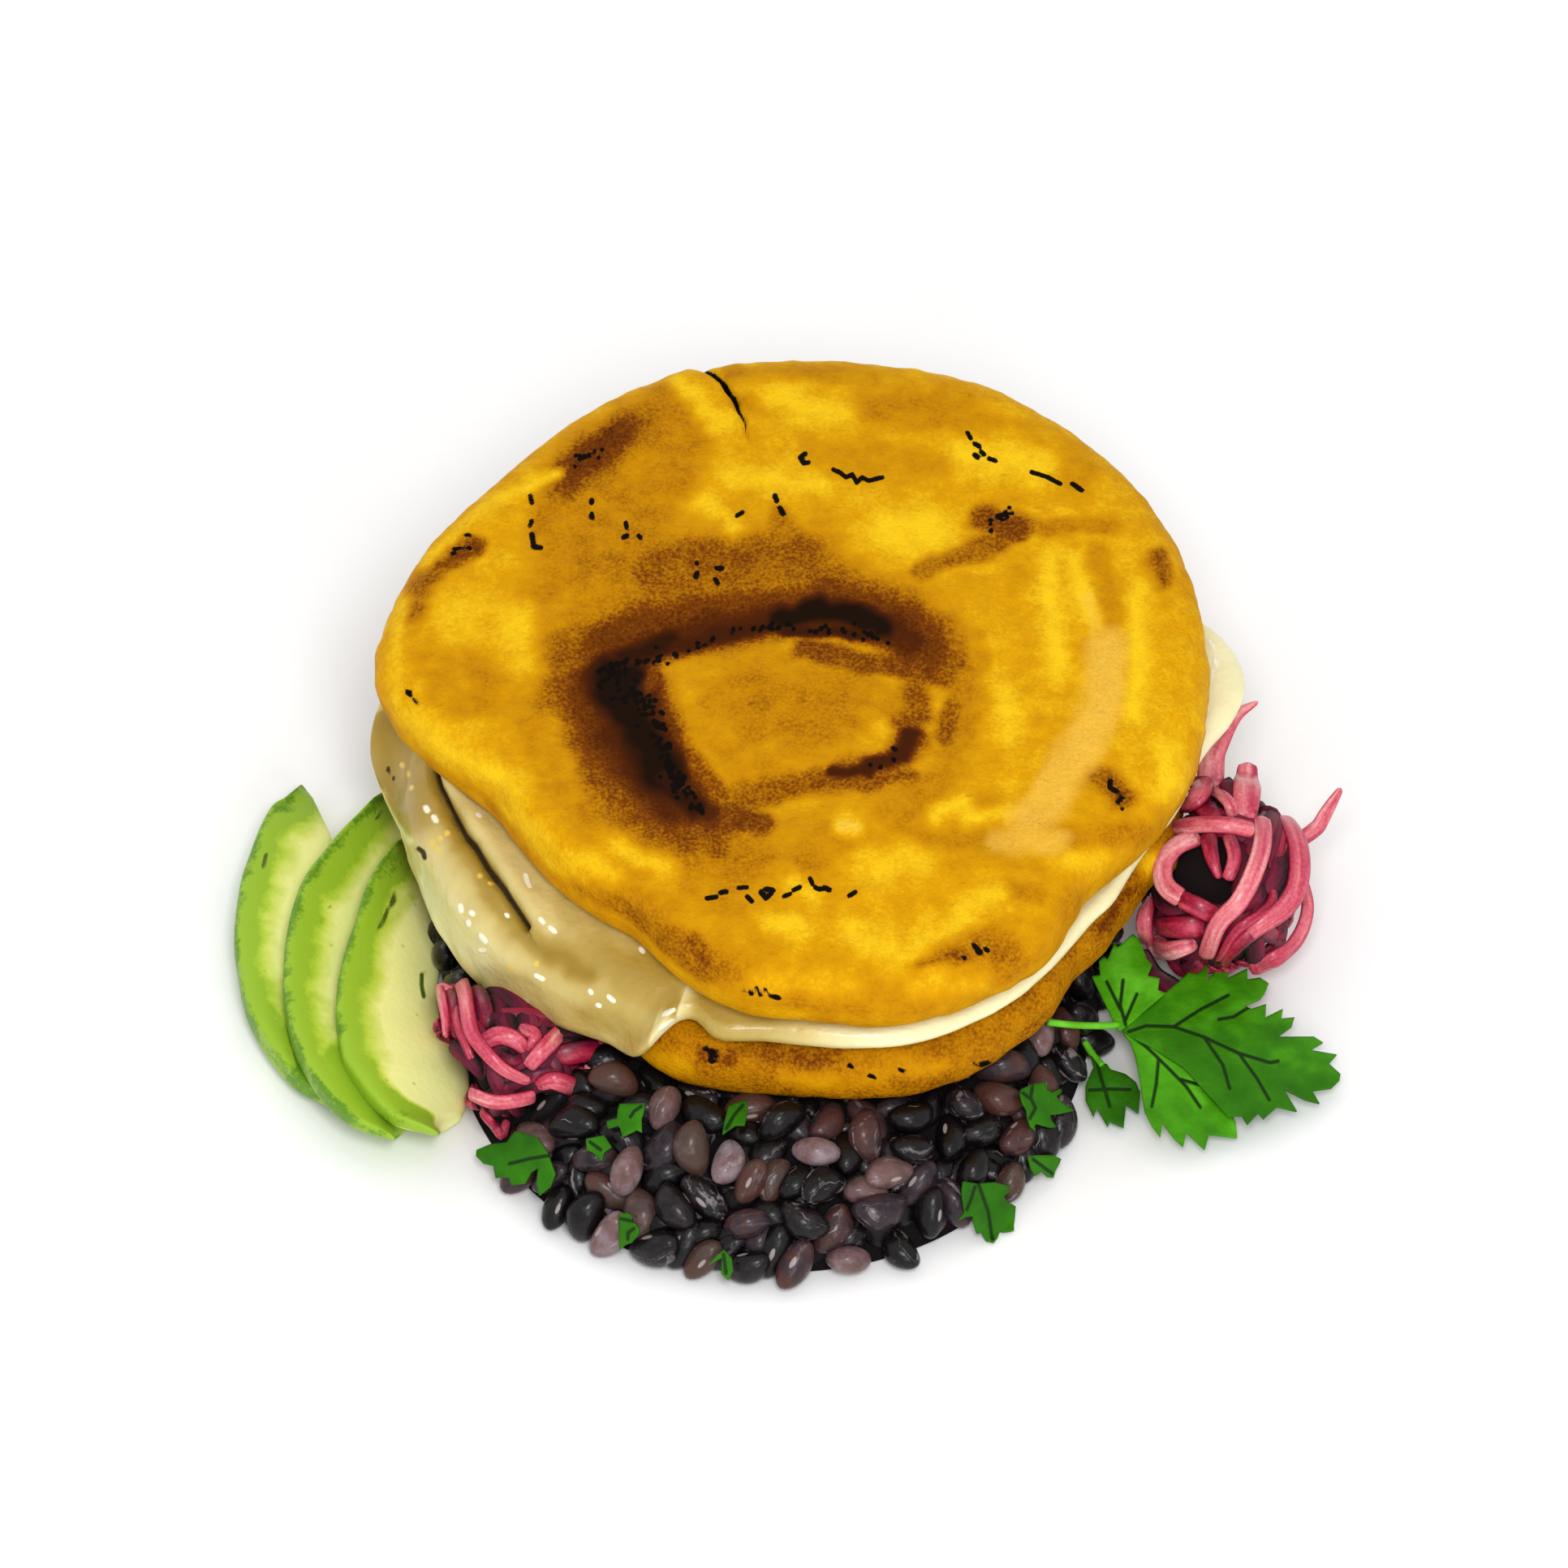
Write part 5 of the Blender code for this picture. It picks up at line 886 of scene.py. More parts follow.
class Nodes:
    """Short calls for building one node tree, whose textures read one place."""

    def __init__(self, tree, material=None):
        self.tree = tree
        self.material = material
        self.place = None

    def add(self, kind, inputs=None, **settings):
        made = self.tree.nodes.new(kind)
        for key, value in settings.items():
            setattr(made, key, value)
        for key, value in (inputs or {}).items():
            socket = made.inputs[key]
            if isinstance(value, bpy.types.NodeSocket):
                self.tree.links.new(value, socket)
            else:
                socket.default_value = value
        return made

    def read(self, name):
        return self.add("ShaderNodeAttribute", attribute_name=name).outputs["Fac"]

    def maths(self, operation, first, second=0.0, third=None, clamp=False):
        inputs = {0: first, 1: second}
        if third is not None:
            inputs[2] = third
        return self.add("ShaderNodeMath", inputs, operation=operation, use_clamp=clamp).outputs[0]

    def times(self, first, second, plus=None, clamp=False):
        """A product, with another value added to it where one is given."""
        return self.maths("MULTIPLY" if plus is None else "MULTIPLY_ADD", first, second, plus, clamp)

    def mapped(self, value, low, high, to_low=0.0, to_high=1.0):
        inputs = {"Value": value, "From Min": low, "From Max": high, "To Min": to_low, "To Max": to_high}
        return self.add("ShaderNodeMapRange", inputs).outputs["Result"]

    def colours(self, value, stops):
        """A colour ramp through the stops, each as place and colour."""
        made = self.add("ShaderNodeValToRGB", {"Fac": value})
        ramp_stops = made.color_ramp.elements
        while len(ramp_stops) < len(stops):
            ramp_stops.new(0.5)
        for stop, (place, colour) in zip(ramp_stops, stops):
            stop.position = place
            stop.color = (*colour[:3], 1.0)
        return made.outputs["Color"]

    def cover(self, below, share, colour):
        """Lays a colour over the one below, by a share."""
        inputs = {0: share, 6: below, 7: (*colour, 1.0)}
        return self.add("ShaderNodeMix", inputs, data_type="RGBA").outputs[2]

    def group(self, group, inputs):
        return self.add("ShaderNodeGroup", inputs, node_tree=group).outputs[0]

    def grain(self, size, ragged=0.5, place=None):
        inputs = {"Vector": place or self.place, "Size": size, "Raggedness": ragged}
        return self.group(grain_group(), inputs)

    def stipple(self, level, size, amount, peak=0.5, spread=0.6):
        return self.group(stipple_group(), {
            "Level": level, "Vector": self.place, "Size": size, "Amount": amount, "Peak": peak,
            "Spread": spread})

    def dots(self, spacing, share):
        return self.group(dots_group(), {"Vector": self.place, "Spacing": spacing, "Share": share})

    def swung(self, grain, swing, level, clamp=False):
        """A level moved up and down by a grain about its middle."""
        return self.times(self.maths("SUBTRACT", grain, 0.5), swing, level, clamp)

    def bump(self, height, distance, strength=1.0, normal=None):
        inputs = {"Height": height, "Distance": distance, "Strength": strength}
        if normal is not None:
            inputs["Normal"] = normal
        return self.add("ShaderNodeBump", inputs).outputs["Normal"]

    def finish(self, **sockets):
        """Links values to the shader's sockets, named with _ for a space, and gives the material."""
        shader = self.tree.nodes["Principled BSDF"]
        for key, value in sockets.items():
            self.tree.links.new(value, shader.inputs[key.replace("_", " ")])
        return self.material


def shader_group(name, inputs, output, build):
    """A node group, built once: its inputs with their defaults, None for a place, and one output."""
    if name in bpy.data.node_groups:
        return bpy.data.node_groups[name]
    tree = bpy.data.node_groups.new(name, "ShaderNodeTree")
    for label, default in inputs.items():
        kind = "NodeSocketVector" if default is None else "NodeSocketFloat"
        socket = tree.interface.new_socket(label, in_out="INPUT", socket_type=kind)
        if default is not None:
            socket.default_value = default
    tree.interface.new_socket(output, in_out="OUTPUT", socket_type="NodeSocketFloat")
    nodes = Nodes(tree)
    given = nodes.add("NodeGroupInput").outputs
    nodes.place = given["Vector"]
    nodes.add("NodeGroupOutput", {0: build(nodes, given)})
    return tree


def grain_group():
    """Soft noise with grains of a given size, from 0 to 1."""
    def build(nodes, given):
        scale = nodes.maths("DIVIDE", 1.0, given["Size"])
        inputs = {"Vector": nodes.place, "Scale": scale, "Detail": 3.0, "Roughness": given["Raggedness"]}
        return nodes.mapped(nodes.add("ShaderNodeTexNoise", inputs).outputs["Fac"], 0.28, 0.72)
    return shader_group("grain", {"Vector": None, "Size": 0.001, "Raggedness": 0.55}, "Level", build)


def stipple_group():
    """Breaks a level up with grain, most where it is near a peak."""
    def build(nodes, given):
        grain = nodes.grain(given["Size"], 0.6)
        off = nodes.maths("DIVIDE", nodes.maths("SUBTRACT", given["Level"], given["Peak"]), given["Spread"])
        room = nodes.maths("SUBTRACT", 1.08, nodes.times(off, off), clamp=True)
        push = nodes.times(nodes.maths("SUBTRACT", grain, 0.5), given["Amount"])
        return nodes.times(push, room, given["Level"], clamp=True)
    inputs = {"Level": 0.5, "Vector": None, "Size": 0.001, "Amount": 0.3, "Peak": 0.5, "Spread": 0.6}
    return shader_group("stipple", inputs, "Level", build)


def dots_group():
    """Small round dots scattered at a spacing, 1 in a dot."""
    def build(nodes, given):
        scale = nodes.maths("DIVIDE", 1.0, given["Spacing"])
        cells = nodes.add("ShaderNodeTexVoronoi", {"Vector": nodes.place, "Scale": scale}, feature="F1")
        size = nodes.times(given["Share"], 0.75)
        return nodes.mapped(cells.outputs["Distance"], nodes.maths("ADD", size, 0.08), size)
    return shader_group("dots", {"Vector": None, "Spacing": 0.003, "Share": 0.3}, "Mask", build)


def new_material(name, constants):
    """The nodes of a new Principled material, with the constants set on the shader's own sockets."""
    if name in bpy.data.materials:
        bpy.data.materials.remove(bpy.data.materials[name])
    made = bpy.data.materials.new(name)
    made.use_nodes = True
    shader = made.node_tree.nodes["Principled BSDF"]
    for key, value in constants.items():
        shader.inputs[key].default_value = value
    nodes = Nodes(made.node_tree, made)
    nodes.place = nodes.add("ShaderNodeTexCoord").outputs["Object"]
    return nodes


def crust_material(name, looks):
    nodes = new_material(name, {
        "Metallic": 0.0, "Specular IOR Level": 0.04, "Coat Weight": 0.0, "Subsurface Weight": 0.0})
    level = nodes.read("bake")
    for size, amount, peak, spread in CRUST_STIPPLE:
        level = nodes.stipple(level, size, amount, peak, spread)
    colour = nodes.colours(level, (
        (0.00, looks.pale_gold), (0.18, looks.gold), (0.34, looks.ochre), (0.55, looks.brown),
        (0.74, looks.dark_brown), (0.93, looks.charred)))
    fine = nodes.grain(0.0006, 0.6)
    pale = nodes.times(nodes.read("pale"), nodes.mapped(fine, 0.0, 1.0, 0.45, 1.0))
    colour = nodes.cover(colour, pale, looks.floury)
    char = nodes.maths("ADD", nodes.read("char"), nodes.mapped(fine, 0.0, 1.0, -0.08, 0.08))
    colour = nodes.cover(colour, nodes.mapped(char, 0.40, 0.56), looks.char_speck)
    pits = nodes.dots(0.0034, 0.16)
    height = nodes.maths("SUBTRACT", fine, nodes.times(pits, 0.9))
    normal = nodes.bump(nodes.grain(0.0026, 0.6), 0.0004, 0.45)
    normal = nodes.bump(height, 0.00018, 0.7, normal)
    rough = nodes.mapped(nodes.times(fine, 0.3, level), 0.0, 1.2, 0.50, 0.74)
    return nodes.finish(Base_Color=colour, Roughness=rough, Normal=normal)


def cheese_material(looks):
    nodes = new_material("melted_cheese", {
        "Metallic": 0.0, "Subsurface Weight": 0.08, "Subsurface Radius": (1.0, 0.62, 0.25),
        "Subsurface Scale": 0.002, "Specular IOR Level": 0.30, "Coat Roughness": 0.12})
    tone = nodes.stipple(nodes.read("tone"), 0.008, 0.10)
    colour = nodes.colours(tone, (
        (0.0, looks.olive), (0.28, looks.tan), (0.60, looks.butter), (0.92, looks.cream)))
    colour = nodes.cover(colour, nodes.mapped(nodes.read("fat"), 0.30, 0.70), looks.fat_spot)
    # Painted shade: near black along the crease and in the nicks, rougher and without coat
    fold = nodes.mapped(nodes.maths("MAXIMUM", nodes.read("fold"), nodes.read("nick")), 0.40, 0.70)
    colour = nodes.cover(colour, fold, looks.deep_fold)
    # Painted highlights: near-white spots, also smoother and a little raised
    bead = nodes.mapped(nodes.read("bead"), 0.30, 0.60)
    colour = nodes.cover(colour, bead, looks.fat_bead)
    soft = nodes.grain(0.0042, 0.45)
    fine = nodes.grain(0.0012)
    normal = nodes.bump(soft, 0.0005, 0.5)
    normal = nodes.bump(nodes.times(bead, 2.0, fine), 0.0001, 0.5, normal)
    rough = nodes.times(bead, -0.20, nodes.mapped(soft, 0.0, 1.0, 0.32, 0.46))
    rough = nodes.times(fold, 0.45, rough)
    coat = nodes.mapped(fold, 0.0, 1.0, 0.22, 0.0)
    return nodes.finish(Base_Color=colour, Roughness=rough, Coat_Weight=coat, Normal=normal)


def bean_material(looks):
    nodes = new_material("black_bean_skin", {
        "Metallic": 0.0, "Coat Roughness": 0.16, "Specular IOR Level": 0.15})
    own = nodes.read("tint")
    mottle = nodes.grain(0.0034, 0.6)
    tint = nodes.swung(mottle, 0.26, own, clamp=True)
    tint = nodes.times(tint, nodes.mapped(own, 0.0, 0.02))
    colour = nodes.colours(tint, (
        (0.0, looks.sauce), (0.16, looks.black), (0.30, looks.plum), (0.46, looks.chestnut),
        (0.60, looks.taupe), (0.80, looks.mauve), (1.0, looks.grey)))
    fine = nodes.grain(0.0006, 0.6)
    along, over = nodes.read("eye_along"), nodes.read("eye_over")
    length = nodes.add("ShaderNodeCombineXYZ", {
        0: nodes.times(along, 0.22), 1: nodes.times(over, 0.9),
        2: nodes.times(own, 60.0)}).outputs[0]
    streak = nodes.grain(1.0, place=length)
    # Pale streaks along each bean: partly a dusty bloom, partly painted sheen
    chalk = nodes.mapped(nodes.times(fine, 0.30, streak), 0.86, 1.02)
    chalk = nodes.times(chalk, nodes.mapped(nodes.read("dusty"), 0.35, 0.9))
    colour = nodes.cover(colour, nodes.times(chalk, 0.6), looks.dust)
    along = nodes.maths("POWER", along, 2.0)
    over = nodes.maths("POWER", nodes.maths("DIVIDE", over, 0.35), 2.0)
    eye = nodes.mapped(nodes.maths("ADD", along, over), 1.3, 0.8)
    colour = nodes.cover(colour, nodes.times(eye, 0.5), looks.eye)
    normal = nodes.bump(mottle, 0.0004, 0.5)
    normal = nodes.bump(fine, 0.00008, 0.6, normal)
    rough = nodes.times(chalk, 0.3, nodes.mapped(mottle, 0.0, 1.0, 0.24, 0.42))
    rough = nodes.maths("MAXIMUM", rough, nodes.mapped(own, 0.0, 0.02, 0.9, 0.0))
    coat = nodes.mapped(own, 0.0, 0.02, 0.0, 0.22)
    return nodes.finish(Base_Color=colour, Roughness=rough, Coat_Weight=coat, Normal=normal)


def onion_material(looks):
    nodes = new_material("pickled_onion", {
        "Metallic": 0.0, "Subsurface Weight": 0.10, "Subsurface Radius": (1.0, 0.3, 0.35),
        "Subsurface Scale": 0.0012, "Specular IOR Level": 0.3, "Coat Roughness": 0.12})
    tone, across = nodes.read("tone"), nodes.read("across")
    strand = nodes.add("ShaderNodeCombineXYZ", {
        0: nodes.times(nodes.read("along"), 1.6), 1: nodes.times(across, 1.1),
        2: nodes.times(tone, 37.0)}).outputs[0]
    streak = nodes.grain(1.0, 0.65, strand)
    grain = nodes.grain(0.0006, 0.6)
    swing = nodes.mapped(tone, 0.0, 0.4, 0.03, 0.50)
    level = nodes.swung(streak, swing, tone)
    level = nodes.swung(grain, nodes.times(swing, 0.35), level)
    rim = nodes.maths("POWER", nodes.maths("ABSOLUTE", across), 6.0)
    level = nodes.times(rim, nodes.times(swing, -0.55), level)
    # Painted light and shade: one side of each strip lighter, the other darker
    level = nodes.times(across, 0.10, level, clamp=True)
    colour = nodes.colours(level, (
        (0.0, looks.shade), (0.12, looks.wine), (0.34, looks.magenta), (0.54, looks.rose),
        (0.76, looks.pink), (1.0, looks.blush)))
    normal = nodes.bump(streak, 0.00015, 0.25)
    normal = nodes.bump(grain, 0.00006, 0.5, normal)
    dull = nodes.mapped(tone, 0.0, 0.3, 0.95, 0.3)
    rough = nodes.maths("MAXIMUM", nodes.mapped(grain, 0.0, 1.0, 0.28, 0.42), dull)
    coat = nodes.mapped(tone, 0.1, 0.6, 0.0, 0.25)
    return nodes.finish(Base_Color=colour, Roughness=rough, Coat_Weight=coat, Normal=normal)


def avocado_material(looks):
    nodes = new_material("avocado_flesh", {
        "Metallic": 0.0, "Subsurface Weight": 0.08, "Subsurface Radius": (0.8, 1.0, 0.3),
        "Subsurface Scale": 0.0015, "Specular IOR Level": 0.25})
    depth = nodes.stipple(nodes.read("depth"), 0.0060, 0.16, spread=0.9)
    depth = nodes.stipple(depth, 0.0007, 0.08, 0.04, 0.30)
    colour = nodes.colours(depth, (
        (0.0, looks.skin_side), (0.07, looks.leaf_green), (0.24, looks.leaf_green), (0.31, looks.lime),
        (0.41, looks.yellow_green), (0.53, looks.pale_flesh), (1.0, looks.stone_side)))
    colour = nodes.cover(colour, nodes.mapped(nodes.read("tick"), 0.35, 0.65), looks.bruise)
    freckles = nodes.dots(0.0040, 0.05)
    colour = nodes.cover(colour, nodes.times(freckles, 0.5), looks.leaf_green)
    fine = nodes.grain(0.0012)
    normal = nodes.bump(fine, 0.00010, 0.4)
    return nodes.finish(Base_Color=colour, Roughness=nodes.mapped(fine, 0.0, 1.0, 0.38, 0.52), Normal=normal)


def leaf_material(looks):
    nodes = new_material("coriander_leaf", {
        "Metallic": 0.0, "Specular IOR Level": 0.12, "Subsurface Weight": 0.0})
    light = nodes.swung(nodes.grain(0.0055), 0.36, nodes.read("light"), clamp=True)
    colour = nodes.colours(light, (
        (0.0, looks.deep_green), (0.40, looks.fresh_green), (0.70, looks.bright_green),
        (1.0, looks.young_green)))
    vein = nodes.mapped(nodes.read("vein"), 0.58, 0.84)
    colour = nodes.cover(colour, vein, looks.vein_green)
    fine = nodes.grain(0.0008)
    height = nodes.times(vein, -1.0, nodes.times(fine, 0.35))
    normal = nodes.bump(height, 0.00020, 0.7)
    return nodes.finish(Base_Color=colour, Roughness=nodes.mapped(fine, 0.0, 1.0, 0.46, 0.60), Normal=normal)


# Builders

def build_top_cake(looks):
    """The upper cake, with its relief, its baked marks, the split in its rim and its burnt specks."""
    points, faces = cake_points(TOP_RADIUS, TOP_THICKNESS, *TOP_STEPS)
    wanted = outline_table(TOP_RADIUS, TOP_SWELLINGS, TOP_DENT, TOP_DENT_BEARINGS)
    points = shaped_to(points, TOP_RADIUS, wanted)
    upper = np.clip(points[:, 2] / (TOP_THICKNESS / 2), 0.0, 1.0)
    points[:, 2] += top_relief(points) * upper
    points[:, 2] += waves(points, TOP_BUMPS) * upper
    reach = roughen_rim(points, TOP_RADIUS, TOP_EDGE)
    depth, fold = crack_profile(points)
    points[:, 2] += (fold * CRACK_FOLD - depth) * upper
    placed = leaned(points, TOP_MIDDLE)
    true_right, true_up = seen(placed)
    right, up = wandering(placed, true_right, true_up)
    bake = painted(baked(placed, TOP_BAKE), SOFT_MARKS, right, up, soft=True)
    bake = painted(bake, BAKED_MARKS, right, up)
    # Pale patches, many of them painted highlights on the ripples
    bake = painted(bake, BRIGHT_MARKS, right, up, soft=True)
    end = wanted(bearings_of(points))
    rim = ramp(reach, end - RIM_BAND[0], end - RIM_BAND[1])
    front, back = ramp(-points[:, 1], *FRONT_REACH), ramp(points[:, 1], *BACK_REACH)
    # The rim browns all round, with painted shade on the near rim and painted light on the far rim
    round_it, ahead, behind = RIM_BAKE
    rim *= round_it + ahead * front + behind * back + waves(placed, RIM_BAKE_NOISE)
    under = upper <= 0.0
    bake = np.where(under, baked(placed, UNDER_BAKE), bake + FRONT_BAKE * front + rim)
    pale = painted(np.zeros(len(points)), PALE_MARKS, right, up)
    # The split darkens to the speck colour with its depth
    char = np.clip(depth / CRACK_CHAR, 0.0, 1.0) * 0.9
    draw = random.Random(4)
    dashes = list(CHAR_DASHES)
    for count, spread, *way in SPECK_TRAILS:
        trail = even_curve(np.array(way).reshape(-1, 2), 200)
        for spot in (trail[draw.randrange(200)] for _ in range(count)):
            dashes.append([part + draw.gauss(0.0, spread / 2) for part in spot])
    for dash in dashes:
        distance = stroke_reach(true_right, true_up, dash)[0]
        char = np.maximum(char, 1.0 - distance / draw.uniform(*SPECK_SIZES))
    made = mesh_object("top_corn_cake", placed, faces, crust_material("baked_corn_crust", looks))
    give(made, bake=np.clip(bake, 0.0, 1.0), pale=np.where(under, 0.0, pale),
         char=np.where(under, 0.0, np.maximum(char, 0.0)))
    settle(made, "top_cake")


def build_bottom_cake(looks):
    """The lower cake, with its underside and its front edge."""
    points, faces = cake_points(BOTTOM_RADIUS, BOTTOM_THICKNESS, *BOTTOM_STEPS)
    wanted = outline_table(BOTTOM_RADIUS, BOTTOM_SWELLINGS, BOTTOM_DENT, BOTTOM_DENT_BEARINGS)
    points = shaped_to(points, BOTTOM_RADIUS, wanted)
    reach = roughen_rim(points, BOTTOM_RADIUS, BOTTOM_EDGE)
    placed = leaned(points, BOTTOM_MIDDLE)
    right, up = wandering(placed, *seen(placed))
    front = (points[:, 1] < 0.0) & (reach > BOTTOM_RADIUS - BOTTOM_FRONT)
    bake = baked(placed, BOTTOM_BAKE)
    bake = np.where(front, painted(bake, BOTTOM_MARKS, right, up, soft=True), bake)
    made = mesh_object("bottom_corn_cake", placed, faces, crust_material("baked_corn_underside", looks))
    give(made, bake=np.clip(bake, 0.0, 1.0), pale=np.zeros(len(points)),
         char=dashed(*seen(placed), BOTTOM_DASHES, BOTTOM_SPECK_SIZE, front))
    settle(made, "bottom_cake")


def fallen(along, shoulder, fall):
    """Reach and drop of a sheet that bends past a shoulder, and its lean there."""
    if along < shoulder:
        return along, 0.0, 0.0
    lean = min((along - shoulder) / FLAP_BEND, fall)
    rest = along - shoulder - FLAP_BEND * lean
    reach = shoulder + FLAP_BEND * math.sin(lean) + rest * math.cos(lean)
    drop = FLAP_BEND * (1.0 - math.cos(lean)) + rest * math.sin(lean)
    return reach, drop, lean


def cheese_point(bearing, share, across):
    """A point of the cheese: a bearing, a share of the length past its level middle, and a height."""
    flap = float(window(bearing, FLAP_BEARINGS))
    level = outline(bearing, CHEESE_RADIUS, CHEESE_SWELLINGS) - CHEESE_FLAT
    hanging = FLAP_LENGTH - FLAP_SHORTER * float(ramp(bearing, *FLAP_SHORTENING))
    lobe = FLAP_LOBE * swell(turn(bearing, FLAP_LOBE_BEARING[0]), FLAP_LOBE_BEARING[1])
    length = level + (hanging + lobe - level) * flap
    reach, drop, lean = fallen(length * share, FLAP_SHOULDER + lobe, FLAP_FALL * flap)
    out = CHEESE_FLAT + reach + across * math.sin(lean)
    angle = math.radians(bearing)
    return out * math.cos(angle), out * math.sin(angle), across * math.cos(lean) - drop, flap


def cheese_form():
    """The cheese without its relief: its points and faces, and how far each point belongs to the flap, its
    share of the length and whether it is on the upper side."""
    flap_start, flap_end = FLAP_BEARINGS[0] - 6.0, FLAP_BEARINGS[3] + 6.0
    turns = list(np.arange(flap_start, flap_end, CHEESE_TURNS[0]))
    turns += list(np.arange(flap_end, flap_start + 360.0, CHEESE_TURNS[1]))
    half, count = CHEESE_THICKNESS / 2, len(turns)
    tip_start, tip_length = CHEESE_TIP
    shares = list(np.linspace(0.0, tip_start, CHEESE_ROWS[0]))
    shares += [tip_start + tip_length * math.sin(math.pi / 2 * part)
               for part in np.linspace(0.1, 1, CHEESE_ROWS[1])]
    rows = []
    for share in shares:
        past = max(share - tip_start, 0.0) / tip_length
        tip = math.sqrt(max(1.0 - past ** 2, 0.0))
        rows.append((share, half * (1.0 - (1.0 - CHEESE_TIP_THIN) * share) * tip))
    rows += [(share, -height) for share, height in reversed(rows[:-1:2])]
    points, flaps, shares, upper = [], [], [], []
    for share, height in rows:
        for bearing in turns:
            *point, flap = cheese_point(bearing % 360.0, share, height)
            points.append(point)
            flaps.append(flap)
            shares.append(share)
            upper.append(height > 0.0)
    middle_up, middle_down, last = len(points), len(points) + 1, (len(rows) - 1) * count
    points += [(0.0, 0.0, half), (0.0, 0.0, -half)]
    faces = []
    for start in range(0, last, count):
        for step in range(count):
            after = (step + 1) % count
            faces.append((start + step, start + count + step, start + count + after, start + after))
    for step in range(count):
        after = (step + 1) % count
        faces += [(middle_up, step, after), (middle_down, last + after, last + step)]
    flaps, shares, upper = flaps + [0.0, 0.0], shares + [0.0, 0.0], upper + [True, False]
    return np.array(points), faces, np.array(flaps), np.array(shares), np.array(upper)


def normals_of(points, faces):
    """Which way each point of a surface faces."""
    form = mesh_object("cheese_form", points, faces)
    normals = np.empty(len(points) * 3)
    form.data.vertices.foreach_get("normal", normals)
    bpy.data.objects.remove(form, do_unlink=True)
    return normals.reshape(-1, 3)


def build_cheese(looks):
    """The cheese between the cakes and its fallen flap, with its crease and hollows, painted shade and
    highlights.
    """
    points, faces, flaps, shares, upper = cheese_form()
    placed = leaned(points, CHEESE_MIDDLE)
    normals = normals_of(placed, faces)
    right, up = seen(placed)
    facing = upper & (normals @ np.array(EATER) > 0.1)
    shown = facing & (flaps > 0.0)
    distance, side = stroke_reach(right, up, CREASE)
    groove = np.exp(-(distance / GROOVE[0]) ** 2) * GROOVE[1]
    lip = np.exp(-((distance - LIP[0]) / LIP[1]) ** 2) * LIP[2]
    lip = np.where(side > 0.0, lip, -np.exp(-(distance / SLUMP[0]) ** 2) * SLUMP[1])
    hollow = np.zeros(len(placed))
    for level, width, *way in CHEESE_HOLLOWS:
        hollow += level * MILLIMETRE * np.exp(-(stroke_reach(right, up, way)[0] / width) ** 2)
    rise = np.where(facing, lip - groove - hollow, 0.0) * flaps
    rise += waves(placed, CHEESE_PUFF) * ramp(shares, 0.1, 0.4)
    placed = placed + normals * rise[:, None]
    tone = np.where(flaps > 0.2, *CHEESE_TONES) + waves(placed, CHEESE_TONE_NOISE)
    tone = tone + (SHADED_TONE - tone) * window(bearings_of(points), SHADED_BEARINGS)
    # Painted light and shade on the flap's shown face
    tone = np.where(shown, painted(tone, CHEESE_MARKS, *wandering(placed, right, up), soft=True), tone)
    made = mesh_object("melted_cheese", placed, faces, cheese_material(looks))
    # The sizes of the painted shade along the crease and in the nicks, of the painted highlights (drop) and
    # of the spots of fat
    fold, nick, drop, spot = CHEESE_SIZES
    give(made, tone=np.clip(tone, 0.0, 1.0), fold=dashed(right, up, (CREASE,), fold, shown),
         nick=dashed(right, up, CHEESE_NICKS, nick, shown),
         bead=dashed(right, up, CHEESE_BEADS, drop, facing), fat=dashed(right, up, FAT_SPOTS, spot, shown))
    settle(made, "cheese_filling")


def mound_share(x, y):
    """0 at the middle of the mound, 1 at its foot."""
    across = abs((x - MOUND_MIDDLE[0]) / MOUND_HALF[0]) ** MOUND_SQUARENESS
    along = abs((y - MOUND_MIDDLE[1]) / MOUND_HALF[1]) ** MOUND_SQUARENESS
    return (across + along) ** (1.0 / MOUND_SQUARENESS)


def mound_height(x, y):
    """Top of the bare core: a steep-sided dome, level where the arepa lies on it."""
    share = min(mound_share(x, y), 1.0)
    dome = MOUND_RISE * (1.0 - share ** MOUND_FLATNESS) ** MOUND_STEEPNESS
    bump = noise.noise(Vector((x / MOUND_LUMP_SIZE, y / MOUND_LUMP_SIZE, 7.0)))
    dome += MOUND_LUMPS * bump * float(ramp(1.0 - share, 0.0, MOUND_FOOT))
    under_arepa = STACK_HEIGHT + y * math.tan(STACK_LEAN) - CORE_GAP
    return max(min(dome, under_arepa), 0.0)


def mound_normal(x, y):
    """Straight out of the core at a place."""
    step = 0.001
    slope_x = (mound_height(x + step, y) - mound_height(x - step, y)) / (2 * step)
    slope_y = (mound_height(x, y + step) - mound_height(x, y - step)) / (2 * step)
    return Vector((-slope_x, -slope_y, 1.0)).normalized()


def mound_core():
    """The bare core under the beans: a lumpy dome on the table."""
    disc, faces, loop = disc_grid(MOUND_STEPS)
    square = (np.abs(disc) ** MOUND_SQUARENESS).sum(axis=1) ** (1 / MOUND_SQUARENESS)
    disc *= (np.hypot(*disc.T) / np.maximum(square, 1e-9))[:, None]
    x, y = (np.array(MOUND_MIDDLE) + np.array(MOUND_HALF) * disc).T
    z = np.array([mound_height(a, b) for a, b in zip(x, y)])
    points = np.column_stack((x, y, np.maximum(z - CORE_SUNK, 0.0)))
    edge = points[loop] * np.array((1.0, 1.0, 0.0))
    start, count = len(points), len(loop)
    points = np.vstack((points, edge, [[*MOUND_MIDDLE, 0.0]]))
    faces += [(loop[i - 1], start + (i - 1) % count, start + i, loop[i]) for i in range(count)]
    faces += [(start + i, start + (i - 1) % count, start + count) for i in range(count)]
    return points, faces, {"tint": 0.0, "dusty": 0.0, "eye_along": 9.0, "eye_over": 9.0}


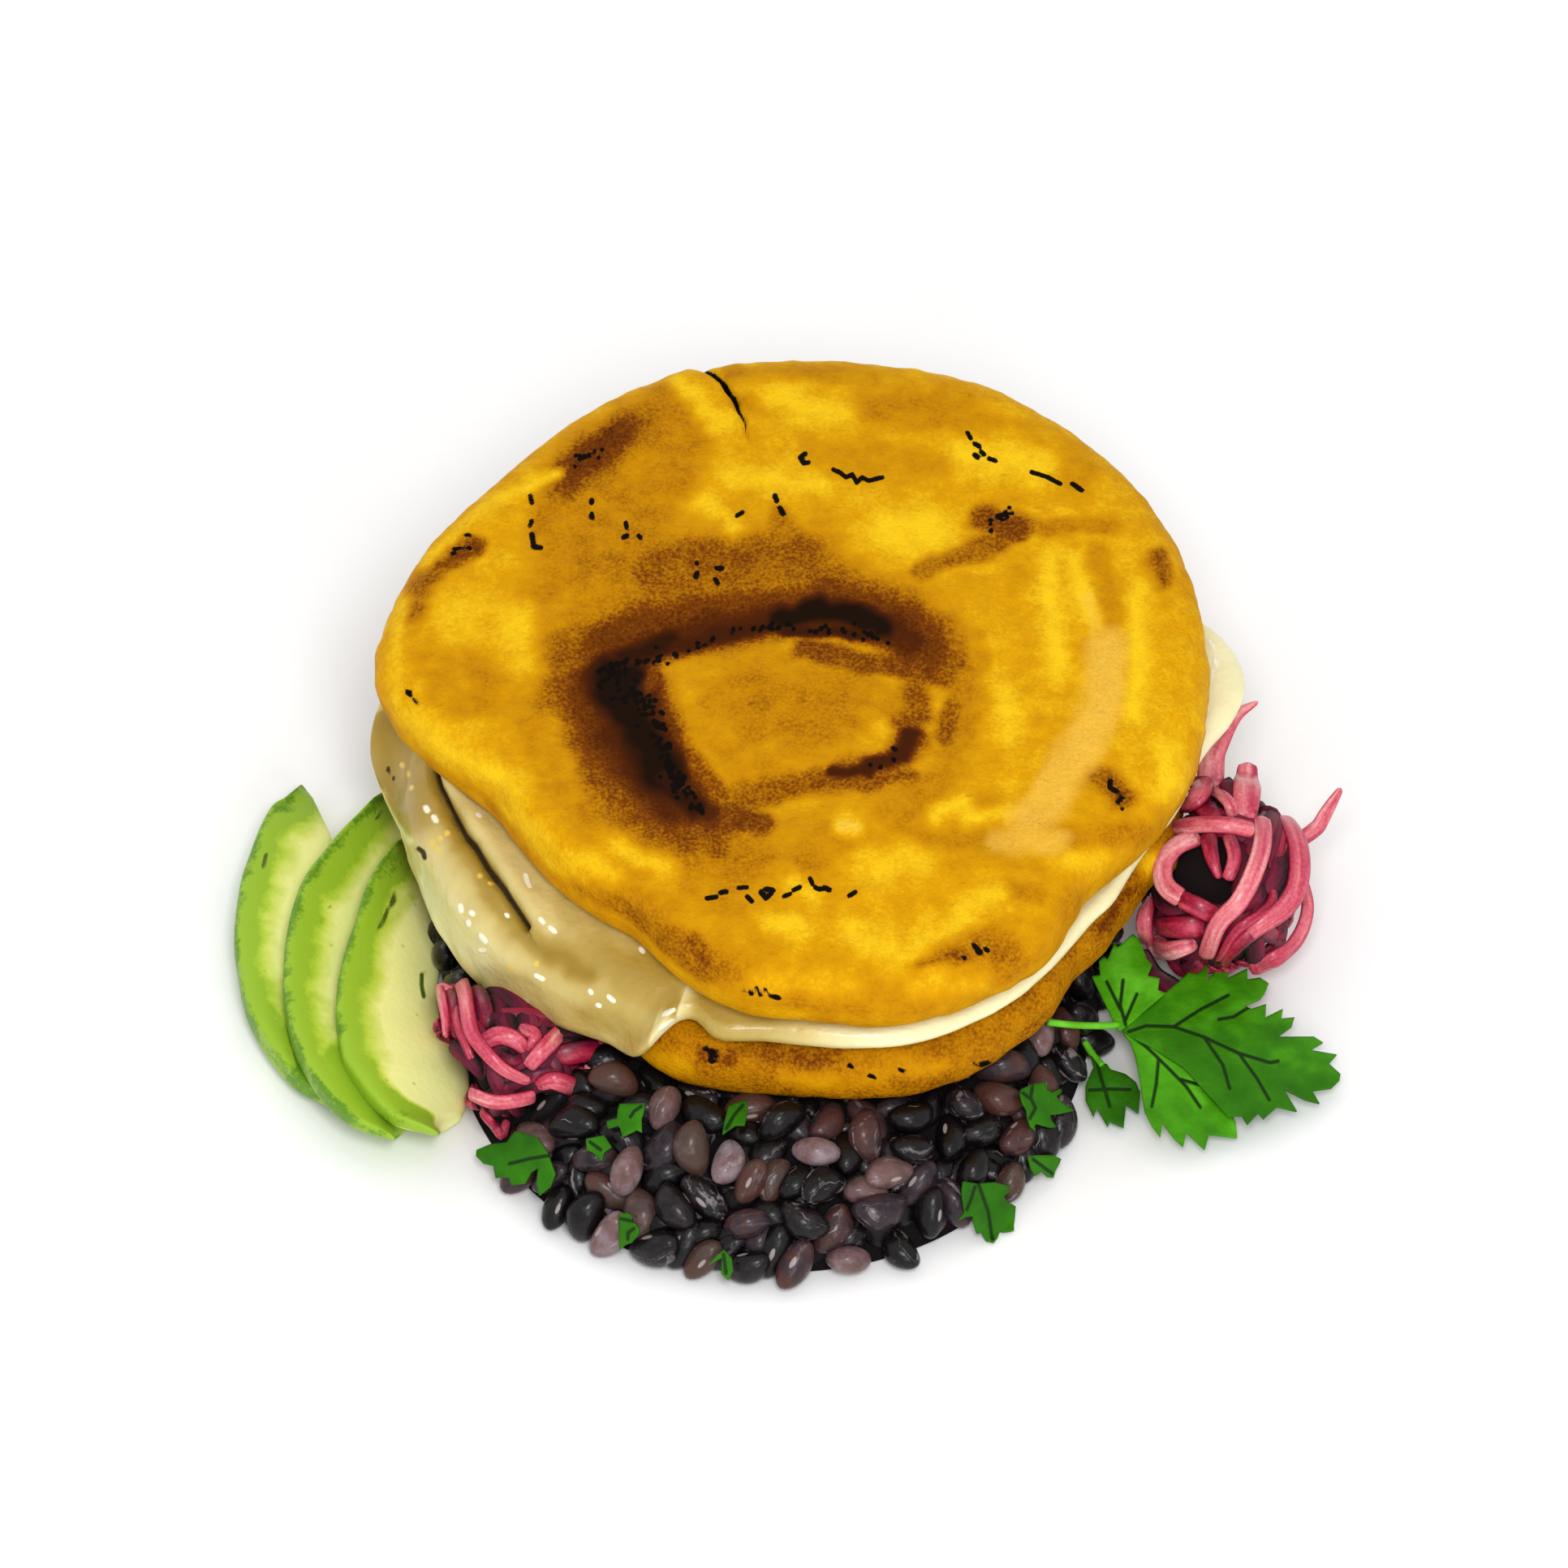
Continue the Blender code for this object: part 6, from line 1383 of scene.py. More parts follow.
def kidney():
    """One smooth bean, lying along X, with its eye on the hollow side."""
    points, faces = ball(3, 0.5)
    x, y, z = points.T
    plump = 1.0 + BEAN_PLUMP * (1.0 - 4.0 * x * x)
    bent = BEAN_BEND * (4.0 * x * x - 0.5)
    shaped = np.column_stack((BEAN_SIZE[0] * x, BEAN_SIZE[1] * y * plump + bent, BEAN_SIZE[2] * z * plump))
    eye = {"eye_along": shaped[:, 0] / MILLIMETRE, "eye_over": shaped[:, 2] / MILLIMETRE + 6.0 * (y < 0.1)}
    return shaped, faces, eye


def resting_matrix(spot, normal, yaw, tip, roll, scale):
    """Stands a piece on a slope, turned about the slope's normal, tipped and rolled."""
    side = normal.orthogonal().normalized()
    along = normal.cross(side)
    stand = Matrix((side, along, normal)).transposed().to_4x4()
    turned = Matrix.Rotation(yaw, 4, "Z") @ Matrix.Rotation(tip, 4, "Y") @ Matrix.Rotation(roll, 4, "X")
    return Matrix.Translation(spot) @ stand @ turned @ Matrix.Scale(scale, 4)


def node_walls(names):
    """A search tree and the box of each node, and whether it is more than a thin sheet."""
    walls = []
    for name in names:
        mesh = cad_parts[name].data
        corners = np.array([vertex.co for vertex in mesh.vertices])
        tree = BVHTree.FromPolygons(corners.tolist(), [tuple(face.vertices) for face in mesh.polygons])
        walls.append((tree, corners.min(axis=0), corners.max(axis=0), not name.startswith("coriander")))
    return walls


def clear_of(walls, spot, room):
    """Whether a ball of the given radius lies outside every neighbour."""
    upward = Vector((0.0, 0.0, 1.0))
    for tree, low, high, solid in walls:
        if any(s < l - room or s > h + room for s, l, h in zip(spot, low, high)):
            continue
        if tree.find_nearest(spot, room)[0] is not None:
            return False
        crossings, hit = 0, tree.ray_cast(spot, upward)[0]
        while solid and hit is not None and crossings < 20:
            crossings += 1
            hit = tree.ray_cast(hit + upward * 1e-6, upward)[0]
        if crossings % 2:
            return False
    return True


def build_beans(looks):
    """Beans in layers over the core, packed at random and clear of what lies round them."""
    draw = random.Random(11)
    walls = node_walls([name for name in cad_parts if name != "black_beans"])
    bean, bean_faces, eye = kidney()
    room = BEAN_SIZE[2] / 2 * BEAN_ROOM
    offsets = [Vector((BEAN_SIZE[0] * share, 0.0, 0.0)) for share in (-0.30, 0.0, 0.30)]
    taken = np.empty((0, 3))
    pieces = [mound_core()]
    for proud, apart, tries, back_foot in BEAN_LAYERS:
        nearest = BEAN_SIZE[2] * apart * looks.crowding
        for _ in range(tries):
            share = draw.choice((math.sqrt(draw.uniform(0.30, 1.02)), draw.uniform(0.84, 1.03)))
            share = draw.uniform(0.94, 1.08) if back_foot else share
            angle = draw.uniform(0.0, 2 * math.pi)
            scale = looks.scale * (1.0 + BEAN_SPREAD * draw.uniform(-1, 1))
            yaw, roll = draw.uniform(0.0, 2 * math.pi), draw.uniform(0.0, 2 * math.pi)
            tip = math.radians(draw.uniform(-BEAN_TIP, BEAN_TIP))
            tint, dusty = BEAN_TONES[0] + BEAN_TONES[1] * draw.random() ** 2.0, draw.random()
            x = MOUND_MIDDLE[0] + MOUND_HALF[0] * share * math.cos(angle)
            y = MOUND_MIDDLE[1] + MOUND_HALF[1] * share * math.sin(angle)
            if back_foot and y < 0.0:
                continue
            normal = mound_normal(x, y)
            spot = Vector((x, y, mound_height(x, y))) + normal * proud
            spot.z = max(spot.z, BEAN_LOWEST)
            matrix = resting_matrix(spot, normal, yaw, tip, roll, scale)
            chain = [matrix @ offset for offset in offsets]
            centres = np.array([tuple(c) for c in chain])
            if len(taken) and np.min(np.linalg.norm(taken - centres[:, None], axis=2)) < nearest:
                continue
            if not all(clear_of(walls, c, room) for c in chain):
                continue
            points = bean @ np.array(matrix.to_3x3()).T + np.array(spot)
            points[:, 2] += max(ABOVE_TABLE - points[:, 2].min(), 0.0)
            taken = np.vstack((taken, centres))
            # Beans deep in the heap get painted shade: their tint falls towards the sauce colour
            values = {"tint": tint * ramp(proud, *BEAN_SHADE), "dusty": dusty, **eye}
            pieces.append((points, bean_faces, values))
    settle(joined("black_bean_heap", pieces, bean_material(looks)), "black_beans")


def build_slice(number, material):
    """One wedge of avocado on its side: the rind edge outward and thick, the stone side thin."""
    lift, bare, *rows = SLICES[number]
    outer, inner = (part / MILLIMETRE for part in SLICE_THICK)
    rows = np.array(rows)
    fine = even_curve(rows, 160)[::-1]
    work = bmesh.new()
    bmesh.ops.create_uvsphere(work, u_segments=SLICE_STEPS[0], v_segments=SLICE_STEPS[1], radius=1.0)
    work.normal_update()
    bmesh.ops.recalc_face_normals(work, faces=work.faces)
    sphere, faces = points_and_faces(work)
    round_x, round_z, end = sphere.T
    girth = np.maximum(1.0 - end * end, 0.0) ** SLICE_FULLNESS
    angle = np.arctan2(round_z, round_x)
    side = np.copysign(np.abs(np.cos(angle)) ** SLICE_CORNERS[0], np.cos(angle))
    face = np.copysign(np.abs(np.sin(angle)) ** SLICE_CORNERS[1], np.sin(angle))
    level = rows[-1, 0] + (rows[0, 0] - rows[-1, 0]) * (0.5 + 0.5 * end)
    left, right = (np.interp(level, fine[:, 0], fine[:, column]) for column in (1, 2))
    x = (left + right) / 2 + (right - left) / 2 * side * np.minimum(girth * 2.0, 1.0)
    outward = 0.5 - 0.5 * side
    thick = (inner + (outer - inner) * outward) * np.minimum(girth * SLICE_END_THICK, 1.0)
    middle = inner / 2 + (lift + outer / 2 - inner / 2) * outward
    y = (level - middle * SEEN_UP.z) / SEEN_UP.y
    points = np.column_stack((x, y, middle + thick / 2 * face)) * MILLIMETRE
    size, seed, height = SLICE_WAVES
    points = points + height * np.column_stack([roughened(points, size, seed + axis) for axis in range(3)])
    points[:, 2] = np.maximum(points[:, 2], 0.0)
    made = mesh_object(f"avocado_wedge_{number + 1}", points, faces, material)
    seen_right, seen_up = seen(points)
    edge = [rows[0, 2], rows[0, 0], *rows[:-bare, [1, 0]].ravel()]
    depth = stroke_reach(seen_right, seen_up, edge)[0] / SLICE_BROAD
    depth = painted(depth, AVOCADO_MARKS, seen_right, seen_up)
    give(made, depth=np.clip(depth, 0.0, 1.0),
         tick=dashed(seen_right, seen_up, AVOCADO_TICKS, TICK_SIZE, face > 0.0))
    settle(made, f"avocado_slice_{number + 1}")


def on_pile(pile, seen_right, seen_up, lift, side):
    """The point of a pile, or of its outline, that the eater sees at a place, or the point behind it."""
    middle, half = (Vector(part) for part in pile)
    across = (SEEN_RIGHT * seen_right + SEEN_UP * seen_up) * MILLIMETRE
    flat = Vector([a / h for a, h in zip(across, half)])
    towards = Vector([a / h for a, h in zip(EATER, half)])
    size = towards.dot(towards)
    nearest = -flat.dot(towards) / size
    beside = flat + towards * nearest
    level = 1.0 + lift
    if lift < 0.0 and beside.length > level:
        beside *= level / beside.length
    depth = math.sqrt(max(level ** 2 - beside.dot(beside), 0.0) / size)
    placed = beside + towards * depth * side
    return middle + Vector([p * h for p, h in zip(placed, half)])


def pile_centre(pile):
    """The middle of a pile as seen."""
    middle = Vector(pile[0])
    return np.array((middle.x, middle.dot(SEEN_UP))) / MILLIMETRE


def onion_ribbon(pile, row, side, looks):
    """A curled strip of onion: a slightly cupped ribbon with rounded edges, and its values."""
    steps, spokes = STRIP_STEPS
    tone, lifts, widths, *way = row
    middle = Vector(pile[0])
    share = np.linspace(0.0, 1.0, steps + 1)
    weights = ((1 - share) * (1 - 2 * share), 4 * share * (1 - share), share * (2 * share - 1))
    lift = sum(weight * part for weight, part in zip(weights, lifts))
    wide = sum(weight * part for weight, part in zip(weights, widths)) * MILLIMETRE * looks.width
    spots = even_curve(np.array(way).reshape(-1, 2) - pile_centre(pile), steps + 1)
    spots = np.array([on_pile(pile, *spot, level, side) for spot, level in zip(spots, lift)])
    for _ in range(4):
        spots[1:-1] = (spots[:-2] + spots[1:-1] * 2 + spots[2:]) / 4
    spots = even_curve(spots, steps + 1)
    from_end = np.minimum(share, 1.0 - share)
    ends = np.sqrt(np.clip(1.0 - (1.0 - from_end / STRIP_END) ** 2, 0.0, 1.0))
    ends = np.where(from_end < STRIP_END, 0.25 + 0.75 * ends, 1.0)
    angle = 2 * math.pi * np.arange(spokes) / spokes
    over = np.copysign(np.abs(np.cos(angle)) ** 0.7, np.cos(angle))
    points = []
    for step, here in enumerate(Vector(spot) for spot in spots):
        ahead = Vector(spots[min(step + 1, steps)] - spots[max(step - 1, 0)])
        outward = (here - middle).normalized()
        if side > 0.0:
            outward = outward * 0.55 + EATER
        across = ahead.cross(outward).normalized()
        outward = across.cross(ahead).normalized()
        half = wide[step] / 2 * ends[step]
        rise = looks.thickness / 2 * ends[step] * np.sin(angle) - STRIP_CUP * 2 * half * (over * over - 0.5)
        points.append(np.array(here) + np.outer(over * half, across) + np.outer(rise, outward))
    points = np.vstack(points)
    points[:, 2] = np.maximum(points[:, 2], ABOVE_TABLE)
    shaded = tone * (1.0 - 0.35 * ramp(-lift, 0.03, 0.20))
    values = {"along": np.repeat(share, spokes), "across": np.tile(over, steps + 1),
              "tone": np.repeat(shaded, spokes)}
    return points, tube_faces(steps, spokes), values


def filling_rows(draw, pile, filling, kept_free):
    """Shorter strips at random between the laid ones, close to the core."""
    count, tones, lifts = filling
    centre = pile_centre(pile)
    wide = pile[1][0] / MILLIMETRE
    tall = (pile[1][1] * SEEN_UP.y + pile[1][2] * SEEN_UP.z) / MILLIMETRE * 0.8
    made = 0
    while made < count:
        angle, length = draw.uniform(0.0, 2 * math.pi), draw.uniform(0.40, 0.65)
        spot = centre + np.array((wide * draw.uniform(-0.6, 0.6), tall * draw.uniform(-0.6, 0.5)))
        along = np.array((math.cos(angle) * wide, math.sin(angle) * tall)) * length
        bow = np.array((-along[1], along[0])) * draw.uniform(-0.35, 0.35)
        row = (draw.uniform(*tones), lifts, (2.0, draw.uniform(2.6, 3.6), 2.0),
               *(spot - along), *(spot + bow), *(spot + along))
        way = even_curve(np.array(row[3:]).reshape(-1, 2), 12)
        if all(np.linalg.norm(way - free, axis=1).min() > OPENING_HALF for free in kept_free):
            made += 1
            yield row


def build_pile(name, pile, rows, node, looks, material, seed, front_free, side_free):
    """A core and the strips on it. Front strips keep the front places free, and all of them the side ones."""
    draw = random.Random(seed)
    middle, half = pile
    bare, core_faces = ball(4, PILE_CORE)
    core = []
    for x, y, z in bare:
        wide = half[0] * (LEFT_CORE_SIDE if side_free and x < 0.0 else 1.0)
        deep = half[2] if z > 0.0 else (middle[2] - ABOVE_TABLE) / PILE_CORE
        core.append((middle[0] + wide * x, middle[1] + half[1] * y, middle[2] + deep * z))
    core = np.array(core)
    # Painted shade: the core takes the near-black shade colour where it faces the eater, and wine behind
    behind = ramp(-(core - np.array(middle)) @ np.array(EATER), -0.003, 0.004)
    pieces = [(core, core_faces, {"along": 0.5, "across": 0.0, "tone": 0.14 * behind})]
    pieces += [onion_ribbon(pile, row, 1.0, looks) for row in rows]
    fillings = (FRONT_FILLING, 1.0, front_free + side_free), (BACK_FILLING, -1.0, side_free)
    for filling, side, free in fillings:
        pieces += [onion_ribbon(pile, row, side, looks) for row in filling_rows(draw, pile, filling, free)]
    settle(joined(name, pieces, material), node)


def inside(right, up, loop):
    """Which seen places lie within a closed line."""
    within = np.zeros(len(right), dtype=bool)
    for (x0, y0), (x1, y1) in zip(loop, np.roll(loop, 1, axis=0)):
        slope = (x1 - x0) / (y1 - y0) if y1 != y0 else 0.0
        within ^= ((y0 > up) != (y1 > up)) & (right < x0 + slope * (up - y0))
    return within


def leaf_sheet(shape, veins, base, ahead, beside, bend, light, seed):
    """A leaf cut to its outline as seen, laid on the plane of ahead and beside, and its values."""
    fold, droop, shade = bend
    spots = np.array(shape).reshape(-1, 2)
    edge = []
    for start, end in zip(spots, np.roll(spots, -1, axis=0)):
        count = max(int(np.linalg.norm(end - start) / LEAF_EDGE_STEP), 1)
        edge += [start + (end - start) * part / count for part in range(count)]
    low, high = spots.min(axis=0), spots.max(axis=0)
    x, y = np.meshgrid(np.arange(low[0], high[0], LEAF_STEP), np.arange(low[1], high[1], LEAF_STEP))
    x = (x + LEAF_STEP / 2 * (np.arange(len(x)) % 2)[:, None]).ravel()
    y = y.ravel()
    kept = inside(x, y, spots) & (stroke_reach(x, y, [*spots.ravel(), *spots[0]])[0] > LEAF_STEP * 0.7)
    flat = edge + list(np.column_stack((x[kept], y[kept])))
    spread, border = [Vector(spot) for spot in flat], list(range(len(edge)))
    flat, _, faces, *_ = delaunay_2d_cdt(spread, [], [border], 1, 1e-5)
    flat = np.array([tuple(spot) for spot in flat])
    reaches = [stroke_reach(flat[:, 0], flat[:, 1], way)[0] for way in veins]
    near = np.min(reaches, axis=0)
    rise = -fold * reaches[0] + LEAF_PUFF * (1.0 - np.exp(-(near / 1.3) ** 2))
    lifted = np.column_stack((flat, np.zeros(len(flat)))) * MILLIMETRE
    rise += waves(lifted, ((0.006, seed, LEAF_WAVE), (0.0025, seed, 0.3 * LEAF_WAVE)))
    up_way = ahead.cross(beside)
    looks = (SEEN_RIGHT, SEEN_UP)
    solve = np.linalg.inv(np.array([[way.dot(look) for way in (ahead, beside)] for look in looks]))
    lean = np.array([up_way.dot(look) for look in looks])
    start = np.array([base.dot(look) for look in looks]) / MILLIMETRE
    height = rise
    for _ in range(5):
        along, across = solve @ (flat - start - np.outer(height, lean)).T
        height = rise - droop * along * along
    points = np.array(base) + MILLIMETRE * (
        np.outer(along, ahead) + np.outer(across, beside) + np.outer(height, up_way))
    points[:, 2] = np.maximum(points[:, 2], ABOVE_TABLE + LEAF_THICK / 2)
    values = {"vein": np.maximum(1.0 - near, 0.0), "light": np.clip(light + shade * across, 0.0, 1.0)}
    return points, [tuple(face) for face in faces], values


def stalk(start, end):
    """A thin round stalk with a slight sag."""
    start, end = Vector(start), Vector(end)
    middle = (start + end) / 2 - Vector((0.0, 0.0, STALK_SAG))
    steps, spokes = STALK_STEPS
    points = []
    for share in (step / steps for step in range(steps + 1)):
        here = start * (1 - share) ** 2 + middle * 2 * share * (1 - share) + end * share ** 2
        along = ((middle - start) * (1 - share) + (end - middle) * share).normalized()
        side = along.orthogonal().normalized()
        up = along.cross(side)
        for angle in (2 * math.pi * spoke / spokes for spoke in range(spokes)):
            points.append(here + (side * math.cos(angle) + up * math.sin(angle)) * STALK_RADIUS)
    values = {"vein": 0.0, "light": STALK_LIGHT}
    return np.array([tuple(point) for point in points]), tube_faces(steps, spokes), values


def thickened(obj, thickness):
    """Gives a sheet its thickness."""
    skin = obj.modifiers.new("thickness", "SOLIDIFY")
    skin.thickness = thickness
    skin.offset = 0.0
    graph = bpy.context.evaluated_depsgraph_get()
    graph.update()
    mesh = bpy.data.meshes.new_from_object(obj.evaluated_get(graph))
    obj.modifiers.clear()
    obj.data = mesh
    return obj


def build_leaf(name, blades, base, stalk_end, material):
    """The blades of a leaf as one piece and its stalk as another."""
    pieces = []
    for number, (bearing, pitch, light, fold, shape, veins) in enumerate(blades):
        bearing, pitch = math.radians(bearing), math.radians(pitch)
        level = math.cos(pitch)
        ahead = Vector((math.cos(bearing) * level, math.sin(bearing) * level, math.sin(pitch)))
        beside = Vector((-math.sin(bearing), math.cos(bearing), 0.0))
        root = Vector(base) + Vector((0.0, 0.0, number * LEAF_THICK))
        bend = (fold, LEAF_DROOP, LEAF_SHADE)
        pieces.append(leaf_sheet(shape, veins, root, ahead, beside, bend, light, 51.0 + number))
    settle(thickened(joined(name + "_blades", pieces, material), LEAF_THICK), name)
    settle(joined(name + "_stalk", [stalk(base, stalk_end)], material), name)


def build_scrap(number, material):
    """A chopped scrap of leaf on top of the beans."""
    x, y = SCRAP_PLACES[number]
    normal = mound_normal(x, y)
    base = Vector((x, y, mound_height(x, y))) + normal * (BEAN_TOP + SCRAP_LIFT)
    ahead = normal.cross(Vector((0.0, 1.0, 0.0))).normalized()
    shape, veins = SCRAP_SHAPES[number]
    beside = normal.cross(ahead)
    piece = leaf_sheet(shape, veins, base, ahead, beside, SCRAP_BEND, SCRAP_LIGHT, 61.0 + number)
    made = thickened(joined(f"chopped_coriander_{number + 1}", [piece], material), LEAF_THICK)
    settle(made, f"coriander_scrap_{number + 1}")


# What a user may change

def hue(name, description, default):
    """A colour that a user may change."""
    return bpy.props.FloatVectorProperty(
        name=name, description=description, subtype="COLOR", size=3, min=0.0, max=1.0, default=default)


class ArepaCrust(bpy.types.PropertyGroup):
    """Colours of the baked corn."""
    pale_gold: hue("Pale gold", "Crust that has baked least", (0.84, 0.52, 0.008))
    gold: hue("Gold", "Most of the crust", (0.64, 0.305, 0.0005))
    ochre: hue("Ochre", "Crust that has baked longer", (0.465, 0.186, 0.0002))
    brown: hue("Brown", "Browned crust", (0.190, 0.047, 0.0004))
    dark_brown: hue("Dark brown", "Crust at the edge of a burn", (0.070, 0.013, 0.0005))
    charred: hue("Charred", "Burnt crust", (0.010, 0.0035, 0.001))
    floury: hue("Floury", "Pale dusty streaks", (0.80, 0.47, 0.060))
    # Burnt specks, and the colour that the split darkens to with its depth
    char_speck: hue("Char speck", "Small burnt specks and splits", (0.004, 0.002, 0.001))


class ArepaCheese(bpy.types.PropertyGroup):
    """Colours of the melted cheese."""
    # Olive and tan also carry the painted shade of the flap
    olive: hue("Olive", "Cheese in the hollows", (0.29, 0.175, 0.008))
    tan: hue("Tan", "Cheese that has browned a little", (0.42, 0.285, 0.050))
    butter: hue("Butter", "Most of the flap", (0.65, 0.53, 0.20))
    cream: hue("Cream", "The palest cheese", (0.84, 0.79, 0.47))
    fat_spot: hue("Fat spot", "Small yellow spots of fat", (0.75, 0.52, 0.08))
    # Painted highlights on the cheese, as small pale spots
    fat_bead: hue("Fat bead", "Small pale drops of fat", (0.88, 0.85, 0.66))
    # Painted shade at the bottom of the crease and in the nicks
    deep_fold: hue("Deep fold", "The bottom of a fold", (0.040, 0.020, 0.002))


class ArepaBeans(bpy.types.PropertyGroup):
    """Size and colours of the black beans."""
    scale: bpy.props.FloatProperty(
        name="Bean scale", description="Size of a bean against a 9.1 mm one", default=1.0, min=0.8, max=1.2)
    crowding: bpy.props.FloatProperty(
        name="Crowding", description="How far apart the beans stay", default=1.0,
        min=0.7, max=1.2)
    sauce: hue("Sauce", "The sauce between the beans", (0.004, 0.003, 0.003))
    black: hue("Black", "The darkest beans", (0.006, 0.0045, 0.005))
    plum: hue("Plum", "Beans with a purple skin", (0.030, 0.019, 0.026))
    taupe: hue("Taupe", "Beans with a grey brown skin", (0.060, 0.038, 0.030))
    chestnut: hue("Chestnut", "Beans with a brown skin", (0.075, 0.026, 0.019))
    mauve: hue("Mauve", "Beans with a rosy skin", (0.150, 0.080, 0.078))
    grey: hue("Grey", "Beans with a dusty skin", (0.260, 0.210, 0.235))
    # A dusty bloom and painted sheen on the beans
    dust: hue("Dust", "The dusty bloom on a skin", (0.30, 0.26, 0.27))
    eye: hue("Eye", "The pale eye of a bean", (0.52, 0.46, 0.42))


class ArepaOnion(bpy.types.PropertyGroup):
    """Size and colours of the pickled onion."""
    width: bpy.props.FloatProperty(
        name="Strip width", description="Width of the strips against the laid ones", default=1.04,
        min=0.5, max=1.5)
    thickness: bpy.props.FloatProperty(
        name="Thickness", description="Thickness of a strip", default=0.0009, unit="LENGTH",
        min=0.0006, max=0.002)
    shade: hue("Shade", "The core between the strips", (0.006, 0.002, 0.003))
    wine: hue("Wine", "Onion in the shade of the pile", (0.110, 0.004, 0.024))
    magenta: hue("Magenta", "The deepest pink", (0.33, 0.006, 0.036))
    rose: hue("Rose", "Strong pink", (0.52, 0.044, 0.092))
    pink: hue("Pink", "Light pink", (0.69, 0.165, 0.195))
    blush: hue("Blush", "The palest streaks", (0.84, 0.44, 0.44))


class ArepaAvocado(bpy.types.PropertyGroup):
    """Colours of the avocado."""
    skin_side: hue("Skin side", "The dark green edge", (0.105, 0.250, 0.008))
    leaf_green: hue("Leaf green", "Flesh next to the skin", (0.290, 0.470, 0.022))
    lime: hue("Lime", "Flesh inside the green band", (0.46, 0.62, 0.045))
    yellow_green: hue("Yellow green", "Flesh on the way in", (0.70, 0.76, 0.16))
    pale_flesh: hue("Pale flesh", "Most of the cut face", (0.91, 0.91, 0.33))
    stone_side: hue("Stone side", "Flesh next to the stone", (0.92, 0.92, 0.36))
    bruise: hue("Bruise", "Small dark marks", (0.085, 0.130, 0.010))


class ArepaLeaves(bpy.types.PropertyGroup):
    """Colours of the coriander."""
    deep_green: hue("Deep green", "Leaf in shade", (0.012, 0.085, 0.0008))
    fresh_green: hue("Fresh green", "Most of the leaf", (0.030, 0.175, 0.001))
    bright_green: hue("Bright green", "Lit parts of the leaf", (0.070, 0.330, 0.004))
    young_green: hue("Young green", "Stalks and tips", (0.160, 0.600, 0.030))
    vein_green: hue("Vein green", "Veins", (0.006, 0.030, 0.002))


class ArepaStage(bpy.types.PropertyGroup):
    """The floor, the lights and the camera."""
    floor: hue("Floor", "The pale floor", (0.95, 0.95, 0.95))
    key_power: bpy.props.FloatProperty(
        name="Key light", description="Power of the large light", default=4.2, unit="POWER", min=0.0)
    fill_power: bpy.props.FloatProperty(
        name="Fill light", description="Power of the small lights", default=1.25, unit="POWER", min=0.0)
    sky: bpy.props.FloatProperty(
        name="Sky", description="Strength of the even light from all round", default=0.84, min=0.0)
    look_down: bpy.props.FloatProperty(
        name="Look down", description="How steeply the camera looks down", default=LOOK_DOWN, subtype="ANGLE",
        min=0.0, max=math.pi / 2)
    distance: bpy.props.FloatProperty(
        name="Distance", description="From the camera to the arepa", default=4.0, unit="LENGTH", min=0.5)
    frame_width: bpy.props.FloatProperty(
        name="Frame width", description="Width of the view at the arepa", default=0.2639,
        unit="LENGTH", min=0.05)


# Operators, one for each piece or group of like pieces and one for the stage

class AREPA_OT_top_cake(bpy.types.Operator):
    """Build the top corn cake with its burnt ring"""
    bl_idname = "arepa.top_cake"
    bl_label = "Top corn cake"

    def execute(self, context):
        build_top_cake(context.scene.arepa_crust)
        return {"FINISHED"}


class AREPA_OT_bottom_cake(bpy.types.Operator):
    """Build the bottom corn cake"""
    bl_idname = "arepa.bottom_cake"
    bl_label = "Bottom corn cake"

    def execute(self, context):
        build_bottom_cake(context.scene.arepa_crust)
        return {"FINISHED"}


class AREPA_OT_cheese(bpy.types.Operator):
    """Build the melted cheese with its fallen flap"""
    bl_idname = "arepa.cheese"
    bl_label = "Melted cheese"

    def execute(self, context):
        build_cheese(context.scene.arepa_cheese)
        return {"FINISHED"}


class AREPA_OT_beans(bpy.types.Operator):
    """Heap the black beans on their core"""
    bl_idname = "arepa.beans"
    bl_label = "Black beans"

    def execute(self, context):
        build_beans(context.scene.arepa_beans)
        return {"FINISHED"}


class AREPA_OT_onion(bpy.types.Operator):
    """Lay the two piles of pickled onion"""
    bl_idname = "arepa.onion"
    bl_label = "Pickled onion"

    def execute(self, context):
        onion = context.scene.arepa_onion
        material = onion_material(onion)
        build_pile("onion_strips_right", RIGHT_PILE, RIGHT_STRIPS, "pickled_onion_right", onion, material, 5,
                   (RIGHT_OPENING,), ())
        build_pile("onion_strips_left", LEFT_PILE, LEFT_STRIPS, "pickled_onion_left", onion, material, 6,
                   (), (LEFT_SIDE,))
        return {"FINISHED"}


class AREPA_OT_avocado(bpy.types.Operator):
    """Fan the avocado slices"""
    bl_idname = "arepa.avocado"
    bl_label = "Avocado slices"

    def execute(self, context):
        material = avocado_material(context.scene.arepa_avocado)
        for number in range(len(SLICES)):
            build_slice(number, material)
        return {"FINISHED"}


class AREPA_OT_coriander(bpy.types.Operator):
    """Lay the coriander sprig, the small leaf and the chopped scraps"""
    bl_idname = "arepa.coriander"
    bl_label = "Coriander"

    def execute(self, context):
        material = leaf_material(context.scene.arepa_leaves)
        build_leaf("coriander_sprig", SPRIG_BLADES, SPRIG_FORK, SPRIG_STALK_END, material)
        build_leaf("coriander_leaf", SMALL_LEAF_BLADE, SMALL_LEAF_BASE, SMALL_LEAF_STALK_END, material)
        for number in range(len(SCRAP_SHAPES)):
            build_scrap(number, material)
        return {"FINISHED"}


class AREPA_OT_stage(bpy.types.Operator):
    """Set the floor, the lights and the camera"""
    bl_idname = "arepa.stage"
    bl_label = "Stage"

    def execute(self, context):
        build_stage(context.scene, context.scene.arepa_stage)
        return {"FINISHED"}


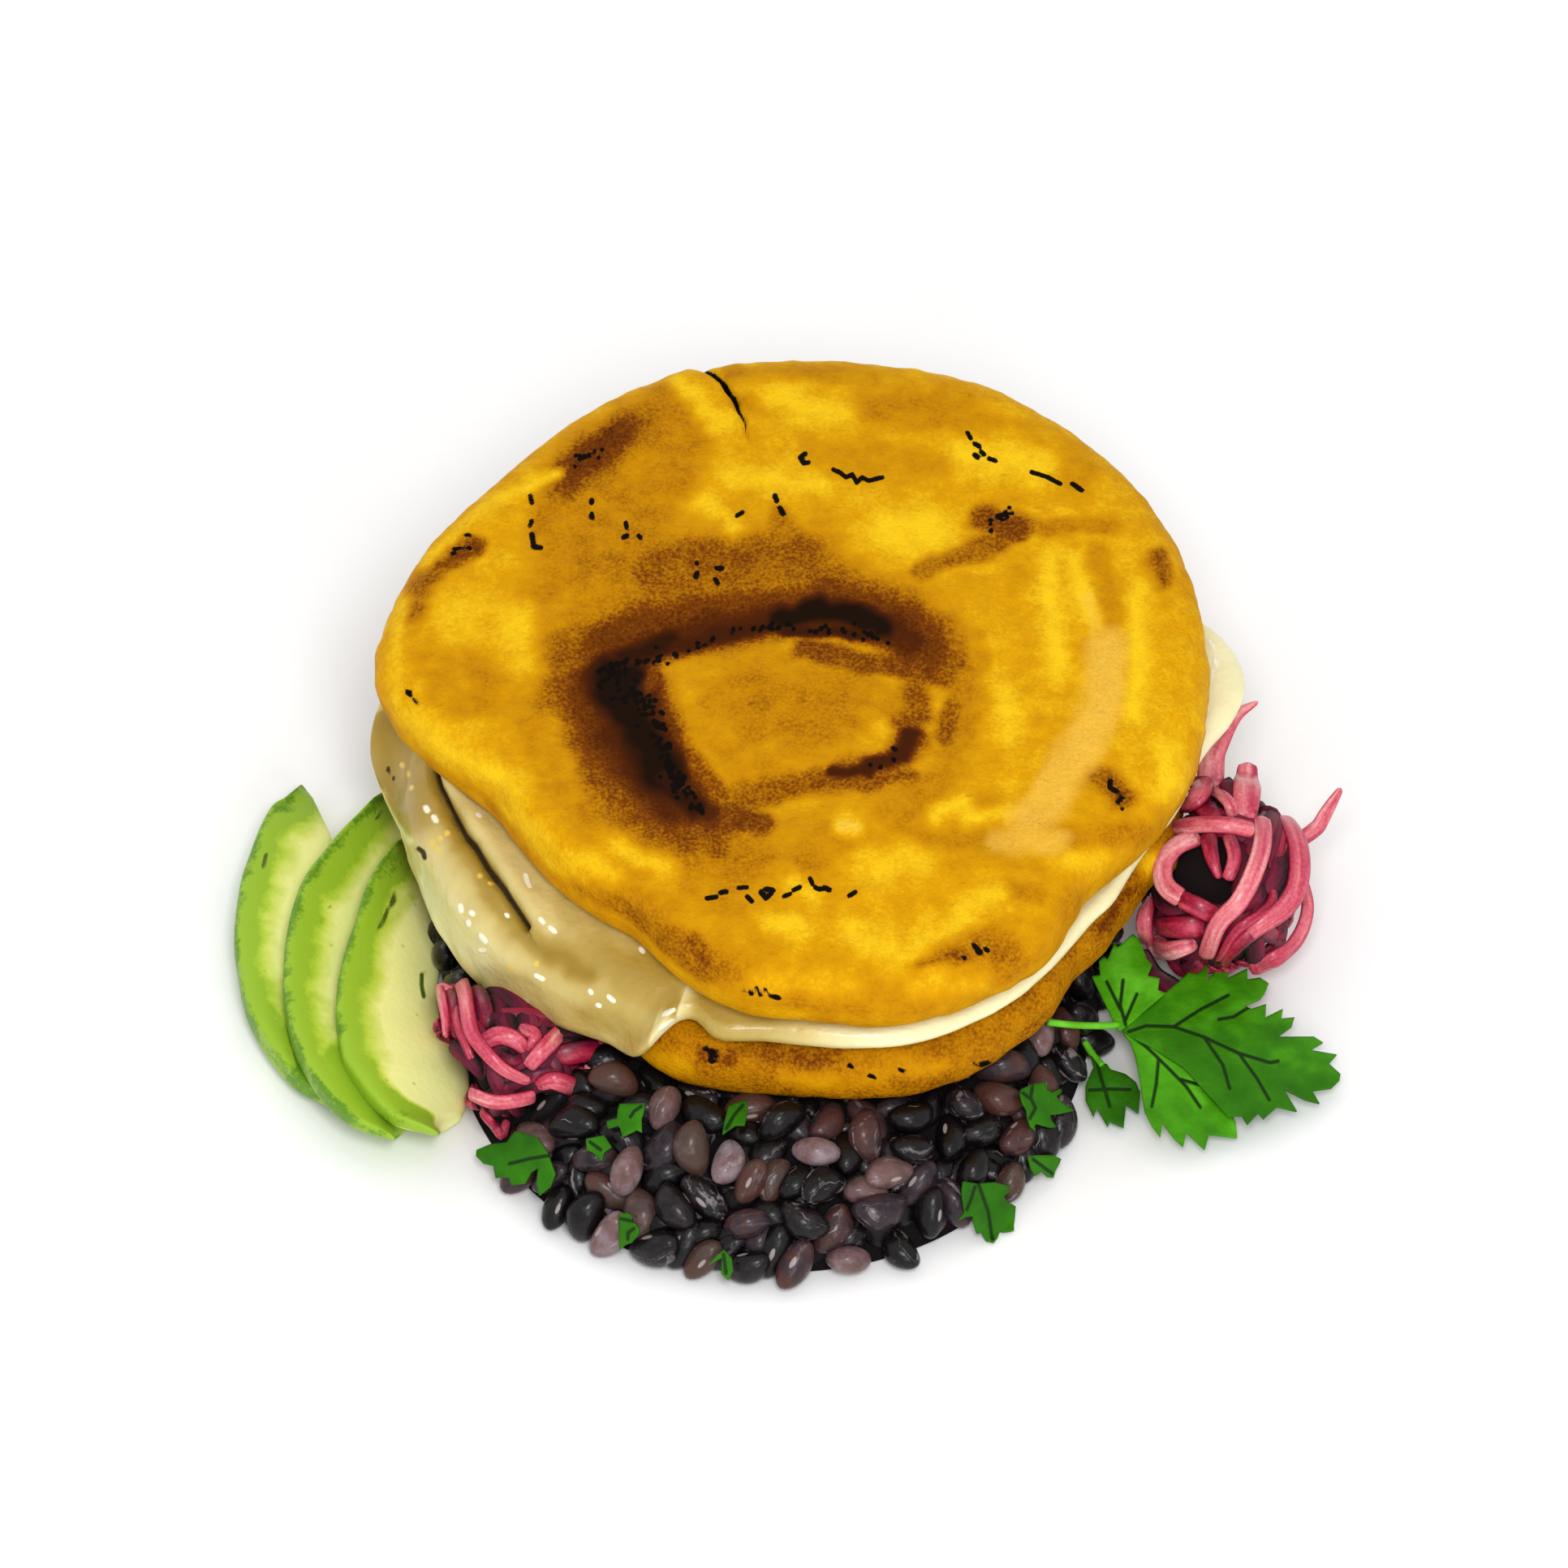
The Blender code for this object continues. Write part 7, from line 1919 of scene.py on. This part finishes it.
def build_stage(scene, stage):
    """The floor, the sky, the lights and the camera."""
    nodes = new_material("pale_floor", {"Roughness": 0.9, "Specular IOR Level": 0.1})
    shade = (*(part * 0.985 for part in stage.floor), 1.0)
    made = nodes.finish(Base_Color=nodes.cover(shade, nodes.grain(0.02), stage.floor))
    disc, faces, _ = disc_grid(24)
    points = np.column_stack((disc * FLOOR_RADIUS, np.full(len(disc), FLOOR_LEVEL)))
    mesh_object("floor", points, faces, made)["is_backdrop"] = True
    world = bpy.data.worlds.new("studio")
    scene.world = world
    world.use_nodes = True
    sky = world.node_tree.nodes["Background"]
    sky.inputs["Color"].default_value = (1.0, 1.0, 1.0, 1.0)
    sky.inputs["Strength"].default_value = stage.sky
    powers = {"key": stage.key_power, "fill": stage.fill_power, "back": stage.fill_power * BACK_SHARE}
    for name, place, size in LIGHTS:
        lamp = bpy.data.lights.new(name, "AREA")
        lamp.shape = "DISK"
        lamp.size = size
        lamp.energy = powers[name]
        holder = bpy.data.objects.new(name, lamp)
        holder.location = place
        holder.rotation_euler = (LIT_SPOT - Vector(place)).to_track_quat("-Z", "Y").to_euler()
        scene.collection.objects.link(holder)
    lens = bpy.data.cameras.new("camera")
    lens.sensor_width = SENSOR_WIDTH
    lens.lens = SENSOR_WIDTH * stage.distance / stage.frame_width
    lens.clip_end = 50.0
    camera = bpy.data.objects.new("camera", lens)
    back = Vector((0.0, -math.cos(stage.look_down), math.sin(stage.look_down)))
    camera.location = VIEW_MIDDLE + back * stage.distance
    camera.rotation_euler = (math.pi / 2 - stage.look_down, 0.0, 0.0)
    scene.collection.objects.link(camera)
    scene.camera = camera
    scene.view_settings.view_transform = "Standard"


class AREPA_PT_panel(bpy.types.Panel):
    """The arepa's pieces, to build one by one"""
    bl_idname = "AREPA_PT_panel"
    bl_label = "Arepa"
    bl_space_type = "VIEW_3D"
    bl_region_type = "UI"
    bl_category = "Arepa"

    def draw(self, context):
        for operator in OPERATORS:
            self.layout.operator(operator.bl_idname)
        for group in GROUPS:
            box = self.layout.box()
            owner = getattr(context.scene, group)
            for key in owner.bl_rna.properties.keys():
                if key not in ("rna_type", "name"):
                    box.prop(owner, key)


OPERATORS = (
    AREPA_OT_top_cake, AREPA_OT_bottom_cake, AREPA_OT_cheese, AREPA_OT_beans, AREPA_OT_onion,
    AREPA_OT_avocado, AREPA_OT_coriander, AREPA_OT_stage,
)
GROUPS = {
    "arepa_crust": ArepaCrust, "arepa_cheese": ArepaCheese, "arepa_beans": ArepaBeans,
    "arepa_onion": ArepaOnion, "arepa_avocado": ArepaAvocado, "arepa_leaves": ArepaLeaves,
    "arepa_stage": ArepaStage,
}


def register():
    for group in GROUPS.values():
        bpy.utils.register_class(group)
    for name, group in GROUPS.items():
        setattr(bpy.types.Scene, name, bpy.props.PointerProperty(type=group))
    for kind in (*OPERATORS, AREPA_PT_panel):
        bpy.utils.register_class(kind)


def unregister():
    for kind in reversed((*OPERATORS, AREPA_PT_panel)):
        bpy.utils.unregister_class(kind)
    for name in GROUPS:
        delattr(bpy.types.Scene, name)
    for group in reversed(GROUPS.values()):
        bpy.utils.unregister_class(group)


def main():
    register()
    bpy.ops.arepa.stage()
    bpy.ops.arepa.top_cake()
    bpy.ops.arepa.bottom_cake()
    bpy.ops.arepa.cheese()
    bpy.ops.arepa.beans()
    bpy.ops.arepa.onion()
    bpy.ops.arepa.avocado()
    bpy.ops.arepa.coriander()
    boxes = {"cad": CAD_BOX, "visual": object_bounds()}
    plain = {key: [[float(part) for part in corner] for corner in box] for key, box in boxes.items()}


if __name__ == "__main__":
    main()
